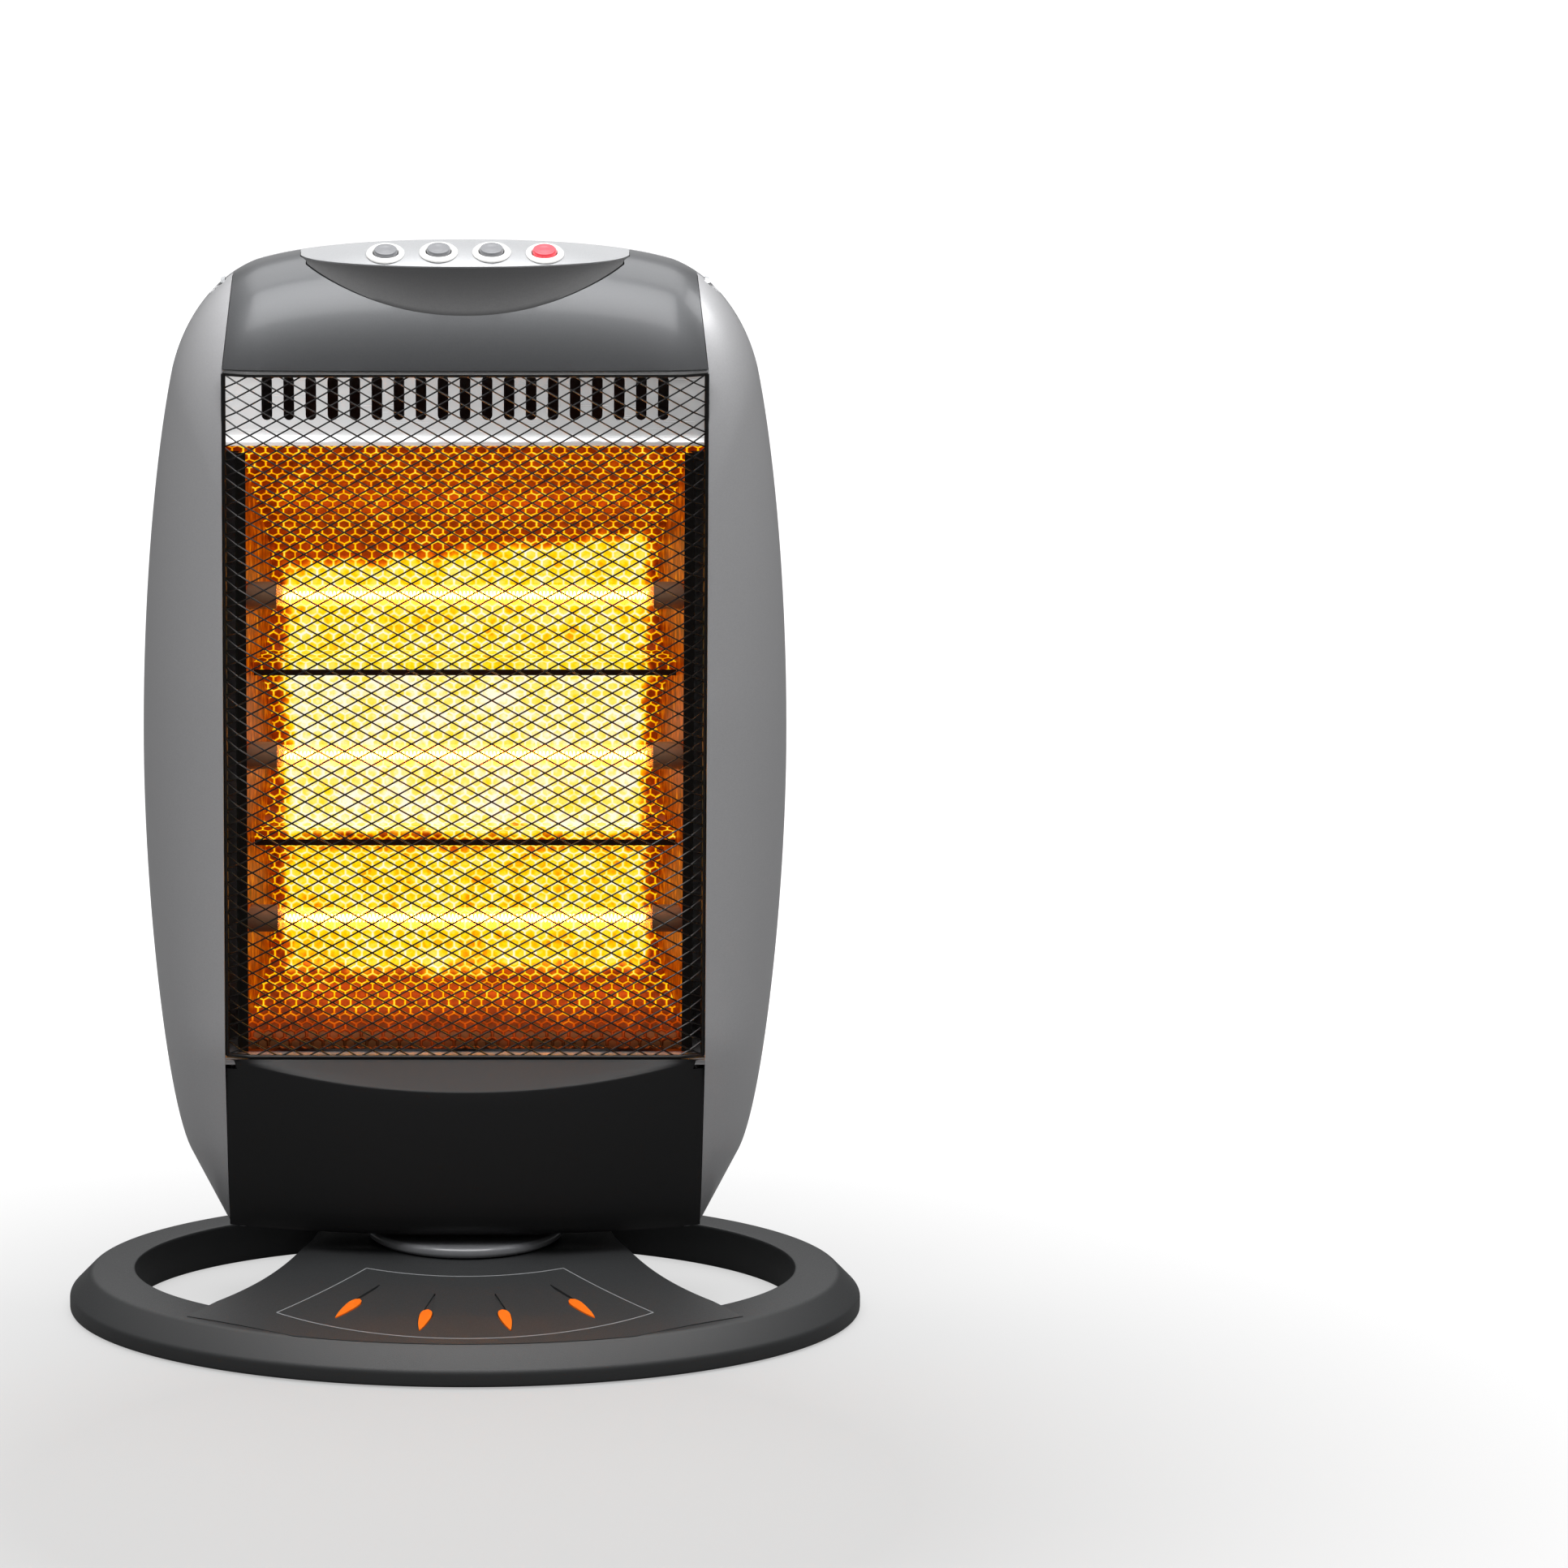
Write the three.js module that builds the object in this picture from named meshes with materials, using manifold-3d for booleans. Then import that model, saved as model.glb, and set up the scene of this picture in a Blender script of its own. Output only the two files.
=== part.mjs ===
// Halogen heater on a swivel base, in millimetres: +Z up, +X to the right, front towards -Y.
// The origin is on the floor, under the middle of the oval base.
// The heater is a pillow-shaped head that swings on a low base with an oval ring.

import * as THREE from 'three';
import { mergeVertices } from 'three/addons/utils/BufferGeometryUtils.js';
import Module from 'manifold-3d';

const wasm = await Module();
wasm.setup();

// ---------------------------------------------------------------------------------------
// Driving dimensions
// ---------------------------------------------------------------------------------------

const touchGap = 0.3;            // between fixed pieces that lie against each other
const runGap = 0.4;              // between pieces that slide or turn on each other

// Base ring and bridge
const baseWidth = 380;
const baseDepth = 280;
const footLift = 0.7;            // the moulding clears the floor; its rubber feet stand on it
const skirtHeight = 8;
const chamferRun = 10.5;
const chamferRise = 11;
const ringBand = 21;             // flat top of the ring, from chamfer to opening
const ringRise = 2;              // the band climbs towards the opening
const openingSetback = 2;        // the opening is that much narrower from front to back
const baseWall = 2.8;
const hubHeight = 35.5;
const hubHalfWidth = 70;
const plateauFrontReach = 45;    // the level top ends that far in front of the middle
const plateauRearReach = 65.5;   // and that far behind it
const plateauHalfWidth = 80;
const plateauPower = 3;
const deckFlareStart = 12;
const deckCornerIn = 62.5;       // the deck's front corners, in from the ring's widest point
const deckCornerBack = 58;       // and back from its front edge

// Swivel
const pivotY = 3;
const discRadius = 47.5;
const discThickness = 5.2;
const tubeRadius = 12;
const tubeBore = 8;
const yokeThickness = 3.2;
const crankReach = 21.7;         // motor shaft to crank pin
const motorOffset = 30;          // pivot to motor shaft
const crankThickness = 3;
const pinRadius = 2.5;
const slotPlay = 1.0;            // each side of the crank pin
const motorRadius = 24.5;
const motorHeight = 18.5;
const shaftRadius = 2.5;

// Head outline, in the seam plane
const seamY = 12;
const headTop = 516.6;
const headBottom = 41.5;
const headHalfWidth = 152.9;     // at its widest
const waistZ = 275;
const shoulderIn = 14.9;         // in from the widest point
const shoulderDown = 60.6;       // down from the top
const crownIn = 54.9;
const crownDown = 9.3;
const flareIn = 20.9;
const flareUp = 36.5;            // up from the bottom
const rootIn = 37.9;
const rootUp = 3.5;
const frontFaceY = -36.2;
const frontTopY = -32.3;
const rearFaceY = 54.2;
const frontDome = 95;            // the rounded top comes down that far to the front face
const rearDome = 100;
const frontFaceUp = 16.5;        // the flat faces start that far above the bottom
const rearFaceUp = 22.5;
const rearFaceIn = 35;
const frontRound = 2;            // exponents of the rounded edges
const rearRound = 2.4;
const shellWall = 2.6;
const footLean = 0.2;            // the front leans back towards the foot
const leanBelow = 98.5;          // up to that far above the bottom

// Front opening between the cheeks, and the pieces in it
const cheekWidth = 39.1;
const windowTopTaper = 5;
const windowBottomTaper = 1.2;
const windowTopEnd = 12;         // the taper ends that far below the top
const bottomPanelHeight = 90;
const topPanelDrop = 55.6;       // the top panel's lower edge, below the top
const ledgeThickness = 2.3;
const panelWall = 2.6;
const panelProud = 0.5;
const bottomPanelBulge = 11.2;
const bottomPanelWall = 2.5;
const bottomPanelBackY = -11;    // its side and top walls end there
const bottomPanelRim = 5;        // above that, its top wall leaves room for the net's foot
const floorReliefHeight = 4;

// Control unit: a lens-shaped silver top over a dark crescent
const controlHalfWidth = 77;
const crescentHalfWidth = 74;
const controlTipY = 8;
const controlDepth = 19.5;       // from the tips to the front edge of the lens
const crescentDepth = 28.8;      // from the tips to the lower edge of the crescent
const controlRise = 5;           // the lens's front edge stands that far above the dome
const controlProud = 0.6;
const controlThickness = 2.2;
const controlCrown = 0.8;

// Buttons
const buttonPitch = 24.8;
const buttonCount = 4;
const buttonY = -0.5;
const buttonTilt = 20;           // degrees, towards the front
const buttonRadius = 5.6;
const buttonHeight = 1.2;        // above its collar at rest
const buttonTravel = 2.5;
const buttonBodyLength = 5.4;
const stemRadius = 2.4;
const stemLength = 9;
const collarRadius = 9.4;
const collarHeight = 1.3;
const switchDepth = 13;
const switchHeight = 14;
const switchDrop = 8.5;          // from the lens down to the top of the switch block
const ribX = 59;
const ribThickness = 2.4;

// Grille
const grilleSet = 3;             // the net's edge lies that far behind the front face
const grilleBulge = 7.2;
const netPitchX = 44;
const netPitchZ = 25;
const wireWidth = 1.5;
const wireThickness = 1.2;
const grilleBorder = 2.4;

// Reflector and lamps: down from the top of the opening, or up from its foot
const sheetThickness = 1;
const mirrorTopY = -22.5;
const mirrorFootY = -15;
const mirrorHeight = 33;
const lipHeight = 12;
const troughFrontY = -13;
const troughBackY = 21;
const ridgeY = -2;
const ridgeUpperDown = 147;
const ridgeLowerUp = 100;
const troughFootY = -18;
const slotCount = 19;
const slotMargin = 21;           // from the side of the opening to the last slot
const slotWidth = 5;
const slotTopDown = 3;
const slotLength = 22;
const lampUpperDown = 111;
const lampLowerUp = 62;          // the middle lamp lies halfway between the ridges
const lampY = -5;
const lampRadius = 5;
const capRadius = 6.5;
const capLength = 17;
const capInset = 12;             // how far the quartz tube goes into its ceramic cap
const capMargin = 7.8;           // from the side of the opening to the caps' ends
const bracketFrontMargin = 5.8;
const bracketRearMargin = 20.8;
const bracketFrontY = -21;
const bracketRearY = 20;
const bracketThickness = 1.2;
const bracketTopDown = 40;

// Rear panel
const rearPanelIn = 50.9;        // in from the head's widest point
const rearPanelUp = 28.5;
const rearPanelDown = 84.6;
const rearFlange = 13;
const rearFlangeThickness = 1.4;
const rearPanelRise = 2.6;
const rearCorner = 12;
const rearVentLength = 62;
const rearVentHeight = 5;
const rearVentPitch = 13;
const rearVentRows = 5;
const rearVentMargin = 22;
const rearVentGap = 8;           // from the middle to the vents
const rearScrewIn = 5.5;
const rearScrewUp = 83;          // lowest screws, from the panel's foot
const rearScrewDown = 11;        // highest screws, from its top; the third pair is halfway
const screwHeadRadius = 3.7;
const screwHeadHeight = 2.1;
const screwShankRadius = 1.6;
const screwLength = 7;
const screwClearance = 0.4;

// Seam screws, in round holes at the two upper corners
const seamScrewDown = 20.6;
const seamHoleRadius = 4.6;
const seamHoleIn = 3.7;          // the hole's floor, out from the side of the opening
const seamBossWall = 2.2;

// Base fittings
const footRadius = 8;
const footHeight = 3;
const footAngles = [38, 142, 218, 322];
const plateThickness = 2;
const plateZ = 2.6;
const plateHalfWidth = 60;
const plateFront = -58;
const plateRear = 78;
const tiltY = -43;               // middle of the tilt switch
const tiltWidth = 18;
const tiltDepth = 14;
const tiltHeight = 19;
const tiltCap = 3;
const pegRadius = 2;
const pegLength = 7;
const pegIn = 7;
const insertLength = 21;
const insertWidth = 6;
const insertProud = 0.7;
const insertDepth = 1.2;
const insertAngles = [-32.6, -10.9, 10.9, 32.6];
const insertFocusY = -5;         // the drops point away from this place
const insertBack = 22;           // the drops' middles, back from the deck's front edge

// Mains lead: it leaves the rear of the base, and its length is wound up behind it
const cordDiameter = 6;
const cordExitZ = 9.4;
const glandWidth = 11;
const glandTopZ = 15;
const glandBottomZ = 4.8;
const glandRearIn = 1.8;         // its rear end, in from the base's rear edge
const glandLength = 22;
const coilRadius = 36;           // middle of the turns
const coilTurns = 6;
const coilPitch = 6.7;
const coilLayerPitch = 6.8;
const coilRest = 1.1;            // the coil lies on its tie
const coilCentreY = 202;
const coilStepsPerTurn = 24;
const coilSides = 6;
const tieWidth = 7;
const tieThickness = 0.7;
const tailLength = 24;
const plugLength = 36;
const plugWidth = 35;
const plugThickness = 17;
const plugNeckRadius = 5.5;
const plugPinRadius = 2.4;
const plugPinLength = 19;
const plugPinPitch = 19;

// ---------------------------------------------------------------------------------------
// Materials
// ---------------------------------------------------------------------------------------

function finish(color, roughness, metalness) {
  return new THREE.MeshStandardMaterial({ color, roughness, metalness });
}

const silverPaint = finish(0xa3a4a6, 0.42, 0.35);
const gunmetalPaint = finish(0x5c5d5f, 0.4, 0.3);
const paleSilver = finish(0xd9dadb, 0.4, 0.2);
const darkGrey = finish(0x565656, 0.6, 0);
const blackPlastic = finish(0x2b2b2c, 0.5, 0);
const charcoalPlastic = finish(0x3e3f40, 0.6, 0);
const whitePlastic = finish(0xf2f2f0, 0.35, 0);
const greyPlastic = finish(0x9c9c9d, 0.4, 0);
const redPlastic = finish(0xe8455a, 0.35, 0);
const orangeLens = finish(0xff5a12, 0.15, 0);
const blackWire = finish(0x151515, 0.45, 0.6);
const polishedSheet = finish(0xd8d8d8, 0.12, 1);
const glowingQuartz = finish(0xffa640, 0.1, 0);
glowingQuartz.emissive.set(0xff8a1e);
const ceramic = finish(0xe9e4d8, 0.7, 0);
const galvanised = finish(0xb5b8ba, 0.4, 0.9);
const chrome = finish(0xd6d8da, 0.15, 1);
const rubber = finish(0x1a1a1a, 0.85, 0);
const cordRubber = finish(0x161616, 0.6, 0);

// ---------------------------------------------------------------------------------------
// Solids
// ---------------------------------------------------------------------------------------

function solid(geometry) {
  const bare = geometry.clone();
  bare.deleteAttribute('normal');
  bare.deleteAttribute('uv');
  const merged = mergeVertices(bare, 1e-4);
  const corners = merged.index.array;
  const kept = [];
  for (let i = 0; i < corners.length; i += 3) {
    const [a, b, c] = [corners[i], corners[i + 1], corners[i + 2]];
    if (a !== b && b !== c && c !== a) {
      kept.push(a, b, c);
    }
  }
  return new wasm.Manifold(new wasm.Mesh({
    numProp: 3,
    vertProperties: new Float32Array(merged.attributes.position.array),
    triVerts: new Uint32Array(kept),
  }));
}

function geometryOf(body) {
  const mesh = body.getMesh();
  const geometry = new THREE.BufferGeometry();
  geometry.setAttribute('position', new THREE.BufferAttribute(mesh.vertProperties, 3));
  geometry.setIndex(new THREE.BufferAttribute(mesh.triVerts, 1));
  geometry.computeVertexNormals();
  return geometry;
}

function box(x0, x1, y0, y1, z0, z1) {
  const geometry = new THREE.BoxGeometry(x1 - x0, y1 - y0, z1 - z0);
  geometry.translate((x0 + x1) / 2, (y0 + y1) / 2, (z0 + z1) / 2);
  return solid(geometry);
}

// A round bar along X, Y or Z from one level to another.
function bar(axis, radius, from, to, centre, sides = 16) {
  const geometry = new THREE.CylinderGeometry(radius, radius, to - from, sides);
  if (axis === 'z') {
    geometry.rotateX(Math.PI / 2);
    geometry.translate(centre[0], centre[1], (from + to) / 2);
  } else if (axis === 'x') {
    geometry.rotateZ(Math.PI / 2);
    geometry.translate((from + to) / 2, centre[0], centre[1]);
  } else {
    geometry.translate(centre[0], (from + to) / 2, centre[1]);
  }
  return solid(geometry);
}

// A plan outline (x, y) raised from z0 to z1.
function raise(shape, z0, z1, curveSegments = 10) {
  const geometry = new THREE.ExtrudeGeometry(shape, {
    depth: z1 - z0, bevelEnabled: false, curveSegments, steps: 1,
  });
  geometry.translate(0, 0, z0);
  return solid(geometry);
}

// A front outline (x, z) pushed from y0 to y1.
function push(shape, y0, y1, curveSegments = 10) {
  const geometry = new THREE.ExtrudeGeometry(shape, {
    depth: y1 - y0, bevelEnabled: false, curveSegments, steps: 1,
  });
  geometry.rotateX(Math.PI / 2);
  geometry.translate(0, y1, 0);
  return solid(geometry);
}

// A side outline (y, z) drawn out from x0 to x1.
function draw(shape, x0, x1, curveSegments = 10) {
  const geometry = new THREE.ExtrudeGeometry(shape, {
    depth: x1 - x0, bevelEnabled: false, curveSegments, steps: 1,
  });
  geometry.rotateX(Math.PI / 2);
  geometry.rotateZ(Math.PI / 2);
  geometry.translate(x0, 0, 0);
  return solid(geometry);
}

function outline(points) {
  return new THREE.Shape(points.map(([a, b]) => new THREE.Vector2(a, b)));
}

// A closed body through a row of rings with the same number of points each.
// With joined set, the last ring meets the first and the body is a hoop.
function loft(rings, joined = false) {
  const count = rings[0].length;
  const positions = rings.flat().flat();
  const faces = [];
  const spans = joined ? rings.length : rings.length - 1;
  for (let r = 0; r < spans; r++) {
    const next = (r + 1) % rings.length;
    for (let i = 0; i < count; i++) {
      const j = (i + 1) % count;
      const [a, b, c, d] = [r * count + i, r * count + j, next * count + j, next * count + i];
      faces.push(a, b, c, a, c, d);
    }
  }
  if (!joined) {
    for (const [ring, flip] of [[0, true], [rings.length - 1, false]]) {
      const middle = positions.length / 3;
      const sum = rings[ring].reduce((s, p) => [s[0] + p[0], s[1] + p[1], s[2] + p[2]], [0, 0, 0]);
      positions.push(sum[0] / count, sum[1] / count, sum[2] / count);
      for (let i = 0; i < count; i++) {
        const [a, b] = [ring * count + i, ring * count + (i + 1) % count];
        faces.push(...(flip ? [middle, b, a] : [middle, a, b]));
      }
    }
  }
  const geometry = new THREE.BufferGeometry();
  geometry.setAttribute('position', new THREE.Float32BufferAttribute(positions, 3));
  geometry.setIndex(faces);
  const body = solid(geometry);
  if (body.volume() < 0) {
    const turned = [];
    for (let i = 0; i < faces.length; i += 3) {
      turned.push(faces[i], faces[i + 2], faces[i + 1]);
    }
    geometry.setIndex(turned);
    return solid(geometry);
  }
  return body;
}

function together(bodies) {
  return bodies.reduce((sum, body) => sum.add(body));
}

function ellipsePoint(a, b, angle) {
  return [a * Math.cos(angle), b * Math.sin(angle)];
}

const radians = THREE.MathUtils.degToRad;

// ---------------------------------------------------------------------------------------
// Base moulding
// ---------------------------------------------------------------------------------------

const ringOuterX = baseWidth / 2;
const ringOuterY = baseDepth / 2;
const ringTopZ = skirtHeight + chamferRise;
const bandOuterX = ringOuterX - chamferRun;
const bandOuterY = ringOuterY - chamferRun;
const openingX = bandOuterX - ringBand;
const openingY = bandOuterY - ringBand - openingSetback;
const hubFront = -plateauFrontReach;
const hubRear = plateauRearReach;
const deckSlope = (hubHeight - ringTopZ) / (bandOuterY - plateauFrontReach);
const ringSides = 48;

// Distance from the middle to the edge of the level top, in the direction of a point.
function plateauReach(x, y) {
  const depth = y < 0 ? -hubFront : hubRear;
  const length = Math.hypot(x, y);
  const across = Math.pow(Math.abs(x / length) / plateauHalfWidth, plateauPower);
  const along = Math.pow(Math.abs(y / length) / depth, plateauPower);
  return Math.pow(across + along, -1 / plateauPower);
}

function deckHeight(x, y) {
  const length = Math.hypot(x, y);
  const edge = length / Math.hypot(x / bandOuterX, y / bandOuterY);
  const start = plateauReach(x, y);
  const share = THREE.MathUtils.clamp((edge - length) / (edge - start), 0, 1);
  return ringTopZ + (hubHeight - ringTopZ) * share;
}

// The oval ring, drawn in by `inset` on all its sides but its foot.
function ringForm(inset, footZ) {
  const profile = [
    [ringOuterX - inset, ringOuterY - inset, footZ],
    [ringOuterX - inset, ringOuterY - inset, skirtHeight - inset * 0.45],
    [bandOuterX - inset * 0.4, bandOuterY - inset * 0.4, ringTopZ - inset],
    [openingX + inset, openingY + inset, ringTopZ + ringRise - inset],
    [openingX + inset, openingY + inset, footZ],
  ];
  const rings = [];
  for (let i = 0; i < ringSides; i++) {
    const angle = (i / ringSides) * Math.PI * 2;
    rings.push(profile.map(([a, b, z]) => [...ellipsePoint(a, b, angle), z]));
  }
  return loft(rings, true);
}

// The bridge that carries the head: level on top, falling to the ring all round, straight
// behind and flared into the ring in front.
function bridgeForm(inset, footZ) {
  const half = hubHalfWidth - inset;
  const cornerX = bandOuterX - deckCornerIn - inset;
  const cornerY = deckCornerBack - bandOuterY + inset * 0.4;
  const plan = new THREE.Shape();
  plan.moveTo(half, openingY + ringBand / 2 - inset);
  plan.lineTo(half, deckFlareStart);
  plan.quadraticCurveTo(half + 6, hubFront, cornerX, cornerY);
  plan.lineTo(cornerX + 14, cornerY - 13);
  plan.lineTo(cornerX / 2, -bandOuterY);
  plan.lineTo(-cornerX / 2, -bandOuterY);
  plan.lineTo(-cornerX - 14, cornerY - 13);
  plan.lineTo(-cornerX, cornerY);
  plan.quadraticCurveTo(-half - 6, hubFront, -half, deckFlareStart);
  plan.lineTo(-half, openingY + ringBand / 2 - inset);
  const levels = [[footZ, 0], [ringTopZ - inset, 0], [hubHeight - inset, 1]];
  const apron = loft(levels.map(([z, share]) => {
    const ring = [];
    for (let i = 0; i < ringSides; i++) {
      const [x, y] = ellipsePoint(
        bandOuterX - inset, bandOuterY - inset, (i / ringSides) * Math.PI * 2,
      );
      const pull = 1 + share * (plateauReach(x, y) / Math.hypot(x, y) - 1);
      ring.push([x * pull, y * pull, z]);
    }
    return ring;
  }));
  return raise(plan, footZ, hubHeight, 7).intersect(apron);
}

const insertRadius = bandOuterY - insertBack + insertFocusY;
const footPlaces = footAngles.map((degrees) => ellipsePoint(
  (bandOuterX + openingX) / 2 + 1,
  (bandOuterY + openingY) / 2 + 1,
  radians(degrees),
));

const pegPlaces = [-1, 1].flatMap((side) => [
  [side * (plateHalfWidth - pegIn), plateFront + pegIn],
  [side * (plateHalfWidth - pegIn), plateRear - pegIn],
]);

function dropOutline(length, width) {
  const shape = new THREE.Shape();
  shape.moveTo(0, -length / 2);
  shape.quadraticCurveTo(width * 0.52, -length * 0.18, width / 2, length * 0.14);
  shape.quadraticCurveTo(width * 0.42, length / 2, 0, length / 2);
  shape.quadraticCurveTo(-width * 0.42, length / 2, -width / 2, length * 0.14);
  shape.quadraticCurveTo(-width * 0.52, -length * 0.18, 0, -length / 2);
  return shape;
}

// A teardrop body lying in the deck, pointing away from the middle of the fan.
function dropBody(degrees, grow, low, high) {
  const geometry = new THREE.ExtrudeGeometry(
    dropOutline(insertLength + 2 * grow, insertWidth + 2 * grow),
    { depth: high - low, bevelEnabled: false, curveSegments: 4, steps: 1 },
  );
  const angle = radians(degrees);
  const x = insertRadius * Math.sin(angle);
  const y = insertFocusY - insertRadius * Math.cos(angle);
  geometry.translate(0, 0, low);
  geometry.rotateX(Math.atan(deckSlope));
  geometry.rotateZ(angle);
  geometry.translate(x, y, deckHeight(x, y));
  return solid(geometry);
}

function makeBase() {
  const hollowFoot = -4;
  const outer = ringForm(0, footLift).add(bridgeForm(0, footLift));
  const hollow = ringForm(baseWall, hollowFoot).add(bridgeForm(baseWall, hollowFoot));
  let body = outer.subtract(hollow);

  // Bosses for the feet and for the plate's pegs
  const bossTop = ringTopZ - baseWall + 1;
  for (const place of footPlaces) {
    body = body.add(bar('z', footRadius + 1.5, footHeight + touchGap, bossTop, place, 12));
  }
  const bossFoot = plateZ + plateThickness + touchGap;
  for (const place of pegPlaces) {
    const top = deckHeight(...place) - baseWall;
    const holeTop = bossFoot + pegLength + 1;
    body = body.add(bar('z', pegRadius + 2.4, bossFoot, top, place, 10));
    body = body.subtract(bar('z', pegRadius + touchGap, bossFoot - 2, holeTop, place, 8));
  }

  // The pivot hole, the gland's window and the seats of the accent drops
  body = body.subtract(bar('z', tubeRadius + runGap, 20, hubHeight + 5, [0, pivotY], 24));
  const windowHalf = glandWidth / 2 + touchGap;
  body = body.subtract(box(
    -windowHalf, windowHalf, ringOuterY - 30, ringOuterY + 5,
    glandBottomZ - touchGap, glandTopZ + touchGap,
  ).intersect(ringForm(0, footLift)).subtract(box(
    -windowHalf, windowHalf, 0, openingY + baseWall + 3, 0, hubHeight,
  )));
  for (const degrees of insertAngles) {
    body = body.subtract(dropBody(degrees, touchGap, -insertDepth - touchGap, 10));
  }
  return body;
}

// ---------------------------------------------------------------------------------------
// Swivel disc, yoke, motor and crank
// ---------------------------------------------------------------------------------------

const discTop = headBottom - touchGap;
const discFoot = discTop - discThickness;
const deckUnder = hubHeight - baseWall;
const yokeTop = deckUnder - runGap;
const yokeFoot = yokeTop - yokeThickness;
const crankTop = yokeFoot - runGap;
const crankFoot = crankTop - crankThickness;
const motorY = pivotY + motorOffset;
const motorFoot = plateZ + plateThickness + touchGap;
const motorTop = motorFoot + motorHeight;

function makeSwivelDisc() {
  const profile = [
    [tubeBore, discTop], [tubeBore, yokeFoot], [tubeRadius, yokeFoot], [tubeRadius, discFoot],
    [discRadius - 1.5, discFoot], [discRadius, discFoot + 1.5], [discRadius, discTop - 1.2],
    [discRadius - 1.2, discTop], [tubeBore, discTop],
  ];
  const points = profile.map(([r, z]) => new THREE.Vector2(r, z));
  const geometry = new THREE.LatheGeometry(points, 24);
  geometry.rotateX(Math.PI / 2);
  geometry.translate(0, pivotY, 0);
  return loftSafe(geometry);
}

// A lathe profile may run either way round: turn the body the right way out.
function loftSafe(geometry) {
  const body = solid(geometry);
  if (body.volume() > 0) {
    return body;
  }
  const turned = geometry.clone();
  const index = turned.index.array;
  for (let i = 0; i < index.length; i += 3) {
    [index[i + 1], index[i + 2]] = [index[i + 2], index[i + 1]];
  }
  return solid(turned);
}

function makeYoke() {
  const armHalf = pinRadius + slotPlay + 4;
  const tipY = pivotY + motorOffset + crankReach;
  const innerY = pivotY + Math.hypot(motorOffset, crankReach) - 1;
  const slotHalf = pinRadius + slotPlay;
  const arm = new THREE.Shape();
  arm.moveTo(-armHalf, pivotY);
  arm.lineTo(armHalf, pivotY);
  arm.lineTo(armHalf, tipY);
  arm.absarc(0, tipY, armHalf, 0, Math.PI, false);
  arm.lineTo(-armHalf, pivotY);
  const slot = new THREE.Shape();
  slot.moveTo(-slotHalf, innerY - slotHalf);
  slot.absarc(0, innerY - slotHalf, slotHalf, Math.PI, Math.PI * 2, false);
  slot.lineTo(slotHalf, tipY);
  slot.absarc(0, tipY, slotHalf, 0, Math.PI, false);
  const ring = bar('z', tubeRadius + 6, yokeFoot, yokeTop, [0, pivotY], 24);
  return raise(arm, yokeFoot, yokeTop, 3).add(ring)
    .subtract(bar('z', tubeRadius + touchGap, yokeFoot - 1, yokeTop + 1, [0, pivotY], 24))
    .subtract(raise(slot, yokeFoot - 1, yokeTop + 1, 4));
}

function makeCrank() {
  const half = 6;
  const web = box(-half + 1.5, half - 1.5, motorY, motorY + crankReach, crankFoot, crankTop);
  return together([
    web,
    bar('z', half, crankFoot, crankTop, [0, motorY], 20),
    bar('z', pinRadius + 2, crankFoot, crankTop, [0, motorY + crankReach], 16),
    bar('z', pinRadius, crankTop - 0.5, yokeTop - 0.3, [0, motorY + crankReach], 16),
  ]).subtract(bar('z', shaftRadius + runGap, crankFoot - 1, crankTop + 1, [0, motorY], 16));
}

function makeMotor() {
  const can = bar('z', motorRadius, motorFoot, motorTop, [0, motorY], 24);
  const collar = bar('z', 6, motorTop - 1, crankFoot - runGap, [0, motorY], 16);
  const shaft = bar('z', shaftRadius, motorTop - 1, crankTop - 0.2, [0, motorY], 16);
  const terminals = box(-7, 7, motorY - motorRadius - 4, motorY - 18, motorFoot, motorFoot + 11);
  return together([can, collar, shaft, terminals]);
}

function makeTiltSwitch() {
  const foot = plateZ + plateThickness + touchGap;
  const top = foot + tiltHeight;
  const [half, deep] = [tiltWidth / 2, tiltDepth / 2];
  return box(-half, half, tiltY - deep, tiltY + deep, foot, top)
    .add(box(-half / 2, half / 2, tiltY - deep / 2, tiltY + deep / 2, top - 1, top + tiltCap));
}

function makeBasePlate() {
  const r = 6;
  const plan = new THREE.Shape();
  plan.moveTo(-plateHalfWidth + r, plateFront);
  plan.lineTo(plateHalfWidth - r, plateFront);
  plan.quadraticCurveTo(plateHalfWidth, plateFront, plateHalfWidth, plateFront + r);
  plan.lineTo(plateHalfWidth, plateRear - r);
  plan.quadraticCurveTo(plateHalfWidth, plateRear, plateHalfWidth - r, plateRear);
  plan.lineTo(-plateHalfWidth + r, plateRear);
  plan.quadraticCurveTo(-plateHalfWidth, plateRear, -plateHalfWidth, plateRear - r);
  plan.lineTo(-plateHalfWidth, plateFront + r);
  plan.quadraticCurveTo(-plateHalfWidth, plateFront, -plateHalfWidth + r, plateFront);
  const top = plateZ + plateThickness;
  const pegs = pegPlaces.map((place) => bar('z', pegRadius, top - 1, top + pegLength, place, 8));
  return together([raise(plan, plateZ, top, 3), ...pegs]);
}

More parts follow.
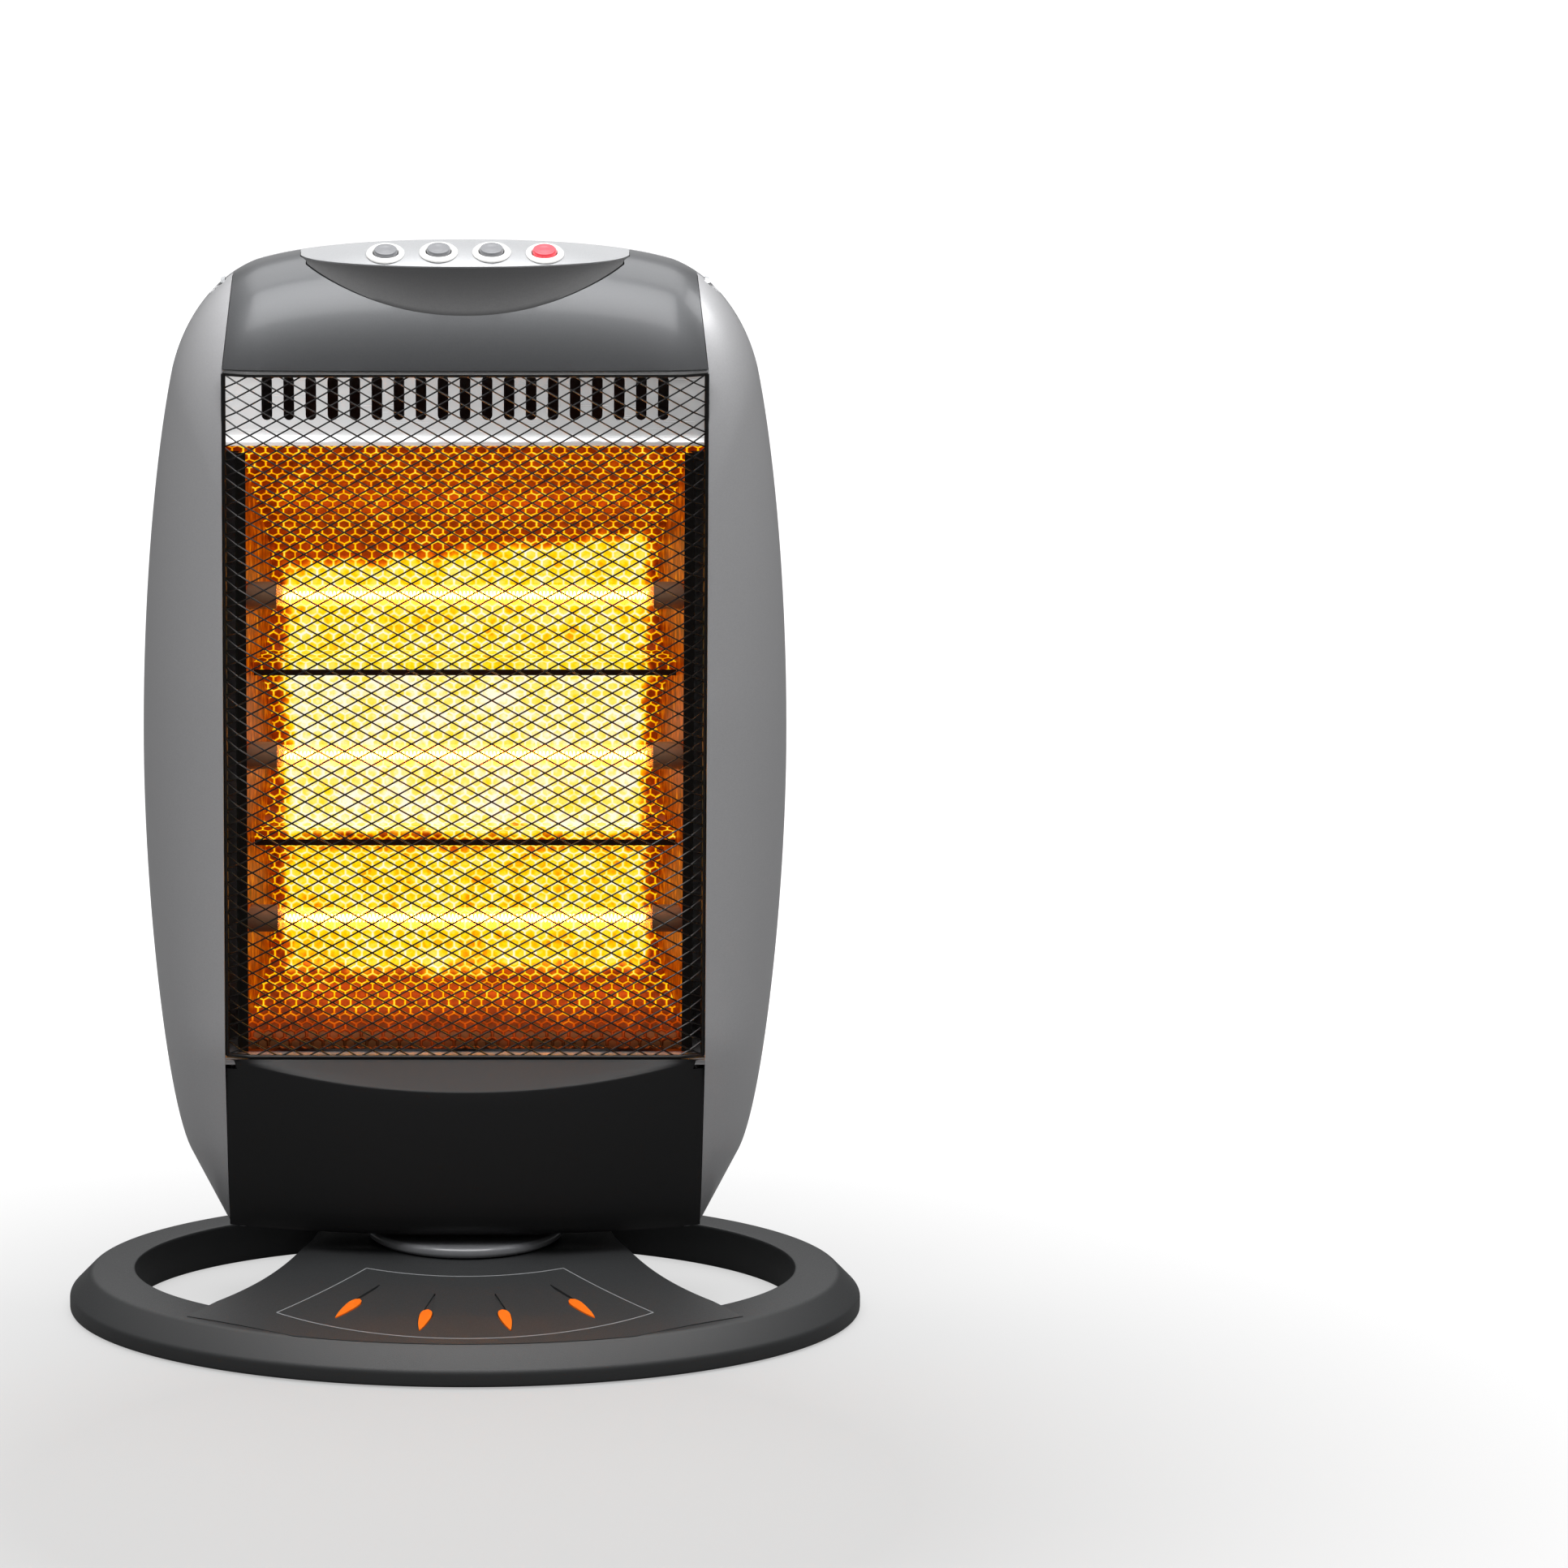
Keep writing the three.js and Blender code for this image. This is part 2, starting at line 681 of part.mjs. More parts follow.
// A pan-head screw whose head's seat is at `seat`, with its shank along `inward`.
function makeScrew(seat, inward) {
  const head = new THREE.CylinderGeometry(
    screwHeadRadius * 0.8, screwHeadRadius, screwHeadHeight, 10,
  );
  head.translate(0, screwHeadHeight / 2, 0);
  const shank = new THREE.CylinderGeometry(screwShankRadius, screwShankRadius, screwLength, 6);
  shank.translate(0, -screwLength / 2 + 0.2, 0);
  const recess = new THREE.BoxGeometry(screwHeadRadius * 1.1, 1, 0.9);
  recess.translate(0, screwHeadHeight, 0);
  const cross = recess.clone().rotateY(Math.PI / 2);
  const screw = solid(head).add(solid(shank)).subtract(solid(recess)).subtract(solid(cross));
  const geometry = geometryOf(screw);
  const outward = new THREE.Vector3(...inward).negate().normalize();
  const turn = new THREE.Quaternion().setFromUnitVectors(new THREE.Vector3(0, 1, 0), outward);
  geometry.applyQuaternion(turn);
  geometry.translate(...seat);
  return solid(geometry);
}

// ---------------------------------------------------------------------------------------
// Head skin: a pillow lofted from the rear face, over the seam outline, to the front face
// ---------------------------------------------------------------------------------------

// Right half of a head outline as (x, z), from the bottom centre to the top centre.
function halfOutline(stations) {
  const [bottom, corner, root, flare, waist, shoulder, crown, top] = stations;
  const path = [
    [new THREE.LineCurve(new THREE.Vector2(...bottom), new THREE.Vector2(...corner)), 2],
    [new THREE.QuadraticBezierCurve(
      new THREE.Vector2(...corner),
      new THREE.Vector2((corner[0] + root[0]) / 2 + 1, corner[1]),
      new THREE.Vector2(...root),
    ), 2],
    [new THREE.LineCurve(new THREE.Vector2(...root), new THREE.Vector2(...flare)), 1],
    [new THREE.CubicBezierCurve(
      new THREE.Vector2(...flare),
      new THREE.Vector2(
        flare[0] + (flare[0] - root[0]) * 0.62,
        flare[1] + (flare[1] - root[1]) * 0.66,
      ),
      new THREE.Vector2(waist[0], waist[1] - (waist[1] - flare[1]) * 0.4),
      new THREE.Vector2(...waist),
    ), 5],
    [new THREE.CubicBezierCurve(
      new THREE.Vector2(...waist),
      new THREE.Vector2(waist[0], waist[1] + (shoulder[1] - waist[1]) * 0.4),
      new THREE.Vector2(
        shoulder[0] + (waist[0] - shoulder[0]) * 0.55,
        shoulder[1] - (shoulder[1] - waist[1]) * 0.22,
      ),
      new THREE.Vector2(...shoulder),
    ), 4],
    [new THREE.CubicBezierCurve(
      new THREE.Vector2(...shoulder),
      new THREE.Vector2(
        shoulder[0] - (shoulder[0] - crown[0]) * 0.12,
        shoulder[1] + (crown[1] - shoulder[1]) * 0.4,
      ),
      new THREE.Vector2(
        crown[0] + (shoulder[0] - crown[0]) * 0.55,
        crown[1] - (crown[1] - shoulder[1]) * 0.17,
      ),
      new THREE.Vector2(...crown),
    ), 5],
    [new THREE.CubicBezierCurve(
      new THREE.Vector2(...crown),
      new THREE.Vector2(crown[0] * 0.77, crown[1] + (top[1] - crown[1]) * 0.76),
      new THREE.Vector2(crown[0] * 0.4, top[1]),
      new THREE.Vector2(...top),
    ), 5],
  ];
  const points = [];
  for (const [curve, divisions] of path) {
    points.push(...curve.getPoints(divisions).slice(0, divisions));
  }
  points.push(new THREE.Vector2(...top));
  return points;
}

// The whole outline, anticlockwise seen from the front.
function fullOutline(stations) {
  const right = halfOutline(stations);
  const left = right.slice(1, -1).reverse().map((p) => new THREE.Vector2(-p.x, p.y));
  return [...right, ...left];
}

// Draws an outline in by a distance, along its own normals.
function drawIn(points, distance) {
  return points.map((p, i) => {
    const before = points[(i + points.length - 1) % points.length];
    const after = points[(i + 1) % points.length];
    const along = after.clone().sub(before).normalize();
    return new THREE.Vector2(p.x - along.y * distance, p.y + along.x * distance);
  });
}

const shoulderHalfWidth = headHalfWidth - shoulderIn;
const crownHalfWidth = headHalfWidth - crownIn;
const windowHalfWidth = headHalfWidth - cheekWidth;
const windowTopHalfWidth = windowHalfWidth - windowTopTaper;
const windowBottomHalfWidth = windowHalfWidth - windowBottomTaper;
const grilleBottomZ = headBottom + bottomPanelHeight;
const grilleTopZ = headTop - topPanelDrop;
const frontFaceTopZ = headTop - frontDome;
const rearFaceTopZ = headTop - rearDome;
const frontFootZ = headBottom + frontFaceUp;
const rearFootZ = headBottom + rearFaceUp;
const rearFaceHalfWidth = headHalfWidth - rearFaceIn;
const frontFaceHalfWidth = windowHalfWidth - 3.3;
const seamScrewZ = headTop - seamScrewDown;
const skinBottom = headBottom - shellWall;   // the pillow's underside, later cut flat
const seamStations = [
  [0, skinBottom],
  [headHalfWidth - rootIn - 8, skinBottom],
  [headHalfWidth - rootIn, headBottom + rootUp],
  [headHalfWidth - flareIn, headBottom + flareUp],
  [headHalfWidth, waistZ],
  [shoulderHalfWidth, headTop - shoulderDown],
  [crownHalfWidth, headTop - crownDown],
  [0, headTop],
];

// The outline of a flat face: rounded corners within a half width and two levels.
function faceStations(halfWidth, low, high, taper) {
  return [
    [0, low],
    [halfWidth * 0.88, low],
    [halfWidth * 0.96 - taper, low + halfWidth * 0.05],
    [halfWidth - taper, low + halfWidth * 0.25],
    [halfWidth, waistZ],
    [halfWidth - taper / 2, high - halfWidth * 0.27],
    [halfWidth * 0.87, high - halfWidth * 0.04],
    [0, high],
  ];
}
const frontStations = faceStations(frontFaceHalfWidth, frontFootZ, frontFaceTopZ, 1);
const rearStations = faceStations(rearFaceHalfWidth, rearFootZ, rearFaceTopZ, 5);

// Depth of the front face: it leans back at the foot and near the crown.
function frontDepth(z) {
  const lean = footLean * Math.max(0, headBottom + leanBelow - z);
  const flatTop = waistZ + 25;
  const headRise = THREE.MathUtils.clamp((z - flatTop) / (frontFaceTopZ - flatTop), 0, 1);
  return frontFaceY + lean + (frontTopY - frontFaceY) * headRise;
}

function skin(inset) {
  const seam = drawIn(fullOutline(seamStations), inset);
  const front = drawIn(fullOutline(frontStations), inset);
  const rear = drawIn(fullOutline(rearStations), inset);
  const rings = [];
  const steps = 5;
  const ringAt = (target, depthOf, angle, power) => {
    const out = Math.pow(Math.cos(angle), 2 / power);
    const forward = Math.pow(Math.sin(angle), 2 / power);
    return seam.map((p, i) => {
      const q = target[i];
      return [
        q.x + (p.x - q.x) * out,
        seamY + (depthOf(q.y) - seamY) * forward,
        q.y + (p.y - q.y) * out,
      ];
    });
  };
  for (let s = steps; s >= 1; s--) {
    const angle = Math.min((s / steps) * (Math.PI / 2), Math.PI / 2);
    rings.push(ringAt(rear, () => rearFaceY - inset, angle, rearRound));
  }
  rings.push(seam.map((p) => [p.x, seamY, p.y]));
  for (let s = 1; s <= steps; s++) {
    const angle = Math.min((s / steps) * (Math.PI / 2), Math.PI / 2);
    rings.push(ringAt(front, (z) => frontDepth(z) + inset, angle, frontRound));
  }
  return loft(rings);
}

const skins = new Map();
function cachedSkin(inset) {
  if (!skins.has(inset)) {
    skins.set(inset, skin(inset));
  }
  return skins.get(inset);
}

// How far the seam outline has fallen below its top at a distance from the middle.
function crownFall(x) {
  const points = halfOutline(seamStations).reverse();
  for (let i = 1; i < points.length; i++) {
    const [a, b] = [points[i - 1], points[i]];
    if (b.x >= Math.abs(x)) {
      const share = (Math.abs(x) - a.x) / (b.x - a.x);
      return headTop - (a.y + (b.y - a.y) * share);
    }
  }
  return 0;
}

// Height of the dome over a place in front of the seam.
function domeHeight(x, y) {
  const reach = THREE.MathUtils.clamp((seamY - y) / (seamY - frontTopY), 0, 1);
  const drop = Math.pow(1 - Math.pow(reach, frontRound), 1 / frontRound);
  return frontFaceTopZ + (frontDome - crownFall(x)) * drop;
}

// The outline of the front opening, drawn out by `grow`: (x, z) from the floor to the crown.
function windowOutline(grow, low, high) {
  const right = [
    [windowBottomHalfWidth + grow, low],
    [windowHalfWidth + grow, grilleBottomZ],
    [windowHalfWidth + grow, grilleTopZ],
    [windowTopHalfWidth + grow, headTop - windowTopEnd],
    [windowTopHalfWidth + grow, high],
  ];
  const left = right.map(([x, z]) => [-x, z]).reverse();
  return outline([...right, ...left]);
}

const far = 400;
const headFloorTop = headBottom + shellWall;
const headWalls = cachedSkin(0).subtract(
  cachedSkin(shellWall).intersect(box(-far, far, -far, far, headFloorTop, 2 * far)),
).subtract(box(-far, far, -far, far, -far, headBottom));
const headSpace = cachedSkin(0).intersect(box(-far, far, -far, far, headBottom, 2 * far));

const seamHoleFloorX = windowTopHalfWidth + seamHoleIn;

function seamBoss(side) {
  const foot = seamHoleFloorX - 2;
  const [x0, x1] = side > 0 ? [foot, headHalfWidth] : [-headHalfWidth, -foot];
  return bar('x', seamHoleRadius + seamBossWall, x0, x1, [seamY, seamScrewZ], 16)
    .intersect(cachedSkin(0));
}

function seamHole(side) {
  const [x0, x1] = side > 0 ? [seamHoleFloorX, far] : [-far, -seamHoleFloorX];
  const reach = screwLength + 5;
  const [s0, s1] = side > 0 ? [x0 - reach, x0 + 1] : [x1 - 1, x1 + reach];
  return bar('x', seamHoleRadius, x0, x1, [seamY, seamScrewZ], 16)
    .add(bar('x', screwShankRadius + screwClearance, s0, s1, [seamY, seamScrewZ], 8));
}

function makeFrontShell() {
  const seamCut = seamY - touchGap / 2;
  const opening = push(windowOutline(0, headFloorTop, headTop + 10), -far, far);
  const jamb = push(windowOutline(shellWall, headFloorTop - 1, headTop + 10), -far, far)
    .subtract(opening)
    .intersect(headSpace)
    .subtract(box(-far, far, -far, far, seamScrewZ - 3, 2 * far));
  const inside = cachedSkin(shellWall + 2 * touchGap);
  const across = windowHalfWidth + 1;
  const topLedge = box(
    -across, across, frontTopY + 3, far, grilleTopZ - ledgeThickness, grilleTopZ,
  ).intersect(headSpace);
  const bottomLedge = box(
    -across, across, frontFaceY + grilleSet + touchGap, far,
    grilleBottomZ - 0.5 - ledgeThickness, grilleBottomZ - 0.5,
  ).intersect(headSpace);
  const ribs = [-ribX, ribX].map((x) => box(
    x - ribThickness / 2, x + ribThickness / 2, -far, far, grilleTopZ - 1, headTop,
  ).intersect(inside).subtract(unitBody(controlThickness + touchGap, far)));
  const cheeks = headWalls.subtract(opening);
  return together([cheeks, jamb, topLedge, bottomLedge, ...ribs, seamBoss(1), seamBoss(-1)])
    .intersect(box(-far, far, -far, seamCut, -far, 2 * far))
    .subtract(seamHole(1))
    .subtract(seamHole(-1))
    .subtract(bar('z', tubeBore, 0, headFloorTop + 1, [0, pivotY], 20));
}

// Share of the control unit's depth at a distance from the middle: 1 there, 0 at the tips.
function unitShare(x, power) {
  const side = Math.min(1, Math.abs(x) / (controlHalfWidth + 1));
  return Math.pow(1 - Math.pow(side, 2.2), power);
}

function lensEdge(x) {
  return controlTipY - controlDepth * unitShare(x, 0.4);
}

function crescentEdge(x) {
  return controlTipY - crescentDepth * unitShare(x, 0.45);
}

// Height of the silver lens over a place: a ruled surface with a slight crown.
function lensHeight(x, y) {
  const front = lensEdge(x);
  const low = domeHeight(x, front) + controlRise * unitShare(x, 1) + controlProud;
  const high = headTop - crownFall(x) + controlProud;
  const t = (y - front) / (seamY - front);
  return low + (high - low) * t + controlCrown * unitShare(x, 1) * 4 * t * (1 - t);
}

const unitSteps = 12;

// A body through side sections (y, z) at steps across the unit.
function unitLoft(halfWidth, section) {
  const rings = [];
  for (let i = 0; i <= unitSteps; i++) {
    const x = -halfWidth * Math.cos((i / unitSteps) * Math.PI);
    rings.push(section(x).map(([y, z]) => [x, y, z]));
  }
  return loft(rings);
}

// The lens as a slab from its surface lowered by `drop` down to `depth` under it.
function unitBody(drop, depth) {
  return unitLoft(controlHalfWidth, (x) => {
    const front = lensEdge(x);
    const back = seamY - touchGap;
    const middle = (front + back) / 2;
    const top = [front, middle, back].map((y) => [y, lensHeight(x, y) - drop]);
    return [...top, [back, top[2][1] - depth], [middle, top[1][1] - depth], [front, top[0][1] - depth]];
  });
}

// The dark crescent below the lens, down to its sharp lower edge on the dome.
function makeCrescent() {
  return unitLoft(crescentHalfWidth, (x) => {
    const [upperY, lowerY] = [lensEdge(x), crescentEdge(x)];
    const upperZ = lensHeight(x, upperY) - 2 * touchGap;
    const lowerZ = domeHeight(x, lowerY) + controlProud;
    const thick = Math.min(controlThickness, (upperY - lowerY) * 0.6);
    return [
      [lowerY, lowerZ],
      [upperY - touchGap, upperZ],
      [upperY - touchGap, upperZ - controlThickness * 1.6],
      [lowerY + thick, lowerZ - panelWall],
      [lowerY, lowerZ - panelWall],
    ];
  });
}

// Plan of the opening for the control unit in the top panel.
function unitOutline() {
  const tip = controlHalfWidth + touchGap;
  const corner = crescentHalfWidth + 2 * touchGap;
  const tipY = lensEdge(controlHalfWidth) - 2 * touchGap;
  const cornerY = lensEdge(crescentHalfWidth) - 2 * touchGap;
  const points = [[-tip, tipY], [-corner, cornerY]];
  for (let i = 0; i <= unitSteps; i++) {
    const share = -Math.cos((i / unitSteps) * Math.PI);
    points.push([corner * share, crescentEdge(crescentHalfWidth * share) - 2 * touchGap]);
  }
  points.push([corner, cornerY], [tip, tipY]);
  return outline([...points, [tip, seamY + 5], [-tip, seamY + 5]]);
}

function makeTopPanel() {
  const low = grilleTopZ + touchGap;
  const window = windowOutline(-touchGap, headBottom, headTop + panelWall);
  const field = push(window, -far, seamY - touchGap)
    .intersect(box(-far, far, -far, far, low, 2 * far));
  const unit = raise(unitOutline(), low, headTop + far);
  return cachedSkin(-panelProud).subtract(cachedSkin(panelWall)).intersect(field).subtract(unit);
}

const buttonDirection = new THREE.Vector3(
  0, -Math.sin(radians(buttonTilt)), Math.cos(radians(buttonTilt)),
);

function buttonCentre(index) {
  const x = (index - (buttonCount - 1) / 2) * buttonPitch;
  return new THREE.Vector3(x, buttonY, lensHeight(x, buttonY));
}

// Puts a geometry whose axis is +Y on a button's axis, `lift` above the skin.
function onButtonAxis(geometry, index, lift) {
  const turn = new THREE.Quaternion().setFromUnitVectors(
    new THREE.Vector3(0, 1, 0), buttonDirection,
  );
  const place = buttonCentre(index).addScaledVector(buttonDirection, lift);
  geometry.applyQuaternion(turn);
  geometry.translate(place.x, place.y, place.z);
  return solid(geometry);
}

function buttonHole(index, radius) {
  const length = 4 * (controlThickness + buttonBodyLength);
  return onButtonAxis(new THREE.CylinderGeometry(radius, radius, length, 14), index, 0);
}

function makeControlPanel() {
  let panel = unitBody(0, controlThickness);
  for (let i = 0; i < buttonCount; i++) {
    panel = panel.subtract(buttonHole(i, buttonRadius + runGap));
  }
  return panel;
}

function makeCollar(index) {
  const [r0, r1] = [buttonRadius + runGap, collarRadius];
  const top = collarHeight;
  const points = [
    [r0, -3], [r1, -3], [r1, top - 1.4], [r1 - 1.6, top - 0.2], [r0 + 0.8, top], [r0, top - 0.5],
    [r0, -3],
  ].map(([r, y]) => new THREE.Vector2(r, y));
  const geometry = new THREE.LatheGeometry(points, 14);
  const turned = geometryOf(loftSafe(geometry));
  return onButtonAxis(turned, index, 0).subtract(unitBody(-touchGap, far));
}

const buttonFoot = collarHeight + buttonHeight - buttonBodyLength;

function makeButton(index) {
  const cap = new THREE.LatheGeometry([
    [0, buttonFoot + buttonBodyLength], [buttonRadius - 1, buttonFoot + buttonBodyLength],
    [buttonRadius, buttonFoot + buttonBodyLength - 0.9], [buttonRadius, buttonFoot],
    [stemRadius, buttonFoot], [stemRadius, buttonFoot - stemLength],
    [0, buttonFoot - stemLength],
  ].map(([r, y]) => new THREE.Vector2(r, y)), 14);
  return onButtonAxis(geometryOf(loftSafe(cap)), index, 0);
}

// The switch block hangs between the two ribs, under the control panel.
function makeSwitchBlock() {
  const half = ribX - ribThickness / 2 - touchGap;
  const centre = new THREE.Vector3(0, buttonY, lensHeight(0, buttonY))
    .addScaledVector(buttonDirection, -switchDrop - switchHeight / 2);
  const geometry = new THREE.BoxGeometry(2 * half, switchDepth, switchHeight);
  geometry.rotateX(radians(buttonTilt));
  geometry.translate(centre.x, centre.y, centre.z);
  let block = solid(geometry);
  const depth = stemLength - (switchDrop + buttonFoot) + buttonTravel + 1;
  for (let i = 0; i < buttonCount; i++) {
    const socket = new THREE.CylinderGeometry(
      stemRadius + runGap, stemRadius + runGap, depth + 4, 12,
    );
    const fall = lensHeight(0, buttonY) - buttonCentre(i).z;
    const middle = -switchDrop + fall + 2 - depth / 2;
    block = block.subtract(onButtonAxis(socket, i, middle));
  }
  return block;
}

// Rear shell and the pieces on its back ---------------------------------------------------

function roundedRectangle(halfWidth, low, high, corner) {
  const shape = new THREE.Shape();
  shape.moveTo(-halfWidth + corner, low);
  shape.lineTo(halfWidth - corner, low);
  shape.quadraticCurveTo(halfWidth, low, halfWidth, low + corner);
  shape.lineTo(halfWidth, high - corner);
  shape.quadraticCurveTo(halfWidth, high, halfWidth - corner, high);
  shape.lineTo(-halfWidth + corner, high);
  shape.quadraticCurveTo(-halfWidth, high, -halfWidth, high - corner);
  shape.lineTo(-halfWidth, low + corner);
  shape.quadraticCurveTo(-halfWidth, low, -halfWidth + corner, low);
  return shape;
}

function slotOutline(x0, x1, z, height) {
  const r = height / 2;
  const shape = new THREE.Shape();
  shape.moveTo(x0 + r, z - r);
  shape.lineTo(x1 - r, z - r);
  shape.absarc(x1 - r, z, r, -Math.PI / 2, Math.PI / 2, false);
  shape.lineTo(x0 + r, z + r);
  shape.absarc(x0 + r, z, r, Math.PI / 2, Math.PI * 1.5, false);
  return shape;
}

const rearPanelHalfWidth = headHalfWidth - rearPanelIn;
const rearPanelBottomZ = headBottom + rearPanelUp;
const rearPanelTopZ = headTop - rearPanelDown;
const rearScrewLowZ = rearPanelBottomZ + rearScrewUp;
const rearScrewHighZ = rearPanelTopZ - rearScrewDown;
const rearScrewZ = [rearScrewLowZ, (rearScrewLowZ + rearScrewHighZ) / 2, rearScrewHighZ];
const rearPlaces = [-1, 1].flatMap((side) => rearScrewZ.map((z) => [
  side * (rearPanelHalfWidth - rearScrewIn), z,
]));
const rearPanelY = rearFaceY + touchGap;

function makeRearShell() {
  const seamCut = seamY + touchGap / 2;
  const opening = push(roundedRectangle(
    rearPanelHalfWidth - rearFlange - 3, rearPanelBottomZ + rearFlange + 3,
    rearPanelTopZ - rearFlange - 3, rearCorner - 2,
  ), seamY, far, 3);
  let body = together([headWalls, seamBoss(1), seamBoss(-1)])
    .intersect(box(-far, far, seamCut, far, -far, 2 * far))
    .subtract(seamHole(1))
    .subtract(seamHole(-1))
    .subtract(opening);
  for (const place of rearPlaces) {
    body = body.subtract(
      bar('y', screwShankRadius + screwClearance, seamY + touchGap, far, place, 8),
    );
  }
  return body;
}

function makeRearPanel() {
  const flange = push(roundedRectangle(
    rearPanelHalfWidth, rearPanelBottomZ, rearPanelTopZ, rearCorner,
  ), rearPanelY, rearPanelY + rearFlangeThickness, 4);
  const field = push(roundedRectangle(
    rearPanelHalfWidth - rearFlange, rearPanelBottomZ + rearFlange,
    rearPanelTopZ - rearFlange, rearCorner - 2,
  ), rearPanelY, rearPanelY + rearPanelRise, 4);
  const pocket = push(roundedRectangle(
    rearPanelHalfWidth - rearFlange - rearFlangeThickness,
    rearPanelBottomZ + rearFlange + rearFlangeThickness,
    rearPanelTopZ - rearFlange - rearFlangeThickness, rearCorner - 3,
  ), rearPanelY - 1, rearPanelY + rearPanelRise - rearFlangeThickness, 4);
  let body = flange.add(field).subtract(pocket);
  const inset = rearFlange + rearVentMargin;
  const first = [
    rearPanelBottomZ + inset,
    rearPanelTopZ - inset - (rearVentRows - 1) * rearVentPitch,
  ];
  for (const start of first) {
    for (let row = 0; row < rearVentRows; row++) {
      for (const side of [-1, 1]) {
        const x0 = side > 0 ? rearVentGap : -rearVentGap - rearVentLength;
        const shape = slotOutline(
          x0, x0 + rearVentLength, start + row * rearVentPitch, rearVentHeight,
        );
        body = body.subtract(push(shape, rearPanelY, far, 1));
      }
    }
  }
  for (const place of rearPlaces) {
    body = body.subtract(bar('y', screwShankRadius + screwClearance, seamY, far, place, 8));
  }
  return body;
}

// Bottom panel ------------------------------------------------------------------------------

// Centre-line profile of the bottom panel: [share of its height, share of its bulge].
const bottomPanelStations = [
  [0.05, 0.62], [0.12, 0.84], [0.25, 0.92], [0.47, 0.98], [0.69, 1.03],
  [0.86, 1.02], [0.935, 0.5], [1, 0],
].map(([up, share]) => [
  headBottom + up * (grilleBottomZ - touchGap - headBottom), share,
]);

// One horizontal ring of the bottom panel, drawn in by `inset`.
function bottomPanelRing(z, share, inset, backY) {
  const t = Math.min(1, (z - headBottom) / (grilleBottomZ - headBottom));
  const full = windowBottomHalfWidth + (windowHalfWidth - windowBottomHalfWidth) * t;
  const half = full - touchGap - inset;
  const sideY = frontDepth(z) + inset;
  const ring = [];
  const steps = 14;
  for (let i = 0; i <= steps; i++) {
    const x = -half + (2 * half * i) / steps;
    const bow = 1 - Math.pow(Math.abs(x) / half, 2.3);
    const lead = (bottomPanelBulge + (sideY - inset - frontFaceY)) * share * bow;
    ring.push([x, sideY - lead, z]);
  }
  ring.push([half, backY, z], [-half, backY, z]);
  return ring;
}

function makeBottomPanel() {
  const back = bottomPanelBackY + bottomPanelWall;
  const outer = loft(bottomPanelStations.map(([z, share]) => bottomPanelRing(z, share, 0, back)));
  const inner = loft(bottomPanelStations.map(([z, share], i) => {
    const last = bottomPanelStations.length - 1;
    const level = z + (i === 0 ? bottomPanelWall : 0) - (i === last ? bottomPanelWall : 0);
    return bottomPanelRing(level, share, bottomPanelWall, back + bottomPanelWall);
  }));
  const floorRelief = cachedSkin(touchGap * 2).intersect(
    box(-far, far, -far, far, -far, headFloorTop + floorReliefHeight),
  );
  return outer.subtract(inner)
    .subtract(box(-far, far, frontFaceY + grilleSet, far, grilleBottomZ - bottomPanelRim, far))
    .subtract(box(-far, far, bottomPanelBackY, far, -far, far))
    .subtract(floorRelief);
}

// Grille ------------------------------------------------------------------------------------

// Cuts a polygon (x, z) at one side of a rectangle.
function clipPolygon(points, inside, crossing) {
  const kept = [];
  points.forEach((a, i) => {
    const b = points[(i + 1) % points.length];
    if (inside(a)) {
      kept.push(a);
    }
    if (inside(a) !== inside(b)) {
      kept.push(crossing(a, b));
    }
  });
  return kept;
}

function clipToField(points, half, low, high) {
  const atX = (x) => (a, b) => [x, a[1] + ((b[1] - a[1]) * (x - a[0])) / (b[0] - a[0])];
  const atZ = (z) => (a, b) => [a[0] + ((b[0] - a[0]) * (z - a[1])) / (b[1] - a[1]), z];
  let kept = clipPolygon(points, (p) => p[0] <= half, atX(half));
  kept = clipPolygon(kept, (p) => p[0] >= -half, atX(-half));
  kept = clipPolygon(kept, (p) => p[1] <= high, atZ(high));
  kept = clipPolygon(kept, (p) => p[1] >= low, atZ(low));
  return kept.filter((p, i) => {
    const next = kept[(i + 1) % kept.length];
    return Math.hypot(next[0] - p[0], next[1] - p[1]) > 0.2;
  });
}

function polygonArea(points) {
  return Math.abs(points.reduce((sum, a, i) => {
    const b = points[(i + 1) % points.length];
    return sum + a[0] * b[1] - b[0] * a[1];
  }, 0)) / 2;
}

// The net lies flat in the middle and falls back to its rim.
function netDepth(x, z) {
  const across = Math.pow(Math.abs(x) / (windowHalfWidth - 1), 8);
  const middle = (grilleBottomZ + grilleTopZ) / 2;
  const up = Math.pow(Math.abs(z - middle) / ((grilleTopZ - grilleBottomZ) / 2), 6);
  const bulge = grilleBulge * (1 - Math.min(1, across)) * (1 - Math.min(1, up));
  return frontFaceY + grilleSet - bulge;
}

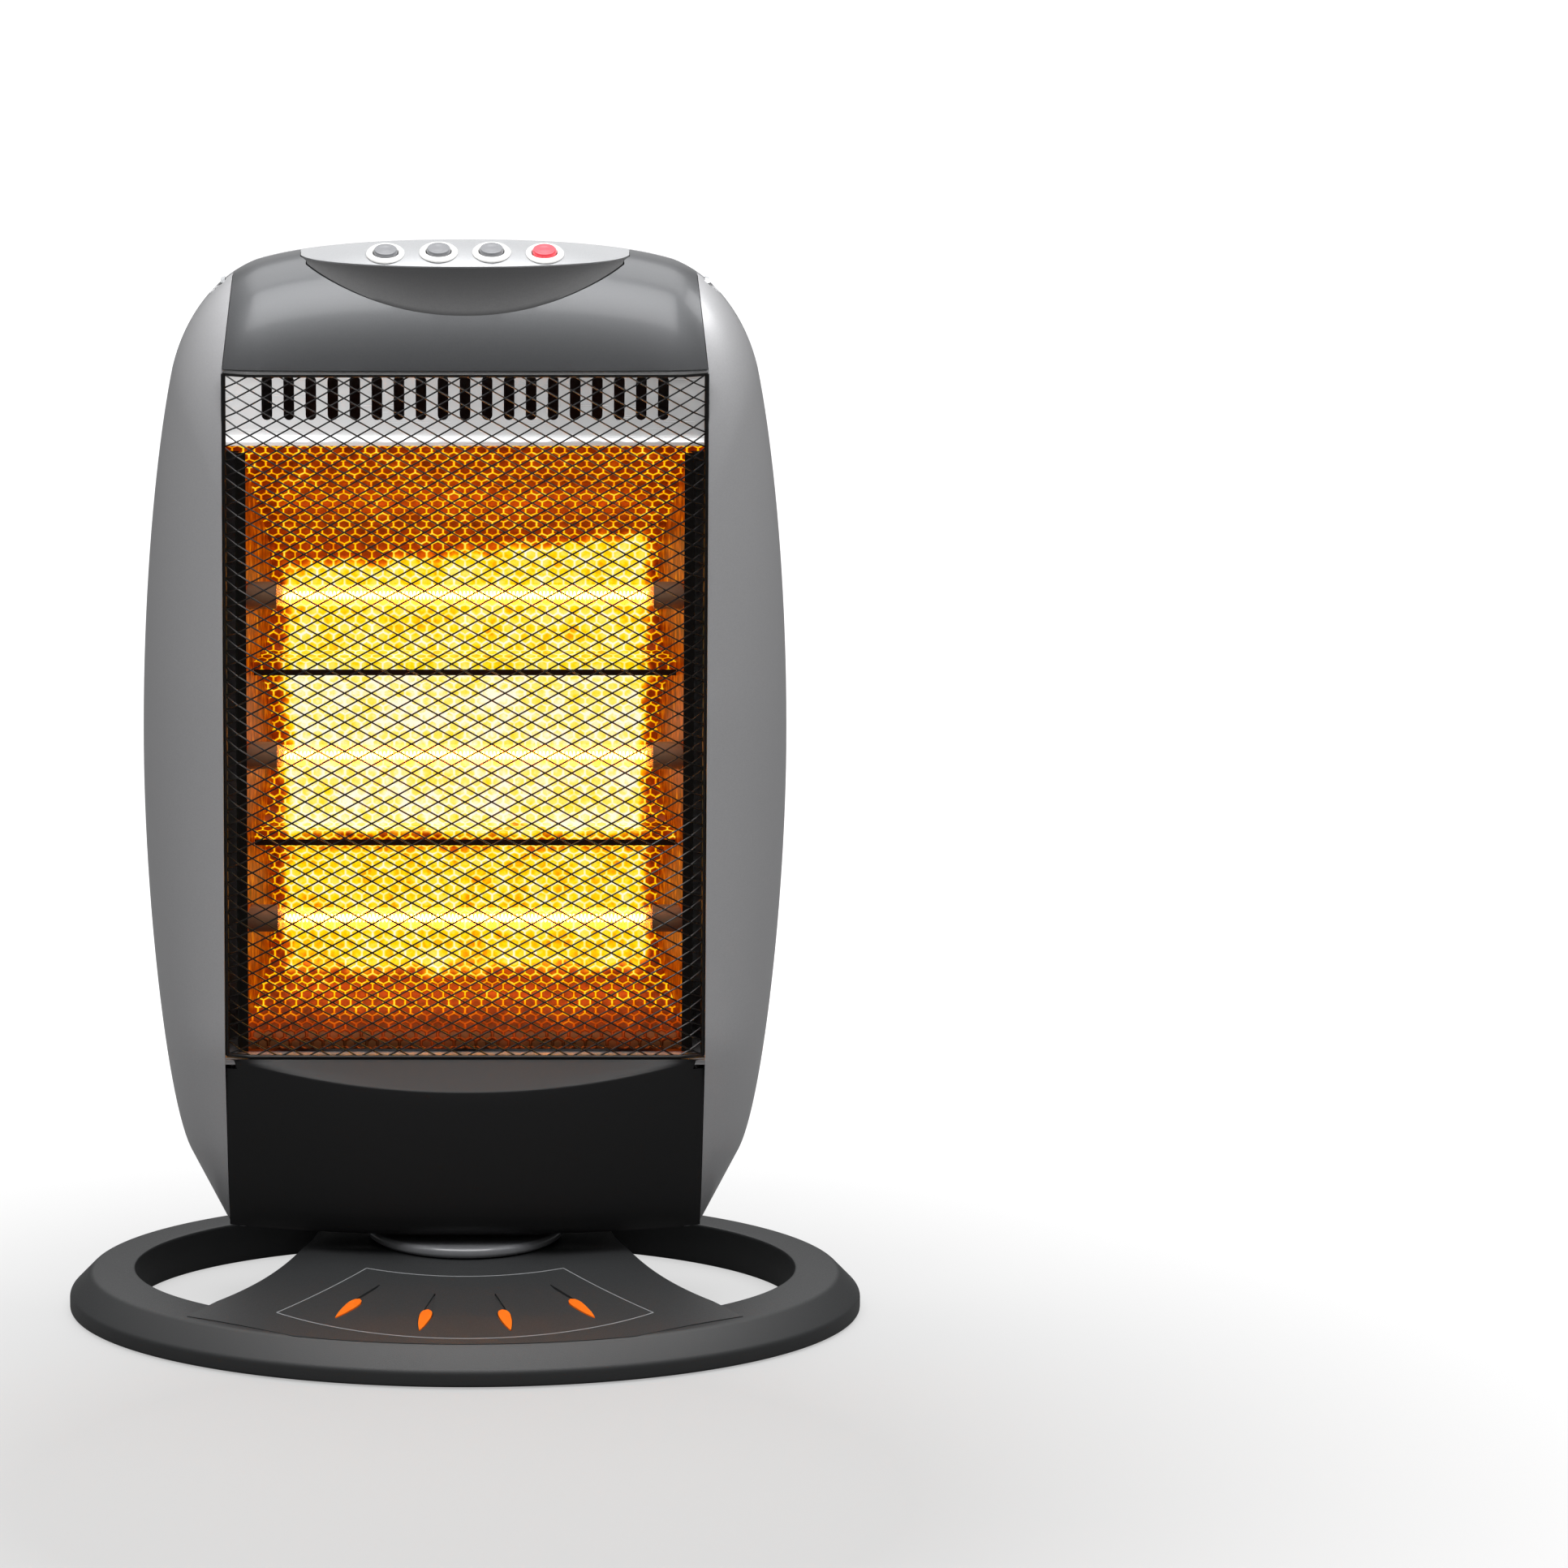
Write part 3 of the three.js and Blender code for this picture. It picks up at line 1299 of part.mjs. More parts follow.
function makeGrille() {
  const half = windowHalfWidth - touchGap;
  const [low, high] = [grilleBottomZ + touchGap, grilleTopZ - touchGap];
  const field = [half - grilleBorder, low + grilleBorder, high - grilleBorder];
  const [rx, rz] = [netPitchX / 2, netPitchZ / 2];
  const shrink = 1 - (wireWidth / 2) * Math.hypot(1 / rx, 1 / rz);
  const rows = Math.ceil((high - low) / rz / 2) + 1;
  const columns = Math.ceil(half / rx) + 1;
  const gaps = [];
  const middle = (low + high) / 2;
  for (let row = -rows; row <= rows; row++) {
    for (let column = -columns; column <= columns; column++) {
      if ((row + column) % 2 !== 0) {
        continue;
      }
      const [x, z] = [column * rx, middle + row * rz];
      const diamond = [
        [x - rx * shrink, z], [x, z - rz * shrink], [x + rx * shrink, z], [x, z + rz * shrink],
      ];
      const gap = clipToField(diamond, ...field);
      if (gap.length > 2 && polygonArea(gap) > 12) {
        gaps.push(outline(gap));
      }
    }
  }
  console.log(`grille gaps: ${gaps.length}`);
  const sheet = box(-half, half, 0, wireThickness, low, high);
  const geometry = geometryOf(sheet.subtract(push(gaps, -1, wireThickness + 1)));
  const position = geometry.attributes.position;
  for (let i = 0; i < position.count; i++) {
    const [x, y, z] = [position.getX(i), position.getY(i), position.getZ(i)];
    position.setY(i, y + netDepth(x, z));
  }
  return solid(geometry);
}

// Reflector, brackets and lamps -------------------------------------------------------------

// A bent sheet: the profile (y, z) thickened on its rear side.
function sheetOutline(points, thickness) {
  const rear = points.map((p, i) => {
    const before = points[Math.max(0, i - 1)];
    const after = points[Math.min(points.length - 1, i + 1)];
    const length = Math.hypot(after[0] - before[0], after[1] - before[1]);
    const normal = [-(after[1] - before[1]) / length, (after[0] - before[0]) / length];
    return [p[0] + normal[0] * thickness, p[1] + normal[1] * thickness];
  });
  return outline([...points, ...rear.reverse()]);
}

function bay(high, low, frontHigh, frontLow) {
  const points = [];
  const steps = 6;
  for (let i = 1; i < steps; i++) {
    const t = i / steps;
    const hollow = Math.pow(Math.sin(Math.PI * t), 0.55);
    const front = frontHigh + (frontLow - frontHigh) * t;
    points.push([front + (troughBackY - front) * hollow, high + (low - high) * t]);
  }
  return points;
}

const reflectorFootZ = grilleBottomZ + touchGap;
const mirrorFootZ = grilleTopZ - mirrorHeight;
const troughTopZ = mirrorFootZ - lipHeight;
const ridgeUpperZ = grilleTopZ - ridgeUpperDown;
const ridgeLowerZ = grilleBottomZ + ridgeLowerUp;
const lampZ = [
  grilleTopZ - lampUpperDown, (ridgeUpperZ + ridgeLowerZ) / 2, grilleBottomZ + lampLowerUp,
];
const bracketTopZ = grilleTopZ - bracketTopDown;
const bracketFrontX = windowHalfWidth - bracketFrontMargin;
const bracketRearX = windowHalfWidth - bracketRearMargin;
const lampHalfSpan = windowHalfWidth - capMargin;
const reflectorProfile = [
  [mirrorTopY, grilleTopZ - ledgeThickness - touchGap],
  [mirrorFootY, mirrorFootZ],
  [mirrorFootY - 4, mirrorFootZ - 2],
  [mirrorFootY - 3.5, mirrorFootZ - 4],
  [troughFrontY, troughTopZ],
  ...bay(troughTopZ, ridgeUpperZ, troughFrontY, ridgeY),
  [ridgeY, ridgeUpperZ],
  ...bay(ridgeUpperZ, ridgeLowerZ, ridgeY, ridgeY),
  [ridgeY, ridgeLowerZ],
  ...bay(ridgeLowerZ, reflectorFootZ + 4, ridgeY, troughFootY),
  [troughFootY, reflectorFootZ + sheetThickness],
];

// Plan line of a side bracket, from its fixing flange to its rear edge, for +X.
function bracketLine(offset) {
  return [
    [windowHalfWidth - touchGap, bracketFrontY + offset],
    [bracketFrontX - offset, bracketFrontY + offset],
    [bracketRearX - offset, bracketRearY],
  ];
}

function bracketPlan(side) {
  const front = bracketLine(0);
  const rear = [
    [windowHalfWidth - touchGap, bracketFrontY + bracketThickness],
    [bracketFrontX + bracketThickness, bracketFrontY + bracketThickness],
    [bracketRearX + bracketThickness, bracketRearY],
  ].reverse();
  return outline([...front, ...rear].map(([x, y]) => [side * x, y]));
}

function makeReflector() {
  const half = windowHalfWidth - touchGap;
  let body = draw(sheetOutline(reflectorProfile, sheetThickness), -half, half);
  for (const side of [-1, 1]) {
    const trim = outline([
      [bracketFrontX - touchGap, bracketFrontY - 20],
      [bracketFrontX - touchGap, bracketFrontY],
      [bracketRearX - touchGap, bracketRearY],
      [bracketRearX - touchGap, bracketRearY + 40],
      [half + 10, bracketRearY + 40],
      [half + 10, bracketFrontY - 20],
    ].map(([x, y]) => [side * x, y]));
    body = body.subtract(raise(trim, 0, bracketTopZ + touchGap));
  }
  const middle = grilleTopZ - slotTopDown - slotLength / 2;
  const length = slotLength;
  const slotPitch = (2 * (windowHalfWidth - slotMargin)) / (slotCount - 1);
  for (let i = 0; i < slotCount; i++) {
    const x = (i - (slotCount - 1) / 2) * slotPitch;
    const r = slotWidth / 2;
    const shape = new THREE.Shape();
    shape.moveTo(x + r, middle + length / 2 - r);
    shape.absarc(x, middle + length / 2 - r, r, 0, Math.PI, false);
    shape.absarc(x, middle - length / 2 + r, r, Math.PI, Math.PI * 2, false);
    body = body.subtract(push(shape, -40, 10, 2));
  }
  return body;
}

function makeBracket(side) {
  let body = raise(bracketPlan(side), reflectorFootZ + 2, bracketTopZ);
  const [x0, x1] = side > 0 ? [1, far] : [-far, -1];
  for (const z of lampZ) {
    body = body.subtract(bar('x', capRadius + touchGap, x0, x1, [lampY, z], 12));
  }
  return body;
}

function makeLamp(z) {
  const end = lampHalfSpan - capLength + capInset - touchGap;
  return bar('x', lampRadius, -end, end, [lampY, z], 12);
}

function makeCap(side, z) {
  const [inner, outer] = [lampHalfSpan - capLength, lampHalfSpan];
  const [x0, x1] = side > 0 ? [inner, outer] : [-outer, -inner];
  const [s0, s1] = side > 0 ? [inner - 1, inner + capInset] : [-inner - capInset, -inner + 1];
  return bar('x', capRadius, x0, x1, [lampY, z], 12)
    .subtract(bar('x', lampRadius + touchGap, s0, s1, [lampY, z], 12));
}

// A snap-disc cut-out on the back of the upper bay
function makeThermalCutout() {
  const y = troughBackY + sheetThickness + touchGap;
  const z = (troughTopZ + ridgeUpperZ) / 2;
  return bar('y', 8, y, y + 5, [0, z], 20)
    .add(bar('y', 5.5, y + 4, y + 9, [0, z], 16))
    .add(box(-12, 12, y, y + 1.2, z - 3, z + 3));
}

// ---------------------------------------------------------------------------------------
// Mains lead
// ---------------------------------------------------------------------------------------

const cordRadius = cordDiameter / 2;
const coilFloor = coilRest + cordRadius;
const coilUpper = coilFloor + coilLayerPitch;
const coilOuter = coilRadius + (coilTurns * coilPitch) / 4;
const coilInner = coilRadius - (coilTurns * coilPitch) / 4;
const coilCentreX = coilOuter;

// The coil's centre line: in along the floor, up over half a turn, and out again on top.
function coilPath() {
  const points = [[0, coilCentreY - cordDiameter, coilFloor]];
  const count = coilTurns * coilStepsPerTurn;
  for (let i = 0; i <= count; i++) {
    const turn = i / coilStepsPerTurn;
    const radius = coilInner + Math.abs(turn - coilTurns / 2) * coilPitch;
    const rise = THREE.MathUtils.clamp(2 * turn - coilTurns + 0.5, 0, 1);
    const smooth = rise * rise * (3 - 2 * rise);
    const angle = Math.PI - turn * Math.PI * 2;
    points.push([
      coilCentreX + radius * Math.cos(angle),
      coilCentreY + radius * Math.sin(angle),
      coilFloor + smooth * (coilUpper - coilFloor),
    ]);
  }
  points.push([0, coilCentreY + cordDiameter, coilUpper]);
  return points.map((p) => new THREE.Vector3(...p));
}

// A tube of flat-sided section along points, with square ends.
function tube(points, radius, sides) {
  const rings = points.map((p, i) => {
    const before = points[Math.max(0, i - 1)];
    const after = points[Math.min(points.length - 1, i + 1)];
    const along = after.clone().sub(before).normalize();
    const level = new THREE.Vector3(along.y, -along.x, 0).normalize();
    const up = new THREE.Vector3().crossVectors(level, along).normalize();
    const ring = [];
    for (let s = 0; s < sides; s++) {
      const angle = ((s + 0.5) / sides) * Math.PI * 2;
      ring.push(p.clone()
        .addScaledVector(level, radius * Math.cos(angle))
        .addScaledVector(up, radius * Math.sin(angle)).toArray());
    }
    return ring;
  });
  return loft(rings);
}

function leastCoilGap(points) {
  let least = Infinity;
  const skip = coilStepsPerTurn / 2;
  for (let i = 0; i < points.length; i++) {
    for (let j = i + skip; j < points.length - 1; j++) {
      const segment = new THREE.Line3(points[j], points[j + 1]);
      const nearest = segment.closestPointToPoint(points[i], true, new THREE.Vector3());
      least = Math.min(least, nearest.distanceTo(points[i]) - cordDiameter);
    }
  }
  return least;
}

function cordTube(route) {
  const curve = new THREE.CatmullRomCurve3(route.map((p) => new THREE.Vector3(...p)));
  const section = new THREE.Shape();
  section.absarc(0, 0, cordRadius, 0, Math.PI * 2, false);
  const steps = Math.max(3, Math.round(curve.getLength() / (2.2 * cordDiameter)));
  const geometry = new THREE.ExtrudeGeometry(section, {
    extrudePath: curve, steps, curveSegments: 5, bevelEnabled: false,
  });
  return solid(geometry);
}

const glandRearY = baseDepth / 2 - glandRearIn;
const cordStartY = glandRearY + touchGap;
const leadRoute = [
  [0, cordStartY, cordExitZ],
  [0, cordStartY + 7, cordExitZ],
  [0, cordStartY + 20, cordExitZ - 1.6],
  [0, coilCentreY - cordDiameter - 20, coilFloor + 0.7],
  [0, coilCentreY - cordDiameter - 8, coilFloor],
  [0, coilCentreY - cordDiameter - touchGap, coilFloor],
];
const tailStartY = coilCentreY + cordDiameter + touchGap;
const plugZ = plugThickness / 2;
const plugStartY = tailStartY + tailLength + touchGap;
const tailRoute = [
  [0, tailStartY, coilUpper],
  [0, tailStartY + 6, coilUpper - 0.2],
  [0, tailStartY + tailLength - 6, plugZ + 0.2],
  [0, tailStartY + tailLength, plugZ],
];

function makeGland() {
  const rear = glandRearY;
  const front = rear - glandLength;
  const half = glandWidth / 2;
  const shape = new THREE.Shape();
  shape.moveTo(-half, glandBottomZ);
  shape.lineTo(half, glandBottomZ);
  shape.lineTo(half, glandTopZ - 3);
  shape.quadraticCurveTo(half, glandTopZ, half - 3, glandTopZ);
  shape.lineTo(-half + 3, glandTopZ);
  shape.quadraticCurveTo(-half, glandTopZ, -half, glandTopZ - 3);
  const block = push(shape, front, rear, 4);
  const spread = box(
    -half - 2.5, half + 2.5, rear - 15, rear - 12, glandBottomZ, glandTopZ - 1.5,
  ).intersect(ringForm(baseWall + touchGap, 0));
  return block.intersect(ringForm(-2.4, 0)).add(spread);
}

function makeTie() {
  const gap = 0.25;
  const inner = coilInner - cordRadius - gap;
  const outer = coilOuter + cordRadius + gap;
  const top = coilUpper + cordRadius + gap;
  const bottom = coilRest - gap;
  const [x0, x1] = [coilCentreX + inner, coilCentreX + outer];
  const band = box(
    x0 - tieThickness, x1 + tieThickness, coilCentreY - tieWidth / 2, coilCentreY + tieWidth / 2,
    bottom - tieThickness, top + tieThickness,
  );
  return band.subtract(box(x0, x1, coilCentreY - tieWidth, coilCentreY + tieWidth, bottom, top));
}

// A flat contoured two-pin plug lying on the floor, its pins pointing away from the coil.
function makePlug() {
  const y0 = plugStartY;
  const nose = y0 + plugLength;
  const plan = new THREE.Shape();
  plan.moveTo(-plugNeckRadius, y0);
  plan.lineTo(plugNeckRadius, y0);
  plan.bezierCurveTo(
    plugNeckRadius + 1, y0 + 12, plugWidth / 2, y0 + 12, plugWidth / 2, y0 + 22,
  );
  plan.lineTo(plugWidth / 2 - 1, nose);
  plan.lineTo(-plugWidth / 2 + 1, nose);
  plan.lineTo(-plugWidth / 2, y0 + 22);
  plan.bezierCurveTo(
    -plugWidth / 2, y0 + 12, -plugNeckRadius - 1, y0 + 12, -plugNeckRadius, y0,
  );
  const side = new THREE.Shape();
  const lift = plugThickness / 2 - plugNeckRadius;
  side.moveTo(y0, lift);
  side.lineTo(y0 + 14, 0);
  side.lineTo(nose, 0);
  side.lineTo(nose, plugThickness);
  side.lineTo(y0 + 14, plugThickness);
  side.lineTo(y0, plugThickness - lift);
  let body = raise(plan, 0, plugThickness, 6).intersect(draw(side, -plugWidth, plugWidth));
  for (const x of [-plugPinPitch / 2, plugPinPitch / 2]) {
    body = body.add(bar('y', plugPinRadius, nose - 3, nose + plugPinLength, [x, plugZ], 12));
  }
  return body;
}

// ---------------------------------------------------------------------------------------
// Assembly
// ---------------------------------------------------------------------------------------

const heater = new THREE.Group();
heater.name = 'halogen_heater';
const baseGroup = new THREE.Group();
const headGroup = new THREE.Group();
heater.add(baseGroup, headGroup);

function addPiece(group, name, body, material) {
  const mesh = new THREE.Mesh(geometryOf(body), material);
  mesh.name = name;
  group.add(mesh);
}

addPiece(baseGroup, 'base_moulding', makeBase(), charcoalPlastic);
addPiece(baseGroup, 'base_plate', makeBasePlate(), charcoalPlastic);
footPlaces.forEach((place, i) => {
  addPiece(baseGroup, `rubber_foot_${i + 1}`, bar('z', footRadius, 0, footHeight, place, 16), rubber);
});
insertAngles.forEach((degrees, i) => {
  const drop = dropBody(degrees, 0, -insertDepth, insertProud);
  addPiece(baseGroup, `accent_drop_${i + 1}`, drop, orangeLens);
});
addPiece(baseGroup, 'swing_motor', makeMotor(), galvanised);
addPiece(baseGroup, 'motor_crank', makeCrank(), whitePlastic);
addPiece(baseGroup, 'tilt_switch', makeTiltSwitch(), blackPlastic);
addPiece(baseGroup, 'cord_gland', makeGland(), cordRubber);
addPiece(baseGroup, 'supply_cord', cordTube(leadRoute), cordRubber);
const coilPoints = coilPath();
console.log(`least gap in the coil: ${leastCoilGap(coilPoints).toFixed(2)} mm`);
addPiece(baseGroup, 'cord_coil', tube(coilPoints, cordRadius, coilSides), cordRubber);
addPiece(baseGroup, 'cord_tail', cordTube(tailRoute), cordRubber);
addPiece(baseGroup, 'cord_tie', makeTie(), blackPlastic);
addPiece(baseGroup, 'plug', makePlug(), cordRubber);

addPiece(headGroup, 'swivel_disc', makeSwivelDisc(), greyPlastic);
addPiece(headGroup, 'swing_yoke', makeYoke(), galvanised);
addPiece(headGroup, 'front_shell', makeFrontShell(), silverPaint);
addPiece(headGroup, 'rear_shell', makeRearShell(), silverPaint);
addPiece(headGroup, 'top_panel', makeTopPanel(), gunmetalPaint);
addPiece(headGroup, 'control_panel', makeControlPanel(), paleSilver);
addPiece(headGroup, 'control_crescent', makeCrescent(), darkGrey);
addPiece(headGroup, 'bottom_panel', makeBottomPanel(), blackPlastic);
addPiece(headGroup, 'grille', makeGrille(), blackWire);
addPiece(headGroup, 'reflector', makeReflector(), polishedSheet);
addPiece(headGroup, 'lamp_bracket_left', makeBracket(-1), galvanised);
addPiece(headGroup, 'lamp_bracket_right', makeBracket(1), galvanised);
lampZ.forEach((z, i) => {
  addPiece(headGroup, `lamp_tube_${i + 1}`, makeLamp(z), glowingQuartz);
  addPiece(headGroup, `lamp_cap_left_${i + 1}`, makeCap(-1, z), ceramic);
  addPiece(headGroup, `lamp_cap_right_${i + 1}`, makeCap(1, z), ceramic);
});
addPiece(headGroup, 'thermal_cutout', makeThermalCutout(), galvanised);
addPiece(headGroup, 'switch_block', makeSwitchBlock(), whitePlastic);
addPiece(headGroup, 'rear_panel', makeRearPanel(), blackPlastic);
rearPlaces.forEach(([x, z], i) => {
  const seat = [x, rearPanelY + rearFlangeThickness + touchGap / 2, z];
  addPiece(headGroup, `rear_screw_${i + 1}`, makeScrew(seat, [0, -1, 0]), chrome);
});
[-1, 1].forEach((side, i) => {
  const seat = [side * (seamHoleFloorX + touchGap), seamY, seamScrewZ];
  addPiece(headGroup, `seam_screw_${i + 1}`, makeScrew(seat, [-side, 0, 0]), chrome);
});
for (let i = 0; i < buttonCount; i++) {
  addPiece(headGroup, `button_collar_${i + 1}`, makeCollar(i), whitePlastic);
  const material = i === buttonCount - 1 ? redPlastic : greyPlastic;
  addPiece(headGroup, `button_${i + 1}`, makeButton(i), material);
}

export default heater;
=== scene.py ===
import math

import bmesh
import bpy
from mathutils import Matrix, Vector


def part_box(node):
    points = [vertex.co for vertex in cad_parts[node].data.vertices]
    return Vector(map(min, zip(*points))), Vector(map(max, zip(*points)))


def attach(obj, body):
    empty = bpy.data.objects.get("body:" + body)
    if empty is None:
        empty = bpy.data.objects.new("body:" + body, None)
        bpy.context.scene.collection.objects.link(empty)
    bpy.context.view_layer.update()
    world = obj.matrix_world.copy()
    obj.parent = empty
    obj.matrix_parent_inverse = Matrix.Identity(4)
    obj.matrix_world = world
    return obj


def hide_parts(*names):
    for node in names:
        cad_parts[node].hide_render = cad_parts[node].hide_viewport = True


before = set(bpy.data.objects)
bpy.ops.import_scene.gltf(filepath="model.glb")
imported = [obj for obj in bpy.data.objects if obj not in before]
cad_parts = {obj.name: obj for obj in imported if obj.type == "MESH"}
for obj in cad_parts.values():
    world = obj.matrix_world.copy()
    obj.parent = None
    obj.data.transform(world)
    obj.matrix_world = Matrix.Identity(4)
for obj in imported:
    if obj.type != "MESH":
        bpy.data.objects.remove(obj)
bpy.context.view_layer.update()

bl_info = {
    "name": "Halogen heater",
    "version": (1, 0, 0),
    "blender": (4, 5, 0),
    "location": "View3D > Sidebar > Heater",
    "description": "Builds a halogen room heater with its finishes, lights and camera",
    "category": "Object",
}


# ----------------------------------------------------------------------------
# Units and colours
# ----------------------------------------------------------------------------

def mm(value):
    """Millimetres as metres."""
    return value * 0.001


def linear(code):
    """An sRGB hex colour as linear red, green, blue and alpha."""
    parts = [int(code[i:i + 2], 16) / 255 for i in (1, 3, 5)]
    return tuple(
        p / 12.92 if p <= 0.04045 else ((p + 0.055) / 1.055) ** 2.4 for p in parts
    ) + (1.0,)


def length_property(name, description, default):
    return bpy.props.FloatProperty(
        name=name, description=description, default=default, unit="LENGTH", precision=4,
    )


def colour_property(name, description, code):
    return bpy.props.FloatVectorProperty(
        name=name, description=description, default=linear(code), size=4,
        subtype="COLOR", min=0.0, max=1.0,
    )


HEAD_LOW, HEAD_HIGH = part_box("front_shell")
RING_LOW, RING_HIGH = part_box("base_moulding")
DISC_LOW, DISC_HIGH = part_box("swivel_disc")


class HeaterSizes(bpy.types.PropertyGroup):
    """Sizes that a user would change"""
    head_half_width: length_property(
        "Head half width", "From the middle to the widest point of the head", HEAD_HIGH[0])
    head_top: length_property("Head top", "Height of the crown", mm(516.6))
    head_bottom: length_property("Head bottom", "Height of the head's floor", HEAD_LOW[2])
    front_y: length_property("Front face", "Depth of the front face", mm(-36.2))
    rear_y: length_property("Rear face", "Depth of the rear face", mm(54.2))
    shell_wall: length_property("Shell wall", "Thickness of the mouldings", mm(2.6))
    cheek_width: length_property("Cheek width", "Silver cheek beside the opening", mm(39.1))
    net_pitch_x: length_property("Net pitch across", "Width of one diamond", mm(12.56))
    net_pitch_z: length_property("Net pitch up", "Height of one diamond", mm(6.97))
    net_wire: length_property("Net wire", "Thickness of the wire", mm(0.8))
    cell: length_property("Reflector cell", "Width of one embossed hexagon", mm(5.2))
    lit_length: length_property("Lit length", "Glowing length of a lamp", mm(172))
    ring_edge: length_property("Ring edge radius", "Rounding of the base's edges", mm(1.6))
    drop_tail: length_property("Drop tail", "Dark groove behind each drop", mm(17))
    cord_diameter: length_property("Cord diameter", "Thickness of the mains lead", mm(6))


class HeaterColours(bpy.types.PropertyGroup):
    """Colours that a user would change"""
    silver: colour_property("Silver", "Lacquer on the cheeks and the rear", "#B8B8BA")
    gunmetal: colour_property("Gunmetal", "Lacquer on the top panel", "#545557")
    pale_silver: colour_property("Pale silver", "Lacquer on the control panel", "#ABACAE")
    crescent: colour_property("Crescent", "Matte strip below the controls", "#29292A")
    black: colour_property("Black", "Satin bottom panel", "#19191A")
    charcoal: colour_property("Charcoal", "Textured base", "#2A2B2C")
    white: colour_property("White", "Button collars", "#E6E6E4")
    grey: colour_property("Grey", "Buttons and swivel disc", "#7A7B7E")
    red: colour_property("Red", "Fourth button", "#F04C58")
    orange: colour_property("Orange", "Accent drops", "#FF7A1E")
    glow: colour_property("Glow", "Light of the lamps", "#FF9533")


def sizes():
    return bpy.context.scene.heater_sizes


def colours():
    return bpy.context.scene.heater_colours


# ----------------------------------------------------------------------------
# Meshes
# ----------------------------------------------------------------------------

MERGE = mm(0.002)


def placed(name, data):
    """A new object in the scene."""
    body = bpy.data.objects.new(name, data)
    bpy.context.scene.collection.objects.link(body)
    return body


def mesh_object(name, points, faces):
    """A mesh from points in metres, with its faces turned outwards."""
    mesh = bpy.data.meshes.new(name)
    mesh.from_pydata([tuple(p) for p in points], [], faces)
    body = placed(name, mesh)
    turn_outwards(body)
    return body


def turn_outwards(body, merge=MERGE):
    """Merges a mesh's double points and turns its faces outwards."""
    shape = bmesh.new()
    shape.from_mesh(body.data)
    bmesh.ops.remove_doubles(shape, verts=shape.verts, dist=merge)
    bmesh.ops.recalc_face_normals(shape, faces=shape.faces)
    shape.to_mesh(body.data)
    shape.free()


def angles(count):
    """Even angles all round."""
    return [2 * math.pi * i / count for i in range(count)]


def ladder(start, count):
    """Strips from side to side of a ring that is the same left and right."""
    strips = []
    for i in range(count // 2):
        corners = [i, i + 1, (count - i - 1) % count, (count - i) % count]
        strips.append(tuple(start + c for c in dict.fromkeys(corners)))
    return strips


def loft(name, rings, joined=False, laddered=False):
    """Joins closed rings of points into one body. The rings close up in a circle, or each
    end has one flat cap or a ladder of strips."""
    count = len(rings[0])
    faces = []
    for r in range(len(rings) if joined else len(rings) - 1):
        a, b = r * count, ((r + 1) % len(rings)) * count
        for i in range(count):
            j = (i + 1) % count
            faces.append((a + i, a + j, b + j, b + i))
    if not joined:
        for start in (0, (len(rings) - 1) * count):
            faces += ladder(start, count) if laddered else [tuple(range(start, start + count))]
    return mesh_object(name, [p for ring in rings for p in ring], faces)


def block(name, low, high):
    x, y, z = zip(low, high)
    ring = [(x[0], y[0]), (x[1], y[0]), (x[1], y[1]), (x[0], y[1])]
    return loft(name, [[(a, b, level) for a, b in ring] for level in z])


def pushed(name, outline, y0, y1):
    """A front-view outline (x, z) drawn from front to back."""
    return loft(name, [[(x, y, z) for x, z in outline] for y in (y0, y1)])


def raised(name, outline, z0, z1):
    """A plan outline (x, y) drawn upwards."""
    return loft(name, [[(x, y, z) for x, y in outline] for z in (z0, z1)])


def turned(name, profile, steps=64):
    """A closed profile (radius, height) turned about the vertical axis."""
    return loft(name, [
        [(r * math.cos(a), r * math.sin(a), z) for r, z in profile] for a in angles(steps)
    ], joined=True)


def bar(name, points, radius, sides=8):
    """A round bar along points."""
    rings = []
    for i, point in enumerate(points):
        before, after = points[max(0, i - 1)], points[min(len(points) - 1, i + 1)]
        turn = (Vector(after) - Vector(before)).to_track_quat("Z", "Y").to_matrix()
        rings.append([
            Vector(point) + turn @ Vector((radius * math.cos(a), radius * math.sin(a), 0))
            for a in angles(sides)
        ])
    return loft(name, rings)


def plain_mesh(body):
    """Turns a body's live modifiers into a plain mesh."""
    graph = bpy.context.evaluated_depsgraph_get()
    mesh = bpy.data.meshes.new_from_object(body.evaluated_get(graph))
    old = body.data
    body.modifiers.clear()
    body.data = mesh
    bpy.data.meshes.remove(old)
    return body


def cut(body, *tools, operation="DIFFERENCE"):
    """Takes tools away from a body, one after the other, and uses them up."""
    for tool in tools:
        modifier = body.modifiers.new("Cut", "BOOLEAN")
        modifier.operation = operation
        modifier.solver = "MANIFOLD"
        modifier.object = tool
        plain_mesh(body)
        bpy.data.objects.remove(tool)
        if not body.data.polygons:
            raise RuntimeError(body.name + ": nothing is left after a cut")
    return body


def shared(body, *tools):
    """What a body has in common with every tool."""
    return cut(body, *tools, operation="INTERSECT")


def fused(body, *tools):
    """A body and its tools as one."""
    return cut(body, *tools, operation="UNION")


def joined_as_one(name, bodies):
    """One object from several, with their meshes side by side."""
    shape = bmesh.new()
    for body in bodies:
        shape.from_mesh(body.data)
        bpy.data.objects.remove(body)
    mesh = bpy.data.meshes.new(name)
    shape.to_mesh(mesh)
    shape.free()
    return placed(name, mesh)


def bezier(points, count):
    """Points on a Bezier curve, without its last one."""
    result = []
    for i in range(count):
        level = [Vector(p) for p in points]
        while len(level) > 1:
            level = [a.lerp(b, i / count) for a, b in zip(level, level[1:])]
        result.append(tuple(level[0]))
    return result


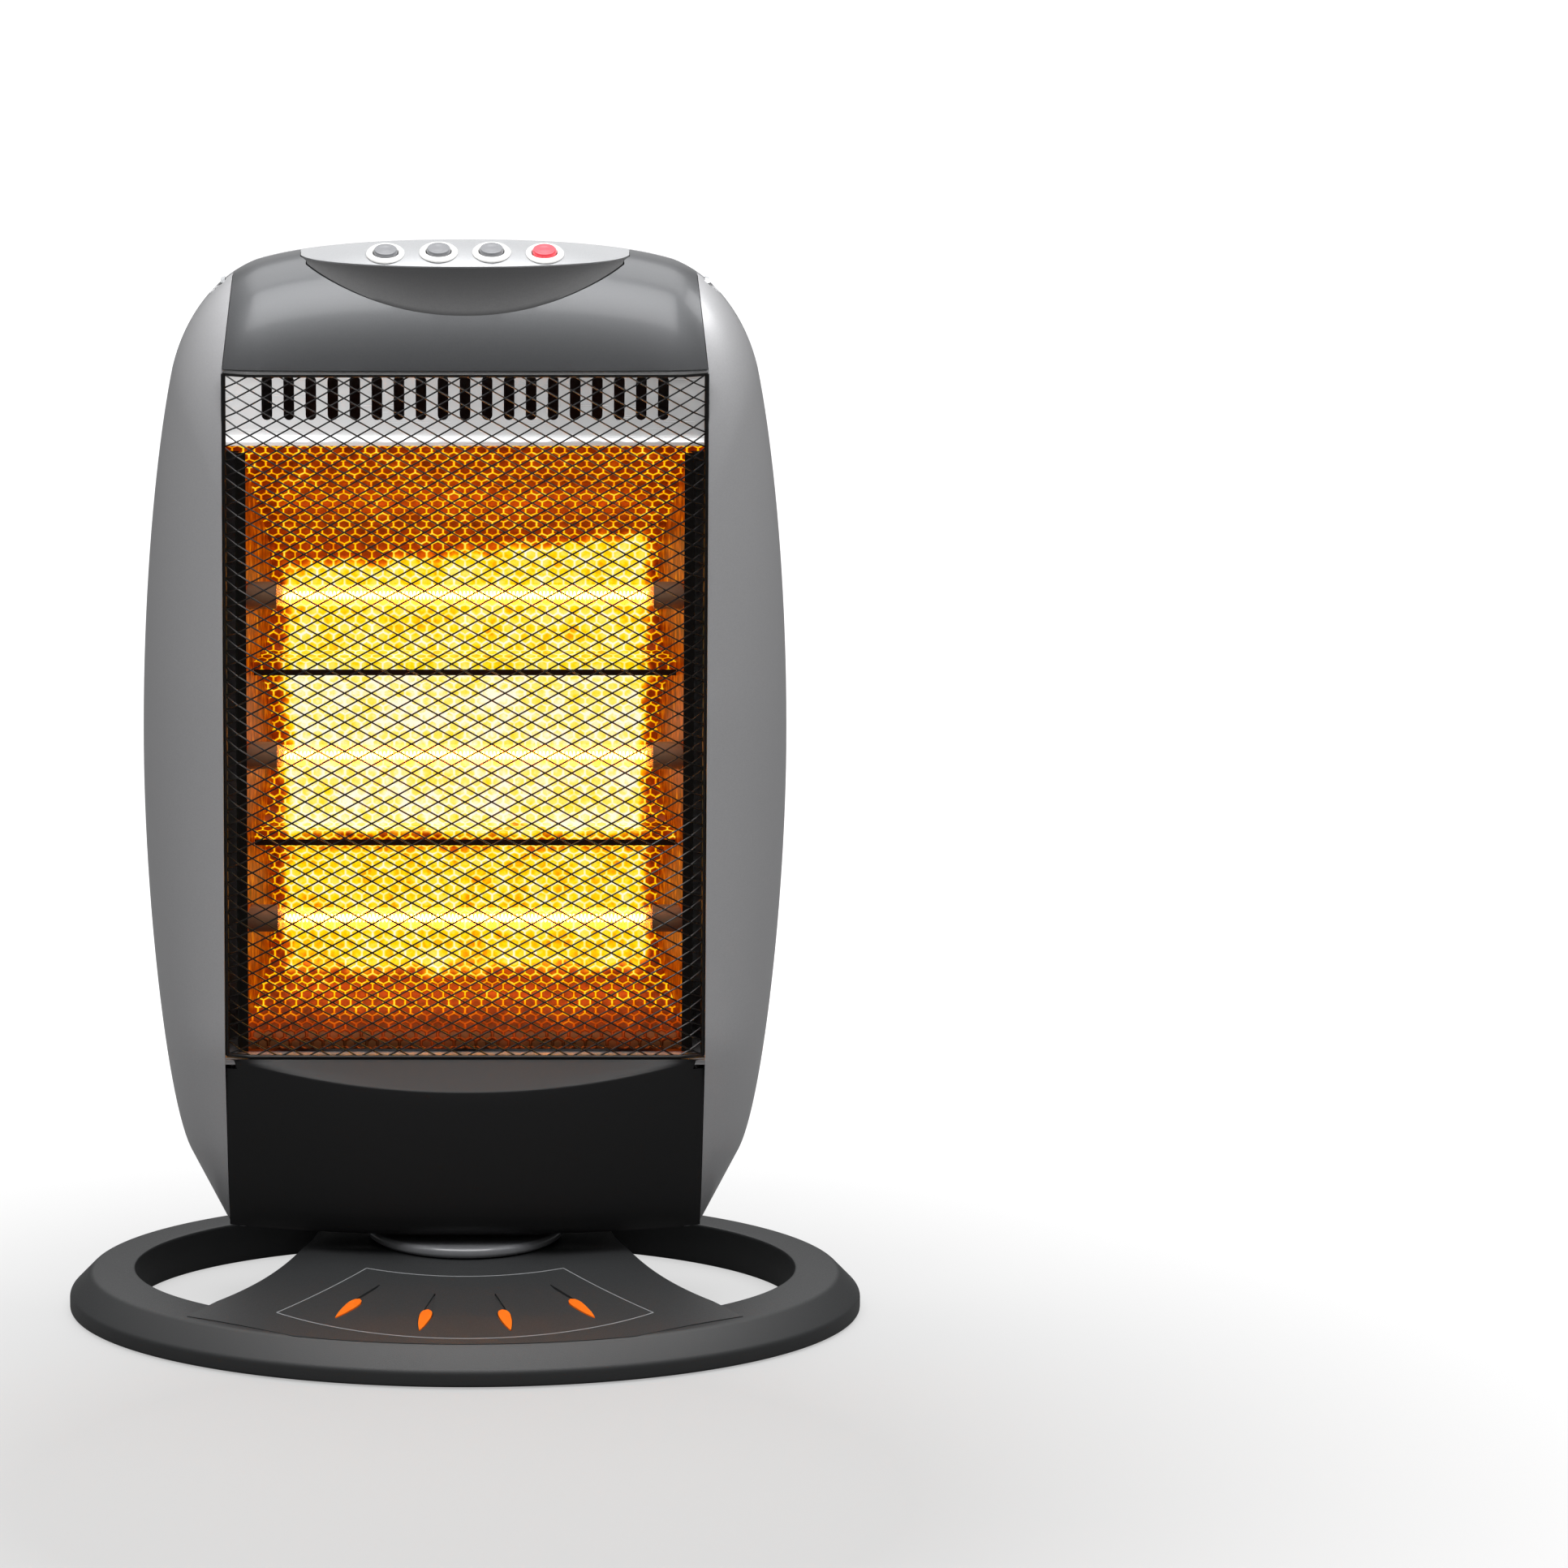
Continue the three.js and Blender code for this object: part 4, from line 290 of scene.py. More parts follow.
def rounded(points, radius, steps=4):
    """A closed outline with each of its corners rounded."""
    corners = []
    for i, point in enumerate(points):
        here = Vector(point)
        before, after = Vector(points[i - 1]), Vector(points[(i + 1) % len(points)])
        reach = min(radius, (before - here).length * 0.45, (after - here).length * 0.45)
        first = here + (before - here).normalized() * reach
        last = here + (after - here).normalized() * reach
        for t in (s / steps for s in range(steps + 1)):
            corners.append(first * (1 - t) ** 2 + here * 2 * t * (1 - t) + last * t * t)
    return [tuple(c) for c in corners]


def beside(points, distance, closed=False):
    """A flat line's points, each moved to the left of the line's way."""
    result = []
    end = len(points) - 1
    for i, (a, b) in enumerate(points):
        if closed:
            before, after = points[i - 1], points[(i + 1) % len(points)]
        else:
            before, after = points[max(0, i - 1)], points[min(end, i + 1)]
        along = (Vector(after) - Vector(before)).normalized()
        result.append((a - along[1] * distance, b + along[0] * distance))
    return result


def dress(body, material, carrier, nodes=(), angle=35):
    """Smooths a finished body, gives it its finish and says what it rides on."""
    mesh = body.data
    if not any(mesh.materials):
        mesh.materials.clear()
        mesh.materials.append(material)
    mesh.polygons.foreach_set("use_smooth", [True] * len(mesh.polygons))
    mesh.set_sharp_from_angle(angle=math.radians(angle))
    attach(body, carrier)
    if nodes:
        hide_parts(*nodes)


def repaint(node, material):
    """Gives a node that keeps its own mesh a new finish."""
    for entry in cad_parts[node].material_slots:
        entry.link = "OBJECT"
        entry.material = material


# ----------------------------------------------------------------------------
# Node trees
# ----------------------------------------------------------------------------

class Signal:
    """A node's output, reckoned with like a number."""

    def __init__(self, tree, socket):
        self.tree, self.socket = tree, socket

    def __add__(self, other):
        return reckon(self.tree, "ADD", self, other)

    def __sub__(self, other):
        return reckon(self.tree, "SUBTRACT", self, other)

    def __rsub__(self, other):
        return reckon(self.tree, "SUBTRACT", other, self)

    def __mul__(self, other):
        return reckon(self.tree, "MULTIPLY", self, other)

    def __truediv__(self, other):
        return reckon(self.tree, "DIVIDE", self, other)

    def __pow__(self, other):
        return reckon(self.tree, "POWER", self, other)

    def __abs__(self):
        return reckon(self.tree, "ABSOLUTE", self)

    def mapped(self, low, high, to_low=0.0, to_high=1.0, **settings):
        """Brought from one range to another, and held at its ends."""
        return signal(self.tree, "ShaderNodeMapRange", {
            "Value": self, "From Min": low, "From Max": high,
            "To Min": to_low, "To Max": to_high}, "Result", **settings)


def feed(tree, node, inputs):
    """Gives a node's inputs their values and links."""
    for key, value in inputs.items():
        if isinstance(value, Signal):
            tree.links.new(value.socket, node.inputs[key])
        else:
            node.inputs[key].default_value = value


def add(tree, kind, inputs=None, **settings):
    """A new node with its settings, values and links."""
    node = tree.nodes.new(kind)
    for key, value in settings.items():
        setattr(node, key, value)
    feed(tree, node, inputs or {})
    return node


def signal(tree, kind, inputs=None, output=0, **settings):
    """One output of a new node."""
    return Signal(tree, add(tree, kind, inputs, **settings).outputs[output])


def reckon(tree, operation, *values):
    return signal(tree, "ShaderNodeMath", dict(enumerate(values)), operation=operation)


def vector(tree, operation, *values, output=0):
    return signal(tree, "ShaderNodeVectorMath", dict(enumerate(values)), output,
                  operation=operation)


def own_place(tree):
    """Where a point of the piece is, on the piece's own coordinates."""
    return signal(tree, "ShaderNodeTexCoord", output="Object")


def axes_of(tree, place):
    """The three coordinates of a place."""
    node = add(tree, "ShaderNodeSeparateXYZ", {0: place})
    return [Signal(tree, socket) for socket in node.outputs]


def node_tree(name, **kinds):
    """A geometry node tree with named inputs of several kinds. Returns it, its inputs as
    signals, and the keys that a modifier knows them by."""
    tree = bpy.data.node_groups.new(name, "GeometryNodeTree")
    for way in ("INPUT", "OUTPUT"):
        tree.interface.new_socket(
            name="Geometry", in_out=way, socket_type="NodeSocketGeometry")
    keys = {
        word: tree.interface.new_socket(
            name=word, in_out="INPUT", socket_type="NodeSocket" + kind).identifier
        for kind, words in kinds.items() for word in words
    }
    source = add(tree, "NodeGroupInput")
    return tree, {word: Signal(tree, source.outputs[word]) for word in keys}, keys


def hand_out(tree, geometry, paint):
    """Makes the instances in a tree real, paints them and hands them out."""
    real = signal(tree, "GeometryNodeRealizeInstances", {"Geometry": geometry})
    painted = signal(tree, "GeometryNodeSetMaterial", {"Geometry": real, "Material": paint})
    feed(tree, add(tree, "NodeGroupOutput"), {0: painted})


def swept(tree, path, radius, sides):
    """A solid wire along a curve."""
    ring = signal(tree, "GeometryNodeCurvePrimitiveCircle", {
        "Resolution": sides, "Radius": radius})
    return signal(tree, "GeometryNodeCurveToMesh", {
        "Curve": path, "Profile Curve": ring, "Fill Caps": True})


def grown(name, made, values):
    """A plain mesh that a node tree makes from named values."""
    tree, keys = made
    body = placed(name, bpy.data.meshes.new(name))
    modifier = body.modifiers.new(name, "NODES")
    modifier.node_group = tree
    for key, value in values.items():
        modifier[keys[key]] = value
    return plain_mesh(body)


# ----------------------------------------------------------------------------
# Finishes
# ----------------------------------------------------------------------------

WHITE = (1.0, 1.0, 1.0, 1.0)
ROOT_3 = math.sqrt(3)


def finish(name, base, roughness, metallic=0.0, **constants):
    """A material whose shader has its constant values. Returns it, its tree and the shader."""
    material = bpy.data.materials.new(name)
    material.use_nodes = True
    tree = material.node_tree
    shader = next(n for n in tree.nodes if n.type == "BSDF_PRINCIPLED")
    feed(tree, shader, {"Base Color": base, "Roughness": roughness, "Metallic": metallic})
    feed(tree, shader, {key.replace("_", " "): value for key, value in constants.items()})
    return material, tree, shader


def shade(colour, factor):
    return tuple(min(1.0, c * factor) for c in colour[:3]) + (1.0,)


def noise(tree, place, scale, detail):
    return signal(tree, "ShaderNodeTexNoise", {
        "Vector": place, "Scale": scale, "Detail": detail}, "Fac")


def grain(tree, size, detail=2.0):
    """A fine noise whose grains are that many metres wide."""
    return noise(tree, own_place(tree), 1 / size, detail)


def streaks(tree, size, detail):
    """A noise whose grains are that many metres long along each axis."""
    stretched = signal(tree, "ShaderNodeMapping", {
        "Vector": own_place(tree), "Scale": tuple(1 / length for length in size)}, "Vector")
    return noise(tree, stretched, 1.0, detail)


def tint(tree, shader, factor, dark, light):
    """Base colour between two tones, by a pattern."""
    feed(tree, shader, {"Base Color": signal(
        tree, "ShaderNodeMix", {0: factor, 6: dark, 7: light}, 2, data_type="RGBA")})


def spread(tree, shader, factor, low, high):
    """Roughness between two values, by a pattern."""
    feed(tree, shader, {"Roughness": factor.mapped(0.3, 0.7, low, high)})


def emboss(tree, shader, height, depth, strength=1.0):
    feed(tree, shader, {"Normal": signal(tree, "ShaderNodeBump", {
        "Height": height, "Distance": depth, "Strength": strength}, "Normal")})


def surface(name, colour, roughness, metallic=0.0, grains=(mm(1), 2.0), tones=None,
            gloss=None, relief=None, **constants):
    """A finish with one fine noise in it. Grains are the noise's size and detail, tones the
    shares that it shades the colour to, gloss the roughness that it varies between, and
    relief the depth and strength of its bumps."""
    material, tree, shader = finish(name, colour, roughness, metallic, **constants)
    pattern = grain(tree, *grains)
    if tones:
        tint(tree, shader, pattern, *(shade(colour, tone) for tone in tones))
    if gloss:
        spread(tree, shader, pattern, *gloss)
    if relief:
        emboss(tree, shader, pattern, *relief)
    return material, tree, shader


def lacquer(name, colour, roughness, metallic):
    """Metallic lacquer, sprayed on moulded plastic: flakes give it a soft sheen and a faint
    sparkle, and the spray leaves a slight orange peel. The flakes are drawn 0.7 mm wide,
    coarser than real ones, so that they show at all."""
    material, tree, shader = surface(
        name, colour, roughness, metallic, (mm(0.7), 1.0), (0.93, 1.07),
        (roughness * 0.92, roughness * 1.1), Coat_Weight=0.25, Coat_Roughness=0.12)
    emboss(tree, shader, grain(tree, mm(4), 1.0), mm(0.03), 0.4)
    return material


def moulded(name, colour, roughness, grain_size, depth, metallic=0.0, **constants):
    """Moulded plastic with the fine erosion texture of its mould. It breaks the highlight up
    and keeps the surface from looking wet."""
    return surface(
        name, colour, roughness, metallic, (grain_size, 3.0), (0.9, 1.1),
        (roughness * 0.88, roughness * 1.12), (depth, 0.6), **constants)[0]


def enamelled_steel(name, colour):
    """Black stove enamel on steel: a thin glassy coat with slight runs."""
    return surface(name, colour, 0.38, 0.0, (mm(2.5), 2.0), (0.7, 1.3), (0.3, 0.46),
                   Specular_IOR_Level=0.5)[0]


def galvanised_steel():
    """Galvanised sheet steel: zinc crystals 6 mm across give it a mottled grey."""
    zinc = linear("#A9ABAD")
    material, tree, shader = finish("Galvanised_sheet_steel", zinc, 0.42, 1.0)
    crystals = signal(tree, "ShaderNodeTexVoronoi", {
        "Vector": own_place(tree), "Scale": 1 / mm(6)}, "Color")
    tone = signal(tree, "ShaderNodeSeparateColor", {"Color": crystals}, "Red")
    tint(tree, shader, tone, shade(zinc, 0.82), shade(zinc, 1.1))
    spread(tree, shader, tone, 0.34, 0.5)
    return material


def chrome_plate():
    """Chrome plated steel with light turning marks."""
    return surface("Chrome_plated_steel", linear("#D6D8DA"), 0.12, 1.0, (mm(0.8), 2.0),
                   gloss=(0.08, 0.2))[0]


def steatite():
    """Fired steatite, unglazed: chalky with darker specks. Its brown tone is partly browning by
    the lamps' heat and partly a painted tint that stands in for the lamps' amber light on it.
    """
    # Brown base colour: part heat browning, part painted amber lamp light.
    return surface("Fired_steatite_ceramic", linear("#7A5A40"), 0.75, 0.0, (mm(1.2), 3.0),
                   tones=(0.82, 1.0), relief=(mm(0.05), 0.5))[0]


def rubber(name, colour, grain_size=mm(0.5)):
    """Flexible PVC or rubber: dark, dull, with a faint bloom."""
    material, tree, shader = surface(
        name, colour, 0.55, 0.0, (grain_size * 6, 3.0), (0.85, 1.25), (0.48, 0.64))
    emboss(tree, shader, grain(tree, grain_size), mm(0.04), 0.4)
    return material


def lit(name, colour, roughness, metallic, strength, rest, **constants):
    """A lamp's finish that shines fully between the filament's ends and faintly beyond."""
    material, tree, shader = finish(name, colour, roughness, metallic, **constants)
    half = sizes().lit_length / 2
    across = axes_of(tree, own_place(tree))[0]
    feed(tree, shader, {
        "Emission Color": colours().glow[:],
        "Emission Strength": abs(across).mapped(half - mm(2), half + mm(3), strength, rest)})
    return material


def lit_quartz():
    """Clear quartz tube round a glowing filament: its wall is lit along the filament and
    dull at its ends, where only the filament's tails run."""
    return lit("Quartz_tube_lit", linear("#F6C98A"), 0.08, 0.0, 3.0, 0.1, Alpha=0.25)


def lit_tungsten():
    """Coiled tungsten filament at working heat."""
    return lit("Tungsten_filament_lit", linear("#5A4A40"), 0.5, 1.0, 40.0, 0.4)


def hexagons(tree, width):
    """Distance from the nearest hexagon's middle to its border, from 0 to 1, on the sheet's
    own unrolled map: two oblong lattices of middles, one between the other."""
    place = signal(tree, "ShaderNodeUVMap", output="UV", uv_map="sheet")
    step = (width, width * ROOT_3, 1.0)
    nearest = []
    for shift in (0.0, 0.5):
        moved = vector(tree, "ADD", place, (step[0] * shift, step[1] * shift, 0.5))
        inside = vector(tree, "FRACTION", vector(tree, "DIVIDE", moved, step))
        centred = vector(tree, "SUBTRACT", inside, (0.5, 0.5, 0.5))
        apart = vector(tree, "ABSOLUTE", vector(
            tree, "MULTIPLY", centred, (1.0, ROOT_3, 0.0)))
        slant = vector(tree, "DOT_PRODUCT", apart, (0.5, ROOT_3 / 2, 0.0), output="Value")
        nearest.append(reckon(tree, "MAXIMUM", axes_of(tree, apart)[0], slant))
    return reckon(tree, "MINIMUM", *nearest) * 2.0


def within(value, low, high, soft, upper=None):
    """One between two limits, falling softly to nothing beyond them."""
    rise = value.mapped(low - soft, low + soft)
    fall = (upper or value).mapped(high - soft, high + soft, 1.0, 0.0)
    return rise * fall


# Colours of the painted lamp glow, from dim to bright.
PAINTED_GLOW_STOPS = (
    (0.0, "#1A0500"), (0.25, "#8A2800"), (0.42, "#C24C00"), (0.56, "#F08C00"),
    (0.72, "#FFE008"), (0.86, "#FFF070"), (1.0, "#FFFBE0"),
)


def painted_lamp_glow(tree, shader, heat, strength):
    """Painted lamp light: a glow that stands in for the lamps' light that a surface gives back,
    from deep brown through orange and yellow to near white. Heat is the level on that ramp."""
    ramp = add(tree, "ShaderNodeValToRGB", {0: heat})
    marks = ramp.color_ramp.elements
    while len(marks) < len(PAINTED_GLOW_STOPS):
        marks.new(1.0)
    for mark, (place, code) in zip(marks, PAINTED_GLOW_STOPS):
        mark.position = place
        mark.color = linear(code)
    feed(tree, shader, {
        "Emission Color": Signal(tree, ramp.outputs["Color"]), "Emission Strength": strength})


BORDER = mm(0.9)
PAINTED_FLOOD_SOFT = mm(3)
PAINTED_FLOOD_SLOPE = 0.1


def embossed_aluminium():
    """Rolled aluminium, embossed with hexagons. Its dark brown colour and its glow are painted
    lamp light: painted glints on the raised borders draw thin yellow lines round brown cells,
    each bay carries a painted yellow reflection of its lamp, and painted shade darkens the
    sheet towards its foot. The borders are drawn 0.9 mm wide, coarser than real ones, so that
    they show at all."""
    # The dark brown base colour is a painted tint for the lamps' orange light.
    material, tree, shader = finish(
        "Embossed_aluminium_painted_lamp_light", linear("#3A2212"), 0.3, 1.0)
    width = sizes().cell
    border = hexagons(tree, width).mapped(
        1 - 2 * BORDER / width, 1.0, interpolation_type="SMOOTHSTEP")
    emboss(tree, shader, border, mm(0.35), 1.0)
    x, _, z = axes_of(tree, own_place(tree))
    ripple = (grain(tree, mm(14)) + -0.5) * mm(14)
    height = z + ripple
    sloping = height + x * -PAINTED_FLOOD_SLOPE
    # Painted reflection of each lamp: a yellow glow over its bay.
    bays = [
        within(height, low, high, PAINTED_FLOOD_SOFT, sloping if slopes else height) * share
        for low, high, share, slopes in PAINTED_FLOODS
    ]
    flood = (bays[0] + bays[1] + bays[2]) * within(
        x + ripple, -PAINTED_FLOOD_HALF, PAINTED_FLOOD_HALF, PAINTED_FLOOD_SOFT)
    # A faint painted glow over the whole sheet.
    rest = (grain(tree, mm(10)) + -0.1) * 0.5
    # Painted glints on the raised borders, outside the bays' painted glow.
    edge = border * 0.5 * (1.0 - flood)
    # Random unevenness of the painted glow.
    painted_glow_mottle = (grain(tree, mm(3)) + -0.5) * 0.35
    # Painted shade: the glow fades out towards the sheet's foot, where the bottom panel shades
    # it.
    foot = height.mapped(grille_bottom() + mm(3), grille_bottom() + mm(20))
    painted_lamp_glow(tree, shader, (flood + rest + (edge + painted_glow_mottle)) * foot, 1.0)
    return material


def mill_aluminium():
    """Back and cut edges of the reflector's sheet, as they leave the mill: grey and dull."""
    return surface("Mill_finish_aluminium", linear("#6E6F72"), 0.5, 0.9, (mm(5), 2.0),
                   gloss=(0.42, 0.58))[0]


def fold_painted_shade():
    """Fold of the reflector's sheet that faces away from the lamps: painted shade, dark brown."""
    material, tree, shader = finish("Aluminium_fold_painted_shade", linear("#1E0F06"), 0.5, 0.7)
    tint(tree, shader, grain(tree, mm(6)), linear("#140903"), linear("#2C1608"))
    return material


def steel_wall_painted_streaks():
    """Sheet steel wall beside the lamps. Its brown tone and its upright orange streaks are a
    painted reflection of the lamps' light."""
    material, tree, shader = finish("Sheet_steel_painted_lamp_streaks", linear("#4A2C18"), 0.35, 1.0)
    # Painted reflection: upright streaks of orange lamp light on the wall.
    light = streaks(tree, (mm(4), mm(2), mm(8)), 3.0)
    painted_lamp_glow(tree, shader, (light + -0.22) * 1.1, 0.7)
    return material


def polished_aluminium():
    """Polished aluminium sheet with faint rolling lines along its length. It carries a painted
    reflection: a pale white glow, stronger to the left, that stands in for a bright studio
    window mirrored in it."""
    material, tree, shader = finish(
        "Polished_aluminium_painted_sheen", linear("#F2F3F4"), 0.2, 0.55, Emission_Color=WHITE)
    spread(tree, shader, streaks(tree, (mm(60), mm(1.2), mm(1.2)), 2.0), 0.15, 0.28)
    across = axes_of(tree, own_place(tree))[0]
    # Painted reflection: white glow, stronger on the left.
    feed(tree, shader, {"Emission Strength": across.mapped(mm(-100), mm(100), 0.42, 0.12)})
    return material


def clear_orange():
    """Clear orange acrylic over a pale seat: deep, wet and slightly glowing at its edges."""
    return surface(
        "Clear_orange_acrylic", colours().orange[:], 0.12, 0.0, (mm(5), 1.0),
        tones=(0.86, 1.0), Coat_Weight=0.6, Coat_Roughness=0.05, Subsurface_Weight=0.25,
        Subsurface_Scale=mm(2), IOR=1.49)[0]


PAINTED_SHADE_MIDDLE = (0.0, -0.3, 0.0)


def table_with_painted_shade():
    """White table top. A glow that only the camera sees lifts it to near white, and it still
    takes a soft shadow; the glow is weaker near the heater, a painted shade round its foot.
    Only what is seen directly is lifted, so that it doesn't flood the heater with light."""
    material, tree, shader = surface(
        "Opal_table_top", linear("#707070"), 0.9, 0.0, (mm(30), 2.0), tones=(0.985, 1.0),
        Emission_Color=WHITE)
    far = vector(tree, "DISTANCE", own_place(tree), PAINTED_SHADE_MIDDLE, output="Value")
    seen = signal(tree, "ShaderNodeLightPath", output="Is Camera Ray")
    # Painted shade: the glow is weaker near the middle, under the heater.
    feed(tree, shader, {"Emission Strength": far.mapped(0.2, 0.85, 0.42, 1.0) * seen})
    return material


# ----------------------------------------------------------------------------
# The head's form: a pillow between a seam outline and two flat faces
# ----------------------------------------------------------------------------

SEAM_Y = mm(12)
FRONT_TOP_Y = mm(-32.3)
FRONT_DOME = mm(95)
REAR_DOME = mm(100)
FRONT_ROUND = 2.0
REAR_ROUND = 2.4
WAIST_Z = mm(275)
CROWN_DOWN = mm(9.3)
TOP_PANEL_DROP = mm(55.6)
BOTTOM_PANEL_HEIGHT = mm(90)
WINDOW_TOP_TAPER = mm(5)
WINDOW_BOTTOM_TAPER = mm(1.2)
WINDOW_TOP_END = mm(12)
TOUCH = mm(0.3)
FAR = mm(400)
FINE = 5


def room(name, x=(-FAR, FAR), y=(-FAR, FAR), z=(-FAR, 2 * FAR)):
    """A block that reaches past the whole heater wherever no limits are given."""
    return block(name, *zip(x, y, z))


def crossbar(name, start, end, y, z, radius, sides=32):
    """A round bar from left to right."""
    return bar(name, [(start, y, z), (end, y, z)], radius, sides)


def window_half():
    return sizes().head_half_width - sizes().cheek_width


def grille_bottom():
    return sizes().head_bottom + BOTTOM_PANEL_HEIGHT


def grille_top():
    return sizes().head_top - TOP_PANEL_DROP


def half_outline(stations, fine=FINE):
    """The right half of an outline (x, z), from the bottom to the top."""
    bottom, corner, root, flare, waist, shoulder, crown, top = stations

    def between(a, b, u, v):
        return (a[0] + (b[0] - a[0]) * u, a[1] + (b[1] - a[1]) * v)

    points = bezier([bottom, corner], 2 * fine)
    points += bezier([corner, ((corner[0] + root[0]) / 2 + mm(1), corner[1]), root], 2 * fine)
    points += bezier([root, flare], 2)
    points += bezier([
        flare, (flare[0] + (flare[0] - root[0]) * 0.62, flare[1] + (flare[1] - root[1]) * 0.66),
        (waist[0], waist[1] - (waist[1] - flare[1]) * 0.4), waist,
    ], 5 * fine)
    points += bezier([
        waist, (waist[0], waist[1] + (shoulder[1] - waist[1]) * 0.4),
        (shoulder[0] + (waist[0] - shoulder[0]) * 0.55,
         shoulder[1] - (shoulder[1] - waist[1]) * 0.22), shoulder,
    ], 4 * fine)
    points += bezier([
        shoulder, between(shoulder, crown, 0.12, 0.4),
        (crown[0] + (shoulder[0] - crown[0]) * 0.55,
         crown[1] - (crown[1] - shoulder[1]) * 0.17), crown,
    ], 5 * fine)
    points += bezier([
        crown, (crown[0] * 0.77, crown[1] + (top[1] - crown[1]) * 0.76),
        (crown[0] * 0.4, top[1]), top,
    ], 5 * fine)
    return points + [top]


def full_outline(stations):
    right = half_outline(stations)
    return right + [(-x, z) for x, z in reversed(right[1:-1])]


def seam_stations():
    s = sizes()
    half, low, high = s.head_half_width, s.head_bottom, s.head_top
    floor = low - s.shell_wall
    return [
        (0, floor), (half - mm(45.9), floor), (half - mm(37.9), low + mm(3.5)),
        (half - mm(20.9), low + mm(36.5)), (half, WAIST_Z),
        (half - mm(14.9), high - mm(60.6)), (half - mm(54.9), high - CROWN_DOWN), (0, high),
    ]


def face_stations(half, low, high, taper):
    return [
        (0, low), (half * 0.88, low), (half * 0.96 - taper, low + half * 0.05),
        (half - taper, low + half * 0.25), (half, WAIST_Z),
        (half - taper / 2, high - half * 0.27), (half * 0.87, high - half * 0.04), (0, high),
    ]


def front_depth(z):
    """Depth of the front face: it leans back at the foot and towards the crown."""
    s = sizes()
    lean = 0.2 * max(0, s.head_bottom + mm(98.5) - z)
    flat_top = WAIST_Z + mm(25)
    rise = min(1, max(0, (z - flat_top) / (s.head_top - FRONT_DOME - flat_top)))
    return s.front_y + lean + (FRONT_TOP_Y - s.front_y) * rise


def pillow(name, inset):
    """The whole head, drawn in by a distance."""
    s = sizes()
    seam, front, rear = (
        beside(full_outline(stations), inset, closed=True) for stations in (
            seam_stations(),
            face_stations(window_half() - mm(3.3), s.head_bottom + mm(16.5),
                          s.head_top - FRONT_DOME, mm(1)),
            face_stations(s.head_half_width - mm(35), s.head_bottom + mm(22.5),
                          s.head_top - REAR_DOME, mm(5)),
        )
    )
    steps = 5 * FINE

    def ring(target, depth_of, share, power):
        angle = share * math.pi / 2
        out = max(0.0, math.cos(angle)) ** (2 / power)
        forward = math.sin(angle) ** (2 / power)
        return [
            (q[0] + (p[0] - q[0]) * out, SEAM_Y + (depth_of(q[1]) - SEAM_Y) * forward,
             q[1] + (p[1] - q[1]) * out)
            for p, q in zip(seam, target)
        ]

    rings = [
        ring(rear, lambda z: s.rear_y - inset, i / steps, REAR_ROUND)
        for i in range(steps, 0, -1)
    ]
    rings.append([(x, SEAM_Y, z) for x, z in seam])
    rings += [
        ring(front, lambda z: front_depth(z) + inset, i / steps, FRONT_ROUND)
        for i in range(1, steps + 1)
    ]
    return loft(name, rings, laddered=True)


def crown_fall(x):
    """How far the seam outline has fallen below its top at a distance from the middle."""
    points = list(reversed(half_outline(seam_stations())))
    for a, b in zip(points, points[1:]):
        if b[0] >= abs(x):
            share = (abs(x) - a[0]) / (b[0] - a[0])
            return sizes().head_top - (a[1] + (b[1] - a[1]) * share)
    return 0.0


def dome_height(x, y):
    """Height of the dome over a place in front of the seam."""
    reach = min(1, max(0, (SEAM_Y - y) / (SEAM_Y - FRONT_TOP_Y)))
    drop = (1 - reach ** FRONT_ROUND) ** (1 / FRONT_ROUND)
    return sizes().head_top - FRONT_DOME + (FRONT_DOME - crown_fall(x)) * drop


def window_outline(grow, low, high):
    """The outline of the front opening (x, z)."""
    half = window_half() + grow
    right = [
        (half - WINDOW_BOTTOM_TAPER, low), (half, grille_bottom()), (half, grille_top()),
        (half - WINDOW_TOP_TAPER, sizes().head_top - WINDOW_TOP_END),
        (half - WINDOW_TOP_TAPER, high),
    ]
    return right + [(-x, z) for x, z in reversed(right)]


def shell_walls(name):
    """The head's outer wall and floor, closed all round."""
    s = sizes()
    inner = shared(pillow(name + "_inner", s.shell_wall),
                   room("above_floor", z=(s.head_bottom + s.shell_wall, 2 * FAR)))
    return cut(pillow(name, 0), inner, room("below_floor", z=(-FAR, s.head_bottom)))


SEAM_SCREW_DOWN = mm(20.6)
SEAM_HOLE_RADIUS = mm(4.6)
SEAM_HOLE_FLOOR = mm(3.7)
SEAM_HOLE_WALL = mm(2.2)
SEAM_BAND = mm(2.6)
LEDGES = ((grille_top, 0.0, mm(-29)), (grille_bottom, mm(-0.5), mm(-32.9)))
LEDGE_THICKNESS = mm(2.3)


def seam_holes(body):
    """The deep round holes that the seam screws sit in, at the two upper corners."""
    z = sizes().head_top - SEAM_SCREW_DOWN
    floor = window_half() - WINDOW_TOP_TAPER + SEAM_HOLE_FLOOR
    for side in (-1, 1):
        lining = crossbar("lining", side * (floor - mm(2)), side * mm(140), SEAM_Y, z,
                          SEAM_HOLE_RADIUS + SEAM_HOLE_WALL)
        body = fused(body, shared(lining, pillow("limit", mm(0.1))))
        body = cut(body, crossbar(
            "hole", side * floor, side * mm(170), SEAM_Y, z, SEAM_HOLE_RADIUS))
    return body


